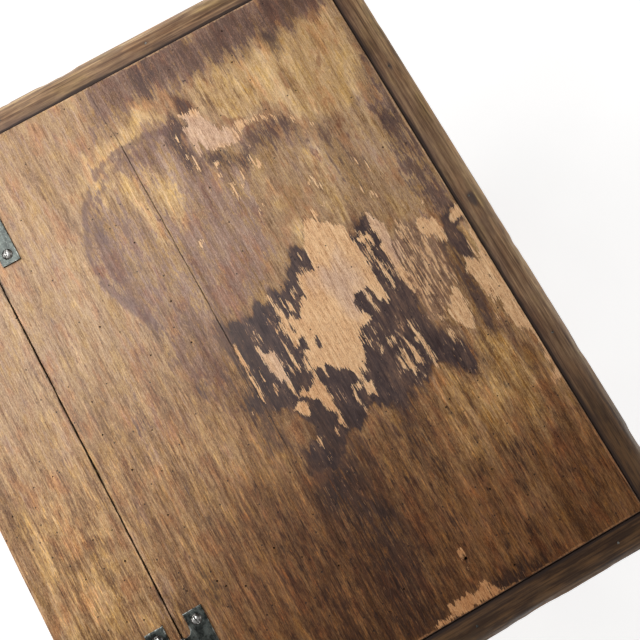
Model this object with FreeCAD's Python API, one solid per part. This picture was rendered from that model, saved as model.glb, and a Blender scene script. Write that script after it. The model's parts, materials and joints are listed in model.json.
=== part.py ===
import FreeCAD, Part
import math
import os

V = FreeCAD.Vector
os.makedirs("parts", exist_ok=True)

# ---------------------------------------------------------------------------
# Sugar chest: a deep well under a hinged lid, one drawer below it, four
# posts that run down into turned legs.  Millimetres, +Z up, +X to the right
# of someone who faces the front, front towards -Y.  Origin: on the floor,
# under the middle of the top.
# ---------------------------------------------------------------------------

# --- top ---------------------------------------------------------------------
TOP_Z = 860.0          # upper face of the lid and of the fixed rear board
PANEL_HALF = 300.0     # half the length of the boards between the end mouldings
MOULD_W = 30.0         # width of the thumbnail moulding seen from above
MOULD_STEP = 2.5       # the moulding starts this far below the boards
MOULD_DROP = 12.0      # the moulding's outer edge is this far below the boards
MOULD_H = 30.0         # the moulding's lower edge, below the boards' upper face
FRONT_EDGE_Y = -240.0  # front edge of the lid boards
JOINT_Y = 9.0          # glue joint between the two lid boards
CRACK_Y = 170.0        # line between the lid and the fixed rear board
CRACK_GAP = 1.0
BACK_EDGE_Y = 270.0    # rear edge of the fixed board
LID_T = 21.0           # lid thickness; shut, it lies on the case
REAR_T = 21.0          # rear board thickness

# --- case --------------------------------------------------------------------
CASE_TOP = TOP_Z - REAR_T
POST = 45.0            # square of the posts
POST_X = 299.0         # outer side face of the posts
POST_FRONT_Y = -239.0
POST_BACK_Y = 265.0
SETBACK = 3.0          # panels stand back from the post faces
SIDE_T = 20.0
FRONT_T = 20.0
BACK_T = 17.0
BASE_Z = 353.0         # lower edge of the side panels and the lower rail
TENON = 22.0
TENON_T = 10.0
DRAWER_Z0 = 385.0      # drawer opening, bottom
DRAWER_Z1 = 497.0      # drawer opening, top
MID_RAIL_T = 22.0
RAIL_D = 42.0
WELL_Z = DRAWER_Z1 + MID_RAIL_T   # underside of the well bottom
WELL_BOTTOM_T = 13.0
DIVIDER_T = 12.0
DIVIDER_TOP = 782.0
DIVIDER_X = 70.0
CROSS_Y = 20.0
BLOCK_Z = 330.0        # the posts are square above this height, turned below

# --- hinges --------------------------------------------------------------------
HINGE_X = 219.0        # centre of each hinge from the middle of the lid
HINGE_LEN = 80.0
LEAF_OUT = 28.0        # leaf's outer edge from the crack
LEAF_IN = 10.0         # inner edge of the leaf's end tabs
LEAF_T = 2.5
BARREL_R = 4.0
BARREL_HALF = 21.0
PIN_R = 2.0
PIN_CLEAR = 0.05
SCREW_S = 30.6
SCREW_U = 19.0

# --- lid lock ------------------------------------------------------------------
KEY_Z = 800.0
BOLT_THROW = 8.0
KEY_TURN = 60.0

# --- drawer --------------------------------------------------------------------
DRW_HALF = 253.0
DRW_SIDE_T = 12.0
DRW_FRONT_T = 20.0
DRW_TOP = 485.0
DRW_BACK_Y = 188.0
DRW_TRAVEL = 340.0
KNOB_X = 165.0
KNOB_Z = 441.0

POST_IN_X = POST_X - POST                    # 254
FRONT_IN_Y = POST_FRONT_Y + POST             # -194
REAR_IN_Y = POST_BACK_Y - POST               # 220
SIDE_OUT = POST_X - SETBACK                  # 296
SIDE_IN = SIDE_OUT - SIDE_T                  # 276
PANEL_Y0 = POST_FRONT_Y + SETBACK            # -236
PANEL_Y1 = PANEL_Y0 + FRONT_T                # -216
BACK_Y1 = POST_BACK_Y - SETBACK              # 262
BACK_Y0 = BACK_Y1 - BACK_T                   # 245
AXIS_Z = TOP_Z + BARREL_R                    # hinge axis


# --- helpers -------------------------------------------------------------------
def box(x0, x1, y0, y1, z0, z1):
    return Part.makeBox(x1 - x0, y1 - y0, z1 - z0, V(x0, y0, z0))


def rod(r, p, d, length):
    return Part.makeCylinder(r, length, V(*p), V(*d))


def flat(points, direction):
    w = Part.makePolygon([V(*p) for p in points] + [V(*points[0])])
    return Part.Face(w).extrude(V(*direction))


def fuse(shapes):
    s = shapes[0]
    if len(shapes) > 1:
        s = s.multiFuse(shapes[1:])
    return s.removeSplitter()


def cut(shape, tools):
    if not tools:
        return shape
    return shape.cut(Part.makeCompound(tools))


def mirror_x(shape):
    return shape.mirror(V(0, 0, 0), V(1, 0, 0))


def outline(start, segments):
    """Edges through (r, h) points: L straight, A arc, S smooth curve."""
    edges = []
    p = start
    for kind, pts in segments:
        if kind == "L":
            for q in pts:
                edges.append(Part.makeLine(V(p[0], 0, p[1]), V(q[0], 0, q[1])))
                p = q
        elif kind == "A":
            m, q = pts
            edges.append(Part.Arc(V(p[0], 0, p[1]), V(m[0], 0, m[1]), V(q[0], 0, q[1])).toShape())
            p = q
        else:
            c = Part.BSplineCurve()
            c.interpolate([V(a, 0, b) for a, b in [p] + list(pts)])
            edges.append(c.toShape())
            p = pts[-1]
    return edges, p


def turned(start, segments):
    """Solid of revolution about +Z from a profile in (r, z)."""
    edges, end = outline(start, segments)
    if end != start:
        edges.append(Part.makeLine(V(end[0], 0, end[1]), V(start[0], 0, start[1])))
    f = Part.Face(Part.Wire(edges))
    return f.revolve(V(0, 0, 0), V(0, 0, 1), 360)


def to_minus_y(shape):
    """Turns a piece made along +Z so that its +Z points towards the front."""
    s = shape.copy()
    s.rotate(V(0, 0, 0), V(1, 0, 0), 90)
    return s


def at(shape, x, y, z):
    s = shape.copy()
    s.translate(V(x, y, z))
    return s


NODES = {}


def node(name, *shapes):
    solids = []
    for s in shapes:
        solids.extend(s.Solids)
    for s in solids:
        if s.Volume < 0:
            s.reverse()
        if not s.isValid():
            raise RuntimeError("invalid solid in " + name)
    NODES[name] = solids


# ---------------------------------------------------------------------------
# posts with turned legs
# ---------------------------------------------------------------------------
leg = turned((0, 334), [
    ("L", [(20.5, 334), (20.5, 327), (17, 327), (17, 325)]),
    ("A", [(22.2, 320), (17, 315)]),
    ("L", [(15.6, 315)]),
    ("A", [(14.2, 309.5), (16, 304)]),
    ("L", [(17.5, 304)]),
    ("A", [(20.4, 300.5), (17.5, 297)]),
    ("L", [(14, 297), (14, 294)]),
    ("S", [(15.0, 286), (18.2, 269), (20.8, 249), (21.6, 228), (21.0, 203),
           (19.3, 175), (17.1, 145), (15.0, 118), (13.6, 98)]),
    ("L", [(15.2, 98)]),
    ("A", [(18.6, 93.5), (15.2, 89)]),
    ("L", [(13.2, 89), (13.2, 86)]),
    ("S", [(15.0, 80), (18.5, 69), (19.7, 58), (18.4, 46), (15.2, 32), (12.4, 20), (11.8, 15)]),
    ("L", [(13.4, 14)]),
    ("A", [(15.0, 8), (14.0, 1.5)]),
    ("L", [(13.0, 0), (0, 0)]),
])
# the square's lower corners are turned off in a rounded shoulder
shoulder = turned((0, BLOCK_Z), [
    ("L", [(20.5, BLOCK_Z)]),
    ("A", [(28.0, BLOCK_Z + 5.0), (32.5, BLOCK_Z + 17.0)]),
    ("L", [(34, BLOCK_Z + 17.0), (34, CASE_TOP + 1), (0, CASE_TOP + 1)]),
])
half = POST / 2
square = Part.makeBox(POST, POST, CASE_TOP - BLOCK_Z, V(-half, -half, BLOCK_Z))
post_plain = fuse([square.common(shoulder), leg])
PX = POST_X - half
PY_F = POST_FRONT_Y + half
PY_B = POST_BACK_Y - half

# ---------------------------------------------------------------------------
# case boards with their tenons (right-hand versions first)
# ---------------------------------------------------------------------------
side_c = (SIDE_IN + SIDE_OUT) / 2
side_tenon_x = (side_c - TENON_T / 2, side_c + TENON_T / 2)
SHO = 12.0   # shoulder above and below a tenon
side_tenons = [
    box(side_tenon_x[0], side_tenon_x[1], FRONT_IN_Y - TENON, FRONT_IN_Y, BASE_Z + SHO, CASE_TOP - 25),
    box(side_tenon_x[0], side_tenon_x[1], REAR_IN_Y, REAR_IN_Y + TENON, BASE_Z + SHO, CASE_TOP - 25),
]
side_right = fuse([box(SIDE_IN, SIDE_OUT, FRONT_IN_Y, REAR_IN_Y, BASE_Z, CASE_TOP)] + side_tenons)

front_c = (PANEL_Y0 + PANEL_Y1) / 2
ft = (front_c - TENON_T / 2, front_c + TENON_T / 2)
front_tenon_r = box(POST_IN_X, POST_IN_X + TENON, ft[0], ft[1], WELL_Z + SHO, CASE_TOP - 25)
front_plain = fuse([
    box(-POST_IN_X, POST_IN_X, PANEL_Y0, PANEL_Y1, WELL_Z, CASE_TOP),
    front_tenon_r, mirror_x(front_tenon_r)])

mid_tenon_r = box(POST_IN_X, POST_IN_X + TENON, -226, -206, DRAWER_Z1 + 5, WELL_Z - 5)
mid_plain = fuse([
    box(-POST_IN_X, POST_IN_X, PANEL_Y0, PANEL_Y0 + RAIL_D, DRAWER_Z1, WELL_Z),
    mid_tenon_r, mirror_x(mid_tenon_r)])

low_tenon_r = box(POST_IN_X, POST_IN_X + TENON, -226, -206, BASE_Z + 6, DRAWER_Z0 - 6)
low_plain = fuse([
    box(-POST_IN_X, POST_IN_X, PANEL_Y0, PANEL_Y0 + RAIL_D, BASE_Z, DRAWER_Z0),
    low_tenon_r, mirror_x(low_tenon_r)])

# the back is two boards, rebated over each other
BACK_SPLIT = 598.0
LAP = 8.0
back_c = (BACK_Y0 + BACK_Y1) / 2
bt = (back_c - 4.5, back_c + 4.5)
BACK_TENON = 12.0


def back_tenon(z0, z1):
    t = box(POST_IN_X, POST_IN_X + BACK_TENON, bt[0], bt[1], z0, z1)
    return [t, mirror_x(t)]


back_lower = fuse([
    box(-POST_IN_X, POST_IN_X, BACK_Y0, BACK_Y1, BASE_Z, BACK_SPLIT),
    box(-POST_IN_X, POST_IN_X, BACK_Y0, back_c, BACK_SPLIT, BACK_SPLIT + LAP),
] + back_tenon(BASE_Z + SHO, BACK_SPLIT - 10))
back_upper = fuse([
    box(-POST_IN_X, POST_IN_X, BACK_Y0, BACK_Y1, BACK_SPLIT + LAP, CASE_TOP),
    box(-POST_IN_X, POST_IN_X, back_c, BACK_Y1, BACK_SPLIT + 0.6, BACK_SPLIT + LAP),
] + back_tenon(BACK_SPLIT + LAP + 10, CASE_TOP - 25))

# ---------------------------------------------------------------------------
# tenon pegs, a little proud of the posts
# ---------------------------------------------------------------------------
PEG_R = 3.0
PEG_PROUD = 0.4
PEG_LEN = 27.0
peg_front_z = [367.0 + 2.0, 508.0, 570.0, 690.0, 790.0]
peg_side_z = [400.0, 545.0, 665.0, 785.0]
pegs = []
for sx in (1, -1):
    for z in peg_front_z:
        pegs.append(rod(PEG_R, (sx * 265, POST_FRONT_Y - PEG_PROUD, z), (0, 1, 0), PEG_LEN + PEG_PROUD))
    for z in peg_side_z:
        for y in (FRONT_IN_Y - 11, REAR_IN_Y + 11):
            pegs.append(rod(PEG_R, (sx * (POST_X + PEG_PROUD), y, z), (-sx, 0, 0), PEG_LEN + PEG_PROUD))
    for z in (420.0, 560.0, 650.0, 780.0):
        pegs.append(rod(2.5, (sx * 260, POST_BACK_Y + PEG_PROUD, z), (0, -1, 0), 19 + PEG_PROUD))

# the posts, mortised for every tenon and bored for every peg
front_tools = [side_tenons[0], front_tenon_r, mid_tenon_r, low_tenon_r]
rear_tools = [side_tenons[1]] + [back_tenon(BASE_Z + SHO, BACK_SPLIT - 10)[0],
                                 back_tenon(BACK_SPLIT + LAP + 10, CASE_TOP - 25)[0]]


def near(tools, x, y):
    out = []
    for t in tools:
        b = t.BoundBox
        if b.XMax > x - half - 1 and b.XMin < x + half + 1 and b.YMax > y - half - 1 and b.YMin < y + half + 1:
            out.append(t)
    return out


post_fr = cut(at(post_plain, PX, PY_F, 0), front_tools + near(pegs, PX, PY_F))
post_br = cut(at(post_plain, PX, PY_B, 0), rear_tools + near(pegs, PX, PY_B))

# ---------------------------------------------------------------------------
# well bottom, cleat and dividers
# ---------------------------------------------------------------------------
WB0, WB1 = WELL_Z, WELL_Z + WELL_BOTTOM_T
bottom = box(-SIDE_IN + 0.5, SIDE_IN - 0.5, PANEL_Y1 + 0.5, BACK_Y0 - 0.5, WB0, WB1)
corner = [box(sx[0], sx[1], sy[0], sy[1], WB0 - 1, WB1 + 1)
          for sx in ((POST_IN_X - 0.5, 300), (-300, -POST_IN_X + 0.5))
          for sy in ((-300, FRONT_IN_Y + 0.5), (REAR_IN_Y - 0.5, 300))]
DADO = 4.0
div0, div1 = DIVIDER_X - DIVIDER_T / 2, DIVIDER_X + DIVIDER_T / 2
divider = box(div0, div1, PANEL_Y1 - DADO, BACK_Y0 + DADO, WB1, DIVIDER_TOP)
cross0, cross1 = CROSS_Y - DIVIDER_T / 2, CROSS_Y + DIVIDER_T / 2
cross = box(div1 - DADO, SIDE_IN + DADO, cross0, cross1, WB1, DIVIDER_TOP)
divider_cut = divider.cut(cross)
cleat = box(-POST_IN_X, POST_IN_X, BACK_Y0 - 15, BACK_Y0, WELL_Z - 15, WELL_Z)

# ---------------------------------------------------------------------------
# drawer runners, guides, kickers and stops
# ---------------------------------------------------------------------------
RUN_IN = 232.0
runner = fuse([
    box(RUN_IN, SIDE_IN, FRONT_IN_Y, REAR_IN_Y, DRAWER_Z0 - 22, DRAWER_Z0),
    box(RUN_IN, POST_IN_X, REAR_IN_Y, BACK_Y0, DRAWER_Z0 - 22, DRAWER_Z0)])
guide = box(POST_IN_X, SIDE_IN, FRONT_IN_Y, REAR_IN_Y, DRAWER_Z0, DRAWER_Z0 + 22)
kicker = box(RUN_IN, SIDE_IN, FRONT_IN_Y, REAR_IN_Y, DRAWER_Z1, WELL_Z)
stop = box(135, 165, PANEL_Y0 + DRW_FRONT_T, PANEL_Y0 + DRW_FRONT_T + 12, DRAWER_Z0, DRAWER_Z0 + 5)

# ---------------------------------------------------------------------------
# the top: boards
# ---------------------------------------------------------------------------
lid_z0 = TOP_Z - LID_T
lid_front = box(-PANEL_HALF, PANEL_HALF, FRONT_EDGE_Y, JOINT_Y, lid_z0, TOP_Z)
lid_rear = box(-PANEL_HALF, PANEL_HALF, JOINT_Y, CRACK_Y - CRACK_GAP / 2, lid_z0, TOP_Z)
rear_board = box(-PANEL_HALF, PANEL_HALF, CRACK_Y + CRACK_GAP / 2, BACK_EDGE_Y, CASE_TOP, TOP_Z)


# thumbnail moulding: a step down from the boards, a narrow quirk, then a
# broad shallow quarter-ellipse to a square outer edge
def mould_profile():
    u1 = 1.5
    a = MOULD_W - u1
    b = MOULD_DROP - MOULD_STEP
    pts = []
    n = 12
    for i in range(n + 1):
        t = math.radians(90 - 84 * i / n)
        pts.append((u1 + a * math.cos(t), -MOULD_STEP - b + b * math.sin(t)))
    return [(0, -MOULD_STEP - 0.8), (u1, -MOULD_STEP - 0.8), (u1, -MOULD_STEP)], pts[1:], \
        [(MOULD_W, -MOULD_DROP - 1.5), (MOULD_W, -MOULD_H + 2.0), (MOULD_W - 2.0, -MOULD_H), (0, -MOULD_H)]


def mould_face(place):
    """place(u, h) gives the point of the profile in space."""
    first, curve, last = mould_profile()
    edges = []
    p = first[0]
    for q in first[1:]:
        edges.append(Part.makeLine(place(*p), place(*q)))
        p = q
    c = Part.BSplineCurve()
    c.interpolate([place(*q) for q in [p] + curve])
    edges.append(c.toShape())
    p = curve[-1]
    for q in last + [first[0]]:
        edges.append(Part.makeLine(place(*p), place(*q)))
        p = q
    return Part.Face(Part.Wire(edges))


OUT_X = PANEL_HALF + MOULD_W
OUT_Y = FRONT_EDGE_Y - MOULD_W
ZC = TOP_Z
front_raw = mould_face(lambda u, h: V(-OUT_X, FRONT_EDGE_Y - u, ZC + h)).extrude(V(2 * OUT_X, 0, 0))
front_foot = flat([(-OUT_X, OUT_Y, ZC - 60), (OUT_X, OUT_Y, ZC - 60), (PANEL_HALF, FRONT_EDGE_Y, ZC - 60),
                   (-PANEL_HALF, FRONT_EDGE_Y, ZC - 60)], (0, 0, 100))
mould_front = front_raw.common(front_foot)
side_raw = mould_face(lambda u, h: V(PANEL_HALF + u, OUT_Y, ZC + h)).extrude(V(0, CRACK_Y - CRACK_GAP / 2 - OUT_Y, 0))
side_foot = flat([(PANEL_HALF, FRONT_EDGE_Y, ZC - 60), (OUT_X, OUT_Y, ZC - 60), (OUT_X, 400, ZC - 60),
                  (PANEL_HALF, 400, ZC - 60)], (0, 0, 100))
mould_right = side_raw.common(side_foot)
mould_rear_right = mould_face(lambda u, h: V(PANEL_HALF + u, CRACK_Y + CRACK_GAP / 2, ZC + h)).extrude(
    V(0, BACK_EDGE_Y - CRACK_Y - CRACK_GAP / 2, 0))

# moulding nails, driven at a slope through the curve into the boards' edges
NAIL_R = 1.1
NAIL_TILT = math.radians(25)


def mould_nail(x, y, nx, ny):
    """(x, y) on the moulding, (nx, ny) the inward direction."""
    z = TOP_Z - MOULD_STEP - 1.2
    d = V(nx * math.cos(NAIL_TILT), ny * math.cos(NAIL_TILT), -math.sin(NAIL_TILT))
    return Part.makeCylinder(NAIL_R, 29.0, V(x, y, z), d)


front_nails = [mould_nail(x, FRONT_EDGE_Y - 15, 0, 1) for x in (-275, -125, 25, 175)]
right_nails = [mould_nail(PANEL_HALF + 15, y, -1, 0) for y in (-205, -60, 100)]
left_nails = [mirror_x(n) for n in right_nails]
rear_right_nails = [mould_nail(PANEL_HALF + 15, y, -1, 0) for y in (192, 248)]
rear_left_nails = [mirror_x(n) for n in rear_right_nails]
# nails that hold the rear board down on the posts and the back
down_nails = [rod(1.4, (x, y, TOP_Z - 0.6), (0, 0, -1), 50)
              for x, y in ((-276, 238), (276, 238), (-90, 254), (90, 254))]


# ---------------------------------------------------------------------------
# hinges: two leaves on the surface, shaped like an H, and a pin
# ---------------------------------------------------------------------------
LID_KN = [(-21.0, -12.7), (-4.1, 4.1), (12.7, 21.0)]
FIX_KN = [(-12.5, -4.3), (4.3, 12.5)]


def leaf(cx, side, knuckles, others, bore):
    """side -1: lid leaf (towards the front), +1: fixed leaf."""
    zf = TOP_Z

    def yy(u):
        return CRACK_Y + side * u

    def slab(u0, u1, s0, s1):
        a, b = sorted((yy(u0), yy(u1)))
        return box(cx + s0, cx + s1, a, b, zf, zf + LEAF_T)

    h = HINGE_LEN / 2
    parts = [slab(LEAF_IN, LEAF_OUT, -h, h), slab(4.5, LEAF_IN + 1, -BARREL_HALF, BARREL_HALF)]
    # curved shoulders between the tabs and the middle
    for sg in (-1, 1):
        r = 5.0
        blk = slab(LEAF_IN - r, LEAF_IN, sg * BARREL_HALF if sg > 0 else -BARREL_HALF - r,
                   BARREL_HALF + r if sg > 0 else -BARREL_HALF)
        cy = rod(r, (cx + sg * (BARREL_HALF + r), yy(LEAF_IN - r), zf - 1), (0, 0, 1), LEAF_T + 2)
        parts.append(blk.cut(cy))
    for s0, s1 in knuckles:
        parts.append(slab(0.0, 6.0, s0, s1))
        parts.append(rod(BARREL_R, (cx + s0, CRACK_Y, AXIS_Z), (1, 0, 0), s1 - s0))
    body = fuse(parts)
    tools = [rod(bore, (cx - 40, CRACK_Y, AXIS_Z), (1, 0, 0), 80)]
    for s in (-SCREW_S, 0.0, SCREW_S):
        tools.append(rod(2.2, (cx + s, yy(SCREW_U), zf - 1), (0, 0, 1), LEAF_T + 2))
    return cut(body, tools)


def round_screw(x, y, z, turn, length=19.0, r=2.0, head_r=5.2, head_h=3.4):
    """Slotted round-head screw with its head on height z, pointing down."""
    rs = (head_r ** 2 + head_h ** 2) / (2 * head_h)
    a = math.asin(min(1.0, head_r / rs)) / 2
    head = turned((0, 0), [
        ("L", [(head_r, 0)]),
        ("A", [(rs * math.sin(a), head_h - rs + rs * math.cos(a)), (0, head_h)]),
    ])
    shank = turned((0, 0.5), [("L", [(r, 0.5), (r, -length * 0.62), (0.3, -length), (0, -length)])])
    s = fuse([head, shank])
    slot = Part.makeBox(2 * head_r + 2, 1.2, 5.0, V(-head_r - 1, -0.6, head_h - 1.7))
    slot.rotate(V(0, 0, 0), V(0, 0, 1), turn)
    return at(s.cut(slot), x, y, z)


turns_lid = [28, 74, 12, 160, 41, 99]
turns_fix = [63, 118, 5, 82, 33, 140]
lid_screws, fix_screws = [], []
i = 0
for cx in (-HINGE_X, HINGE_X):
    for s in (-SCREW_S, 0.0, SCREW_S):
        lid_screws.append(round_screw(cx + s, CRACK_Y - SCREW_U, TOP_Z + LEAF_T, turns_lid[i]))
        fix_screws.append(round_screw(cx + s, CRACK_Y + SCREW_U, TOP_Z + LEAF_T, turns_fix[i]))
        i += 1

pins = []
for cx in (-HINGE_X, HINGE_X):
    hb = BARREL_HALF
    p = turned((0, -hb - 1.6), [
        ("L", [(1.6, -hb - 1.6)]),
        ("A", [(2.7, -hb - 1.2), (3.0, -hb - 0.1)]),
        ("L", [(PIN_R, -hb - 0.1), (PIN_R, hb + 0.1), (3.0, hb + 0.1)]),
        ("A", [(2.7, hb + 1.2), (1.6, hb + 1.6)]),
        ("L", [(0, hb + 1.6)]),
    ])
    p.rotate(V(0, 0, 0), V(0, 1, 0), 90)
    pins.append(at(p, cx, CRACK_Y, AXIS_Z))

# ---------------------------------------------------------------------------
# lid lock: a link lock let into the inside of the front panel, its bolt
# slides sideways through two staples that hang from the lid
# ---------------------------------------------------------------------------
LC_X = 38.0
LC_Z0 = 786.0
LC_Y0 = -232.0
LC_Y1 = PANEL_Y1
PL = 1.5
lock_pocket = box(-LC_X, LC_X, LC_Y0, LC_Y1, LC_Z0, CASE_TOP)
cover_pocket = box(-LC_X - 8, LC_X + 8, LC_Y1 - PL, LC_Y1, LC_Z0 - 2, CASE_TOP)
selvage_pocket = box(-LC_X - 8, LC_X + 8, LC_Y0, LC_Y1, CASE_TOP - PL, CASE_TOP)


def keyhole(z, y0, y1, r, slot_w, reach):
    return [rod(r, (0, y0, z), (0, 1, 0), y1 - y0),
            box(-slot_w / 2, slot_w / 2, y0, y1, z - reach, z)]


lock_case = box(-LC_X, LC_X, LC_Y0, LC_Y1 - PL, LC_Z0, CASE_TOP).cut(
    box(-LC_X + PL, LC_X - PL, LC_Y0 + PL, LC_Y1, LC_Z0 + PL, CASE_TOP - PL))
lock_case = fuse([lock_case, box(-LC_X - 8, LC_X + 8, LC_Y0, LC_Y1, CASE_TOP - PL, CASE_TOP)])
staple_slots = [box(sx * 15 - 2.2, sx * 15 + 2.2, -230.5, -218.5, CASE_TOP - 10, CASE_TOP + 1) for sx in (-1, 1)]
lock_case = cut(lock_case, staple_slots + keyhole(KEY_Z, LC_Y0 - 1, LC_Y0 + 3, 3.3, 3.2, 10.0))
lock_cover = box(-LC_X - 8, LC_X + 8, LC_Y1 - PL, LC_Y1, LC_Z0 - 2, CASE_TOP - PL)
lock_cover = fuse([lock_cover, rod(1.55, (0, -234, KEY_Z), (0, 1, 0), 234 + LC_Y1 - 0.2)])
lock_screw_at = [(-LC_X - 4, 794), (LC_X + 4, 794), (-LC_X - 4, 829), (LC_X + 4, 829)]


def flat_screw(length=12.0, r=1.6, head_r=3.2, head_h=1.4):
    """Slotted screw along -Z with a low head on z 0."""
    s = turned((0, head_h), [
        ("L", [(head_r * 0.55, head_h)]),
        ("A", [(head_r * 0.88, head_h * 0.62), (head_r, 0)]),
        ("L", [(r, 0), (r, -length * 0.6), (0.3, -length), (0, -length)]),
    ])
    return s.cut(Part.makeBox(2 * head_r + 2, 0.8, 3, V(-head_r - 1, -0.4, head_h - 0.7)))


def screw_along_minus_y(x, y, z, turn):
    """Head on plane y, point towards the front."""
    s = flat_screw()
    s.rotate(V(0, 0, 0), V(0, 0, 1), turn)
    s.rotate(V(0, 0, 0), V(1, 0, 0), -90)
    return at(s, x, y, z)


lock_screws = [screw_along_minus_y(x, LC_Y1, z, t) for (x, z), t in zip(lock_screw_at, (20, 75, 130, 50))]
lock_screw_holes = [rod(1.6, (x, LC_Y1 + 1, z), (0, -1, 0), 14) for x, z in lock_screw_at]
lock_cover = cut(lock_cover, lock_screw_holes)

# the bolt: a plate above the key, a notch for the key's bit, two fingers
N0 = -BOLT_THROW / 2
bolt = fuse([
    box(-34, 10, -226, -222, KEY_Z + 6, KEY_Z + 18),
    box(-30, -25, -226, -222, KEY_Z + 17, KEY_Z + 33),
    box(-26, -19, -226, -222, KEY_Z + 28, KEY_Z + 33),
    box(0, 5, -226, -222, KEY_Z + 17, KEY_Z + 33),
    box(4, 11, -226, -222, KEY_Z + 28, KEY_Z + 33),
])
bolt = bolt.cut(box(N0 - 2.1, N0 + 2.1, -227, -221, KEY_Z + 5, KEY_Z + 9.8))
# a leaf spring over the bolt's plate presses it so that it stays put
spring = fuse([
    flat([(-9.6, -230.5, KEY_Z + 26.0), (-9.6, -230.5, KEY_Z + 26.9), (-0.8, -230.5, KEY_Z + 19.2),
          (-0.8, -230.5, KEY_Z + 18.3)], (0, 8.0, 0)),
    box(-9.6, -5.0, -230.5, -229.7, KEY_Z + 18.3, KEY_Z + 26.5),
])

# staples on a plate under the lid
strike = fuse([box(-30, 30, -233, -215, lid_z0, lid_z0 + 2.0)] + [
    box(sx * 15 - 1.5, sx * 15 + 1.5, -228.8, -219.2, lid_z0 - 15.6, lid_z0 + 1) for sx in (-1, 1)])
strike = cut(strike, [box(-20, 20, -227, -221, KEY_Z + 27, KEY_Z + 34)])
strike_pocket = box(-30, 30, -233, -215, lid_z0, lid_z0 + 2.0)


def screw_up(x, y, z, turn):
    s = flat_screw(length=11.0, r=1.5, head_r=2.9, head_h=0.5)
    s.rotate(V(0, 0, 0), V(0, 0, 1), turn)
    s.rotate(V(0, 0, 0), V(1, 0, 0), 180)
    return at(s, x, y, z)


strike_screws = [screw_up(x, -224, lid_z0 + 2.0 - 0.0, t) for x, t in ((-24.5, 15), (24.5, 60))]
strike_holes = [rod(1.5, (x, -224, lid_z0 - 1), (0, 0, 1), 14) for x in (-24.5, 24.5)]
strike_sinks = [rod(2.9, (x, -224, lid_z0 - 1), (0, 0, 1), 2.6) for x in (-24.5, 24.5)]
strike = cut(strike, strike_holes + [rod(3.0, (x, -224, lid_z0 - 1), (0, 0, 1), 2.6) for x in (-24.5, 24.5)])
# the screws' low heads sit in the plate's sinks
strike_screws = [at(s, 0, 0, -0.4) for s in strike_screws]

# the key: ring bow, collar, piped shank and bit
BOW_Y = -256.5
bow = Part.makeTorus(7.6, 2.2, V(0, BOW_Y, 0), V(1, 0, 0))
stretch = FreeCAD.Matrix()
stretch.scale(V(1, 1, 1.25))
bow = bow.transformGeometry(stretch)
key_shape = fuse([
    bow,
    rod(3.0, (0, -249.0, 0), (0, 1, 0), 249.0 - 220.6),
    rod(4.4, (0, -246.0, 0), (0, 1, 0), 1.8),
    rod(4.0, (0, -243.4, 0), (0, 1, 0), 1.2),
    box(-1.25, 1.25, -227, -221.2, 2.0, 9.0),
])
key_shape = key_shape.cut(rod(1.6, (0, -235, 0), (0, 1, 0), 30))
key_shape.rotate(V(0, 0, 0), V(0, 1, 0), -KEY_TURN / 2)
key_shape = at(key_shape, 0, 0, KEY_Z)


def escutcheon(z):
    """Keyhole plate, a pointed oval, standing on plane y 0 towards -Y."""
    pts = [(0, 17), (7.5, 11), (9.5, 2), (8.0, -9), (4.2, -15), (0, -19)]
    c1 = Part.BSplineCurve()
    c1.interpolate([V(x, 0, zz) for x, zz in pts])
    c2 = Part.BSplineCurve()
    c2.interpolate([V(-x, 0, zz) for x, zz in reversed(pts)])
    f = Part.Face(Part.Wire([c1.toShape(), c2.toShape()]))
    e = f.extrude(V(0, -1.0, 0))
    e = cut(e, keyhole(0, -3, 2, 3.3, 3.2, 10.0))
    return at(e, 0, 0, z)


lid_esc = at(escutcheon(KEY_Z), 0, PANEL_Y0, 0)
front_key_cut = keyhole(KEY_Z, PANEL_Y0 - 1, LC_Y0 + 1, 3.3, 3.2, 10.0)

# ---------------------------------------------------------------------------
# drawer
# ---------------------------------------------------------------------------
DF0, DF1 = PANEL_Y0, PANEL_Y0 + DRW_FRONT_T
DZ0 = DRAWER_Z0          # the drawer's sides slide on the runners
LAPW = 7.0
TAIL_Y0 = DF0 + LAPW
BZ0, BZ1 = 394.0, 402.0


def tail(y_root, y_tip, zc, half_root, half_tip, x0, x1):
    pts = [(x0, y_root, zc - half_root), (x0, y_root, zc + half_root), (x0, y_tip, zc + half_tip), (x0, y_tip, zc - half_tip)]
    return flat(pts, (x1 - x0, 0, 0))


sx0, sx1 = DRW_HALF - DRW_SIDE_T, DRW_HALF
front_tails = [tail(DF1, TAIL_Y0, z, 8.0, 10.2, sx0, sx1) for z in (412.0, 437.0, 462.0)]
front_tails.append(fuse([box(sx0, sx1, TAIL_Y0, DF1, DRW_TOP - 9, DRW_TOP)]))
back_tails = [tail(DRW_BACK_Y - 12, DRW_BACK_Y, z, 8.0, 10.2, sx0, sx1) for z in (418.0, 443.0, 468.0)]
side_core = box(sx0, sx1, DF1, DRW_BACK_Y - 12, DZ0, DRW_TOP)
side_under = box(sx0, sx1, DRW_BACK_Y - 12, DRW_BACK_Y, DZ0, BZ1)
drw_side = fuse([side_core, side_under] + front_tails + back_tails)
groove_side = box(sx0 - 1, sx0 + 5, DF1 - 5, DRW_BACK_Y + 1, BZ0, BZ1)
drw_side = drw_side.cut(groove_side)
drw_front = box(-DRW_HALF + 0.0, DRW_HALF, DF0, DF1, 387, 495)
drw_front = cut(drw_front, front_tails + [mirror_x(t) for t in front_tails] + [
    box(-sx0 - 5, sx0 + 5, DF1 - 5, DF1 + 1, BZ0, BZ1)])
drw_back = box(-DRW_HALF, DRW_HALF, DRW_BACK_Y - 12, DRW_BACK_Y, BZ1, DRW_TOP)
drw_back = cut(drw_back, back_tails + [mirror_x(t) for t in back_tails])
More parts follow.
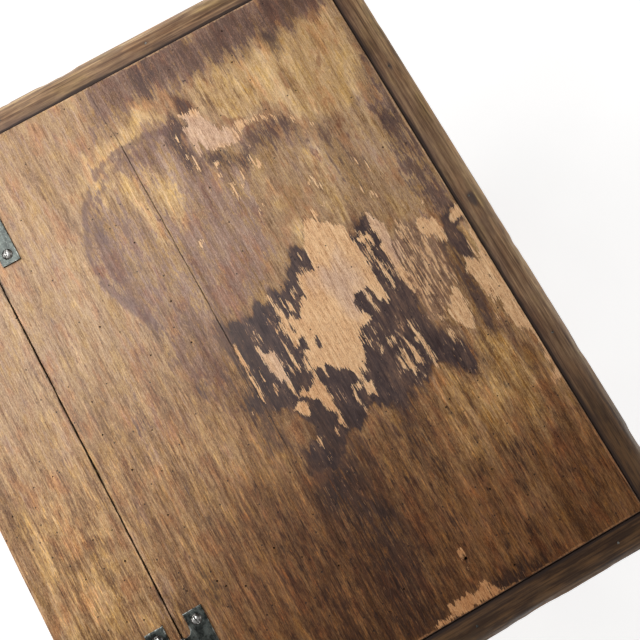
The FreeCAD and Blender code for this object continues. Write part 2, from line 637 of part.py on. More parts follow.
drw_bottom = box(-sx0 - 5, sx0 + 5, DF1 - 5, DRW_BACK_Y, BZ0, BZ1)

# cock bead let into the front's edges
BEAD = 3.0
BEAD_D = 9.0
bead_rebate = []
bead = []
bz0, bz1 = 387.0, 495.0


def bead_strip(x0, x1, z0, z1, axis):
    """Strip with a rounded nose standing 2.5 mm proud of the front."""
    y_tip = DF0 - 2.6
    if axis == "x":
        zc = (z0 + z1) / 2
        r = (z1 - z0) / 2
        return fuse([box(x0, x1, y_tip + r, DF0 + BEAD_D - 2.6, z0, z1), rod(r, (x0, y_tip + r, zc), (1, 0, 0), x1 - x0)])
    xc = (x0 + x1) / 2
    r = (x1 - x0) / 2
    return fuse([box(x0, x1, y_tip + r, DF0 + BEAD_D - 2.6, z0, z1), rod(r, (xc, y_tip + r, z0), (0, 0, 1), z1 - z0)])


def mitre(points):
    return flat([(x, -260, z) for x, z in points], (0, 60, 0))


H = DRW_HALF
bead_top = bead_strip(-H, H, bz1 - BEAD, bz1, "x").common(mitre([(-H, bz1), (H, bz1), (H - BEAD, bz1 - BEAD), (-H + BEAD, bz1 - BEAD)]))
bead_low = bead_strip(-H, H, bz0, bz0 + BEAD, "x").common(mitre([(-H, bz0), (H, bz0), (H - BEAD, bz0 + BEAD), (-H + BEAD, bz0 + BEAD)]))
bead_right = bead_strip(H - BEAD, H, bz0, bz1, "z").common(mitre([(H, bz0), (H, bz1), (H - BEAD, bz1 - BEAD), (H - BEAD, bz0 + BEAD)]))
bead_left = mirror_x(bead_right)
frame_rebate = box(-H - 1, H + 1, DF0 - 1, DF0 + BEAD_D - 2.6, bz0 - 1, bz1 + 1).cut(
    box(-H + BEAD, H - BEAD, DF0 - 2, DF0 + BEAD_D, bz0 + BEAD, bz1 - BEAD))
drw_front = drw_front.cut(frame_rebate)

# turned knobs with a tenon through the front
knob = turned((0, -22), [
    ("L", [(6.5, -22), (6.5, 0), (11.5, 0)]),
    ("A", [(12.2, 1.2), (11.2, 2.6)]),
    ("S", [(8.6, 6.0), (8.2, 9.5), (9.8, 13.5)]),
    ("S", [(14.0, 16.2), (17.2, 19.4), (18.0, 23.0), (16.6, 26.8), (12.5, 29.6), (6.5, 31.2), (0, 31.7)]),
])
knob = to_minus_y(knob)
knob_holes = [rod(6.5, (sx * KNOB_X, DF0 - 3, KNOB_Z), (0, 1, 0), 30) for sx in (-1, 1)]

# drawer lock: bolt rises into the rail above
DL_X = 28.0
DL_Z0, DL_Z1 = 452.0, 495.0
DL_Y0, DL_Y1 = DF1 - 12.5, DF1
DKZ = 466.0
drw_lock_pocket = box(-DL_X, DL_X, DL_Y0, DL_Y1, DL_Z0, DL_Z1)
drw_cover_pocket = box(-DL_X - 8, DL_X + 8, DL_Y1 - PL, DL_Y1, DL_Z0 - 2, DL_Z1)
drw_selv_pocket = box(-DL_X - 8, DL_X + 8, DL_Y0, DL_Y1, DL_Z1 - 2.0, DL_Z1)
drw_lock_case = box(-DL_X, DL_X, DL_Y0, DL_Y1 - PL, DL_Z0, DL_Z1).cut(
    box(-DL_X + PL, DL_X - PL, DL_Y0 + PL, DL_Y1, DL_Z0 + PL, DL_Z1 - 2.0))
drw_lock_case = fuse([drw_lock_case, box(-DL_X - 8, DL_X + 8, DL_Y0, DL_Y1, DL_Z1 - 2.0, DL_Z1)])
drw_lock_case = cut(drw_lock_case, [box(-8.2, 8.2, -225.7, -219.3, DL_Z1 - 6, DL_Z1 + 1)]
                    + keyhole(DKZ, DL_Y0 - 1, DL_Y0 + 3, 3.3, 3.2, 10.0))
drw_lock_cover = box(-DL_X - 8, DL_X + 8, DL_Y1 - PL, DL_Y1, DL_Z0 - 2, DL_Z1 - 2.0)
drw_lock_cover = fuse([drw_lock_cover, rod(1.55, (0, -234, DKZ), (0, 1, 0), 234 + DL_Y1 - 0.2)])
drw_screw_at = [(-DL_X - 4, 460), (DL_X + 4, 460), (-DL_X - 4, 487), (DL_X + 4, 487)]
drw_lock_screws = [screw_along_minus_y(x, DL_Y1, z, t) for (x, z), t in zip(drw_screw_at, (35, 10, 160, 95))]
drw_screw_holes = [rod(1.6, (x, DL_Y1 + 1, z), (0, -1, 0), 14) for x, z in drw_screw_at]
drw_lock_cover = cut(drw_lock_cover, drw_screw_holes)
drw_bolt = fuse([
    box(-8.0, 8.0, -225.5, -219.5, DL_Z1 - 14, DL_Z1 - 0.2),
    box(-14.0, 14.0, -225.5, -221.5, DL_Z1 - 19, DL_Z1 - 13),
])
bolt_mortise = box(-9, 9, -226.5, -218.5, DRAWER_Z1, DRAWER_Z1 + 9)
drw_esc = at(escutcheon(DKZ), 0, DF0, 0)
drw_key_cut = keyhole(DKZ, DF0 - 1, DL_Y0 + 1, 3.3, 3.2, 10.0)
drw_front = cut(drw_front, knob_holes + [drw_lock_pocket, drw_cover_pocket, drw_selv_pocket]
                + drw_key_cut + drw_screw_holes)

# ---------------------------------------------------------------------------
# last cuts
# ---------------------------------------------------------------------------
front_panel = cut(front_plain, [lock_pocket, cover_pocket, selvage_pocket, divider] + front_key_cut
                  + lock_screw_holes + pegs)
mid_rail = cut(mid_plain, [bolt_mortise] + pegs)
low_rail = cut(low_plain, pegs)
side_right = cut(side_right, pegs + [cross])
side_left = mirror_x(cut(fuse([box(SIDE_IN, SIDE_OUT, FRONT_IN_Y, REAR_IN_Y, BASE_Z, CASE_TOP)] + side_tenons), pegs))
back_lower = cut(back_lower, pegs + [divider])
back_upper = cut(back_upper, pegs + [divider] + down_nails)
well_bottom = cut(bottom, corner)
post_br_cut = cut(post_br, down_nails)

screw_holes_lid = [rod(2.0, (cx + s, CRACK_Y - SCREW_U, TOP_Z - 19), (0, 0, 1), 30)
                   for cx in (-HINGE_X, HINGE_X) for s in (-SCREW_S, 0.0, SCREW_S)]
screw_holes_fix = [rod(2.0, (cx + s, CRACK_Y + SCREW_U, TOP_Z - 19), (0, 0, 1), 30)
                   for cx in (-HINGE_X, HINGE_X) for s in (-SCREW_S, 0.0, SCREW_S)]

lid_front = cut(lid_front, front_nails + right_nails + left_nails + [strike_pocket] + strike_holes)
lid_rear = cut(lid_rear, right_nails + left_nails + screw_holes_lid)
rear_board = cut(rear_board, rear_right_nails + rear_left_nails + down_nails + screw_holes_fix)
# the nails' ends follow the moulding's curve
front_set = [n.common(fuse([mould_front, box(-320, 320, FRONT_EDGE_Y, 0, 800, TOP_Z)])) for n in front_nails]
right_set = [n.common(fuse([mould_right, box(200, PANEL_HALF, -260, 180, 800, TOP_Z)])) for n in right_nails]
left_set = [mirror_x(n) for n in right_set]
rear_right_set = [n.common(fuse([mould_rear_right, box(200, PANEL_HALF, 171, 270, 800, TOP_Z)])) for n in rear_right_nails]
rear_left_set = [mirror_x(n) for n in rear_right_set]
mould_front_c = cut(mould_front, front_nails)
mould_right_c = cut(mould_right, right_nails)
mould_rear_right_c = cut(mould_rear_right, rear_right_nails)

# ---------------------------------------------------------------------------
# nodes
# ---------------------------------------------------------------------------
node("post_front_right", post_fr)
node("post_front_left", mirror_x(post_fr))
node("post_rear_right", post_br_cut)
node("post_rear_left", mirror_x(post_br_cut))
node("side_panel_right", side_right)
node("side_panel_left", side_left)
node("front_panel", front_panel)
node("mid_rail", mid_rail)
node("lower_rail", low_rail)
node("back_board_lower", back_lower)
node("back_board_upper", back_upper)
node("tenon_pegs", *pegs)
node("well_bottom", well_bottom)
node("well_cleat", cleat)
node("well_divider", divider_cut)
node("well_cross_divider", cross)
node("drawer_runner_right", runner)
node("drawer_runner_left", mirror_x(runner))
node("drawer_guides", guide, mirror_x(guide))
node("drawer_kickers", kicker, mirror_x(kicker))
node("drawer_stops", stop, mirror_x(stop))
node("rear_top_board", rear_board)
node("rear_right_moulding", mould_rear_right_c)
node("rear_left_moulding", mirror_x(mould_rear_right_c))
node("rear_top_nails", *(down_nails + rear_right_set + rear_left_set))

node("lid_front_board", lid_front)
node("lid_rear_board", lid_rear)
node("lid_front_moulding", mould_front_c)
node("lid_right_moulding", mould_right_c)
node("lid_left_moulding", mirror_x(mould_right_c))
node("lid_moulding_nails", *(front_set + right_set + left_set))

node("hinge_right_lid_leaf", leaf(HINGE_X, -1, LID_KN, FIX_KN, PIN_R + PIN_CLEAR))
node("hinge_left_lid_leaf", leaf(-HINGE_X, -1, LID_KN, FIX_KN, PIN_R + PIN_CLEAR))
node("hinge_right_fixed_leaf", leaf(HINGE_X, 1, FIX_KN, LID_KN, PIN_R))
node("hinge_left_fixed_leaf", leaf(-HINGE_X, 1, FIX_KN, LID_KN, PIN_R))
node("hinge_pins", *pins)
node("lid_leaf_screws", *lid_screws)
node("fixed_leaf_screws", *fix_screws)

node("lid_lock_case", lock_case)
node("lid_lock_cover", lock_cover)
node("lid_lock_bolt", bolt)
node("lid_lock_spring", spring)
node("lid_lock_screws", *lock_screws)
node("lid_lock_escutcheon", lid_esc)
node("lid_lock_key", key_shape)
node("lid_strike_plate", strike)
node("lid_strike_screws", *strike_screws)

node("drawer_front", drw_front)
node("drawer_side_right", drw_side)
node("drawer_side_left", mirror_x(drw_side))
node("drawer_back", drw_back)
node("drawer_bottom", drw_bottom)
node("drawer_cock_bead", bead_top, bead_low, bead_right, bead_left)
node("drawer_knob_right", at(knob, KNOB_X, DF0, KNOB_Z))
node("drawer_knob_left", at(knob, -KNOB_X, DF0, KNOB_Z))
node("drawer_lock_case", drw_lock_case)
node("drawer_lock_cover", drw_lock_cover)
node("drawer_lock_bolt", drw_bolt)
node("drawer_lock_screws", *drw_lock_screws)
node("drawer_escutcheon", drw_esc)

for name, solids in NODES.items():
    shape = solids[0] if len(solids) == 1 else Part.makeCompound(solids)
    shape.exportStep(os.path.join("parts", name + ".step"))
print(len(NODES), "nodes,", sum(len(s) for s in NODES.values()), "solids")
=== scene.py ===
import json
import math

import bmesh
import bpy
import numpy as np
from mathutils import Matrix, Vector


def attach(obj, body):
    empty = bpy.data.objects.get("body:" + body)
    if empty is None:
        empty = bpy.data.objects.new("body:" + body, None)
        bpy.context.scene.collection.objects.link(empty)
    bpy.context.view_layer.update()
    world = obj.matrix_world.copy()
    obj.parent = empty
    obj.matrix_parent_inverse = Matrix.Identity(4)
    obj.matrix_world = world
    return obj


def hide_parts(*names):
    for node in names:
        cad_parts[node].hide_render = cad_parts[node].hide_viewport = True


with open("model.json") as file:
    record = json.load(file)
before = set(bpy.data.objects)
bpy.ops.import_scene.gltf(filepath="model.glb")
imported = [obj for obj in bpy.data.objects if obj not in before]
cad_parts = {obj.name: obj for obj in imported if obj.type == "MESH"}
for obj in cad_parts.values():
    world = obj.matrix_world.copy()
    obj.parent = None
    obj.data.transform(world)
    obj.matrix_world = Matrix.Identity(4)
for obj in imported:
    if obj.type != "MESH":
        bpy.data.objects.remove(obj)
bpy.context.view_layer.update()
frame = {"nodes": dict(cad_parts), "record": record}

NODES = frame["nodes"]
MM = 0.001

# ---------------------------------------------------------------------------
# sizes of the object that the new pieces repeat, in millimetres
# ---------------------------------------------------------------------------
TOP = 860.0
HALF = 300.0
MOULD_W = 30.0
FRONT_Y = -240.0
JOINT_Y = 9.0
CRACK_Y = 170.0
BACK_Y = 270.0
UNDER = 839.0


# ---------------------------------------------------------------------------
# numbers
# ---------------------------------------------------------------------------
def smooth(a, b, x):
    t = np.clip((x - a) / (b - a), 0.0, 1.0)
    return t * t * (3.0 - 2.0 * t)


def _hash(ix, iy, iz, seed):
    h = (ix * 374761393 + iy * 668265263 + iz * 1274126177 + seed * 974711) & 0xFFFFFFFF
    h = ((h ^ (h >> 13)) * 1103515245) & 0xFFFFFFFF
    h = (h ^ (h >> 16)) & 0xFFFFFF
    return h / float(0xFFFFFF)


def vnoise(x, y, z=0.0, seed=0):
    """Smooth value noise, 0 to 1, one cell per unit."""
    x, y, z = np.broadcast_arrays(np.asarray(x, float), np.asarray(y, float), np.asarray(z, float))
    fx, fy, fz = np.floor(x), np.floor(y), np.floor(z)
    ix, iy, iz = fx.astype(np.int64), fy.astype(np.int64), fz.astype(np.int64)
    tx, ty, tz = x - fx, y - fy, z - fz
    tx, ty, tz = (t * t * (3 - 2 * t) for t in (tx, ty, tz))
    out = 0.0
    for dx in (0, 1):
        for dy in (0, 1):
            for dz in (0, 1):
                w = (tx if dx else 1 - tx) * (ty if dy else 1 - ty) * (tz if dz else 1 - tz)
                out = out + w * _hash(ix + dx, iy + dy, iz + dz, seed)
    return out


def fbm(x, y, z=0.0, seed=0, octaves=3):
    out, amp, tot = 0.0, 1.0, 0.0
    for k in range(octaves):
        f = 2.0 ** k
        out = out + amp * vnoise(np.asarray(x) * f, np.asarray(y) * f, np.asarray(z) * f, seed + 31 * k)
        tot += amp
        amp *= 0.5
    return out / tot


def poly_distance(px, py, poly):
    """Signed distance to a closed outline, positive inside."""
    d2 = np.full(px.shape, 1e18)
    inside = np.zeros(px.shape, bool)
    n = len(poly)
    for i in range(n):
        ax, ay = poly[i]
        bx, by = poly[(i + 1) % n]
        ex, ey = bx - ax, by - ay
        l2 = ex * ex + ey * ey
        if l2 < 1e-9:
            continue
        t = np.clip(((px - ax) * ex + (py - ay) * ey) / l2, 0, 1)
        qx, qy = px - ax - t * ex, py - ay - t * ey
        d2 = np.minimum(d2, qx * qx + qy * qy)
        if ay != by:
            c = ((ay > py) != (by > py)) & (px < (bx - ax) * (py - ay) / (by - ay) + ax)
            inside ^= c
    d = np.sqrt(d2)
    return np.where(inside, d, -d)


def line_distance(px, py, pts):
    d2 = np.full(px.shape, 1e18)
    for (ax, ay), (bx, by) in zip(pts[:-1], pts[1:]):
        ex, ey = bx - ax, by - ay
        t = np.clip(((px - ax) * ex + (py - ay) * ey) / max(ex * ex + ey * ey, 1e-9), 0, 1)
        d2 = np.minimum(d2, (px - ax - t * ex) ** 2 + (py - ay - t * ey) ** 2)
    return np.sqrt(d2)


def near_poly(px, py, poly, reach):
    xs = [p[0] for p in poly]
    ys = [p[1] for p in poly]
    return (px > min(xs) - reach) & (px < max(xs) + reach) & (py > min(ys) - reach) & (py < max(ys) + reach)


def srgb(r, g, b, a=1.0):
    def f(c):
        c = c / 255.0
        return c / 12.92 if c <= 0.04045 else ((c + 0.055) / 1.055) ** 2.4
    return (f(r), f(g), f(b), a)


# ---------------------------------------------------------------------------
# meshes
# ---------------------------------------------------------------------------
def make_object(name, verts, faces, mats, body, nodes=(), attrs=None, mat_index=None, sharp=32.0):
    """verts in millimetres, rest frame. attrs: name -> value per vertex."""
    me = bpy.data.meshes.new(name)
    v = np.asarray(verts, float) * MM
    me.from_pydata(v.tolist(), [], [tuple(int(i) for i in f) for f in faces])
    for m in mats:
        me.materials.append(m)
    if mat_index is not None:
        me.polygons.foreach_set("material_index", np.asarray(mat_index, np.int32))
    for key, values in (attrs or {}).items():
        a = me.attributes.new(key, "FLOAT", "POINT")
        a.data.foreach_set("value", np.asarray(values, np.float32))
    me.shade_smooth()
    me.set_sharp_from_angle(angle=math.radians(sharp))
    me.update()
    ob = bpy.data.objects.new(name, me)
    bpy.context.scene.collection.objects.link(ob)
    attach(ob, body)
    if nodes:
        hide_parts(*nodes)
    return ob


def zipper(outer, ang_o, inner, ang_i):
    """Triangles between two rings of vertices round one centre, both sorted anticlockwise."""
    no, ni = len(outer), len(inner)
    k = int(np.argmin([abs((a - ang_o[0] + math.pi) % (2 * math.pi) - math.pi) for a in ang_i]))
    inner = list(inner[k:]) + list(inner[:k])
    ang_i = list(ang_i[k:]) + list(ang_i[:k])
    o = [((a - ang_o[0]) % (2 * math.pi)) for a in ang_o] + [2 * math.pi]
    i0 = (ang_i[0] - ang_o[0] + math.pi) % (2 * math.pi) - math.pi
    i_ = [((a - ang_i[0]) % (2 * math.pi)) + i0 for a in ang_i] + [2 * math.pi + i0]
    tris = []
    a = b = 0
    while a < no or b < ni:
        if b >= ni or (a < no and o[a + 1] <= i_[b + 1]):
            tris.append((outer[a % no], outer[(a + 1) % no], inner[b % ni]))
            a += 1
        else:
            tris.append((outer[a % no], inner[(b + 1) % ni], inner[b % ni]))
            b += 1
    return tris


def lines(lo, hi, step, ends=(0.0, 0.25, 0.6, 1.1)):
    """Grid lines from lo to hi, closer at both ends for a rounded arris."""
    n = max(2, int(round((hi - lo - 2 * ends[-1]) / step)))
    mid = np.linspace(lo + ends[-1], hi - ends[-1], n + 1)
    a = [lo + e for e in ends[:-1]]
    b = [hi - e for e in reversed(ends[:-1])]
    return np.array(a + list(mid) + b)


def slab(name, xs, ys, z_top, z_bot, height, fields, mats, body, nodes, holes=(), pocket=None, arris=None,
         shift=None, sharp=32.0):
    """Board with a dense upper face. height(x, y) gives the upper face's offset from z_top, arris(x, y) the
    arris radius, shift(x, y) moves points sideways near an edge, fields(x, y, z, kind) the finish."""
    nx, ny = len(xs), len(ys)
    gx, gy = np.meshgrid(xs, ys)
    px, py = gx.ravel(), gy.ravel()
    idx = np.arange(nx * ny).reshape(ny, nx)
    gone = np.zeros((ny - 1, nx - 1), bool)
    extra, faces = [], []
    n0 = nx * ny
    rings = []
    for (hx, hy, r) in holes:
        i0 = int(np.searchsorted(xs, hx - r - 0.35)) - 1
        i1 = int(np.searchsorted(xs, hx + r + 0.35))
        j0 = int(np.searchsorted(ys, hy - r - 0.35)) - 1
        j1 = int(np.searchsorted(ys, hy + r + 0.35))
        if i0 < 4 or j0 < 4 or i1 > nx - 5 or j1 > ny - 5 or gone[j0:j1, i0:i1].any():
            continue
        gone[j0:j1, i0:i1] = True
        loop = [idx[j0, i] for i in range(i0, i1)] + [idx[j, i1] for j in range(j0, j1)]
        loop += [idx[j1, i] for i in range(i1, i0, -1)] + [idx[j, i0] for j in range(j1, j0, -1)]
        n = 11
        ring = []
        ph = (hx * 7.3 + hy * 3.1) % 6.28
        for k in range(n):
            a = 2 * math.pi * k / n
            rr = r * (1.0 + 0.10 * math.sin(2 * a + ph) + 0.06 * math.sin(3 * a + 2 * ph))
            extra.append((hx + rr * math.cos(a), hy + rr * math.sin(a), 0.0, 0))
            ring.append(n0 + len(extra) - 1)
        lower = []
        for k in range(n):
            a = 2 * math.pi * k / n
            extra.append((hx + 0.88 * r * math.cos(a), hy + 0.88 * r * math.sin(a), -0.35, 1))
            lower.append(n0 + len(extra) - 1)
        deep = []
        for k in range(n):
            a = 2 * math.pi * k / n
            extra.append((hx + 0.8 * r * math.cos(a) + 0.5, hy + 0.8 * r * math.sin(a), -4.5, 2))
            deep.append(n0 + len(extra) - 1)
        rings.append((loop, ring, lower, deep, hx, hy))
    if extra:
        e = np.array(extra)
        px = np.concatenate([px, e[:, 0]])
        py = np.concatenate([py, e[:, 1]])
        dz = np.concatenate([np.zeros(n0), e[:, 2]])
        kind = np.concatenate([np.zeros(n0), e[:, 3]])
    else:
        dz, kind = np.zeros(n0), np.zeros(n0)
    for (loop, ring, lower, deep, hx, hy) in rings:
        ao = [math.atan2(py[q] - hy, px[q] - hx) for q in loop]
        ai = [math.atan2(py[q] - hy, px[q] - hx) for q in ring]
        faces += zipper(loop, ao, ring, ai)
        n = len(ring)
        for k in range(n):
            k2 = (k + 1) % n
            faces.append((ring[k], ring[k2], lower[k2], lower[k]))
            faces.append((lower[k], lower[k2], deep[k2], deep[k]))
        faces.append(tuple(deep))
    z = z_top + height(px, py) + dz
    # rounded arris
    x0, x1, y0, y1 = xs[0], xs[-1], ys[0], ys[-1]
    r = arris(px, py) if arris else np.full(px.shape, 0.6)
    dxe = np.minimum(px - x0, x1 - px)
    dye = np.minimum(py - y0, y1 - py)
    for d in (dxe, dye):
        t = np.clip(r - d, 0, None)
        z = z - (r - np.sqrt(np.clip(r * r - t * t, 0, None)))
    at = fields(px, py, kind)
    sx, sy = shift(px, py) if shift else (0.0, 0.0)
    vx, vy = px + sx, py + sy
    jj, ii = np.nonzero(~gone)
    q = np.stack([idx[jj, ii], idx[jj, ii + 1], idx[jj + 1, ii + 1], idx[jj + 1, ii]], 1)
    faces = [tuple(f) for f in q.tolist()] + faces
    n_top = len(faces)
    # sides
    rim = list(idx[0, :-1]) + list(idx[:-1, -1]) + list(idx[-1, :0:-1]) + list(idx[:0:-1, 0])
    V = [np.stack([vx, vy, z], 1)]
    count = len(vx)
    levels = [z_top - 3.5, z_top - 9.0, z_bot + 1.2, z_bot]
    prev = rim
    rows = []
    for lv in levels:
        inset = 0.5 if lv == z_bot else 0.0
        cx = np.clip(vx[rim], x0 + inset, x1 - inset)
        cy = np.clip(vy[rim], y0 - 1 + inset, y1 + 1 - inset)
        V.append(np.stack([cx, cy, np.full(len(rim), lv)], 1))
        cur = list(range(count, count + len(rim)))
        count += len(rim)
        m = len(rim)
        faces += [(prev[k], cur[k], cur[(k + 1) % m], prev[(k + 1) % m]) for k in range(m)]
        prev = cur
        rows.append(cur)
    n_side = len(faces)
    bottom = prev
    at_side = {k: [v[rim]] * len(levels) for k, v in at.items()}
    # underside, with a pocket if there is one
    m = len(rim)
    pos = {v: k for k, v in enumerate(rim)}

    def b_of(j, i):
        return bottom[pos[idx[j, i]]]

    if pocket is None:
        faces.append(tuple(reversed(bottom)))
    else:
        a0, a1, b0, b1, depth = pocket
        jb0 = int(np.argmin(abs(ys - b0)))
        jb1 = int(np.argmin(abs(ys - b1)))
        ins = [(a0, b0), (a1, b0), (a1, b1), (a0, b1)]
        V.append(np.array([(x, y, z_bot) for x, y in ins] + [(x, y, z_bot + depth) for x, y in ins]))
        c = list(range(count, count + 8))
        count += 8
        low = [b_of(0, i) for i in range(nx)]
        left0 = [b_of(j, 0) for j in range(1, jb0 + 1)]
        right0 = [b_of(j, nx - 1) for j in range(1, jb0 + 1)]
        faces.append(tuple(reversed(low + right0 + [c[1], c[0]] + left0[::-1])))
        midl = [b_of(j, 0) for j in range(jb0, jb1 + 1)]
        midr = [b_of(j, nx - 1) for j in range(jb0, jb1 + 1)]
        faces.append(tuple(reversed([c[0], c[3]] + midl[::-1])))
        faces.append(tuple(reversed([c[2], c[1]] + midr)))
        high = [b_of(ny - 1, i) for i in range(nx)]
        left1 = [b_of(j, 0) for j in range(jb1, ny - 1)]
        right1 = [b_of(j, nx - 1) for j in range(jb1, ny - 1)]
        faces.append(tuple(reversed([c[3], c[2]] + right1 + high[::-1] + left1[::-1])))
        for k in range(4):
            k2 = (k + 1) % 4
            faces.append((c[k2], c[k], c[k + 4], c[k2 + 4]))
        faces.append((c[4], c[7], c[6], c[5]))
    allv = np.concatenate(V)
    attrs = {}
    for k, v in at.items():
        parts = [v] + at_side[k]
        full = np.concatenate(parts)
        if len(full) < len(allv):
            full = np.concatenate([full, np.zeros(len(allv) - len(full))])
        attrs[k] = full
    mat_index = np.zeros(len(faces), int)
    mat_index[n_side:] = 1
    return make_object(name, allv, faces, mats, body, nodes, attrs, mat_index, sharp)

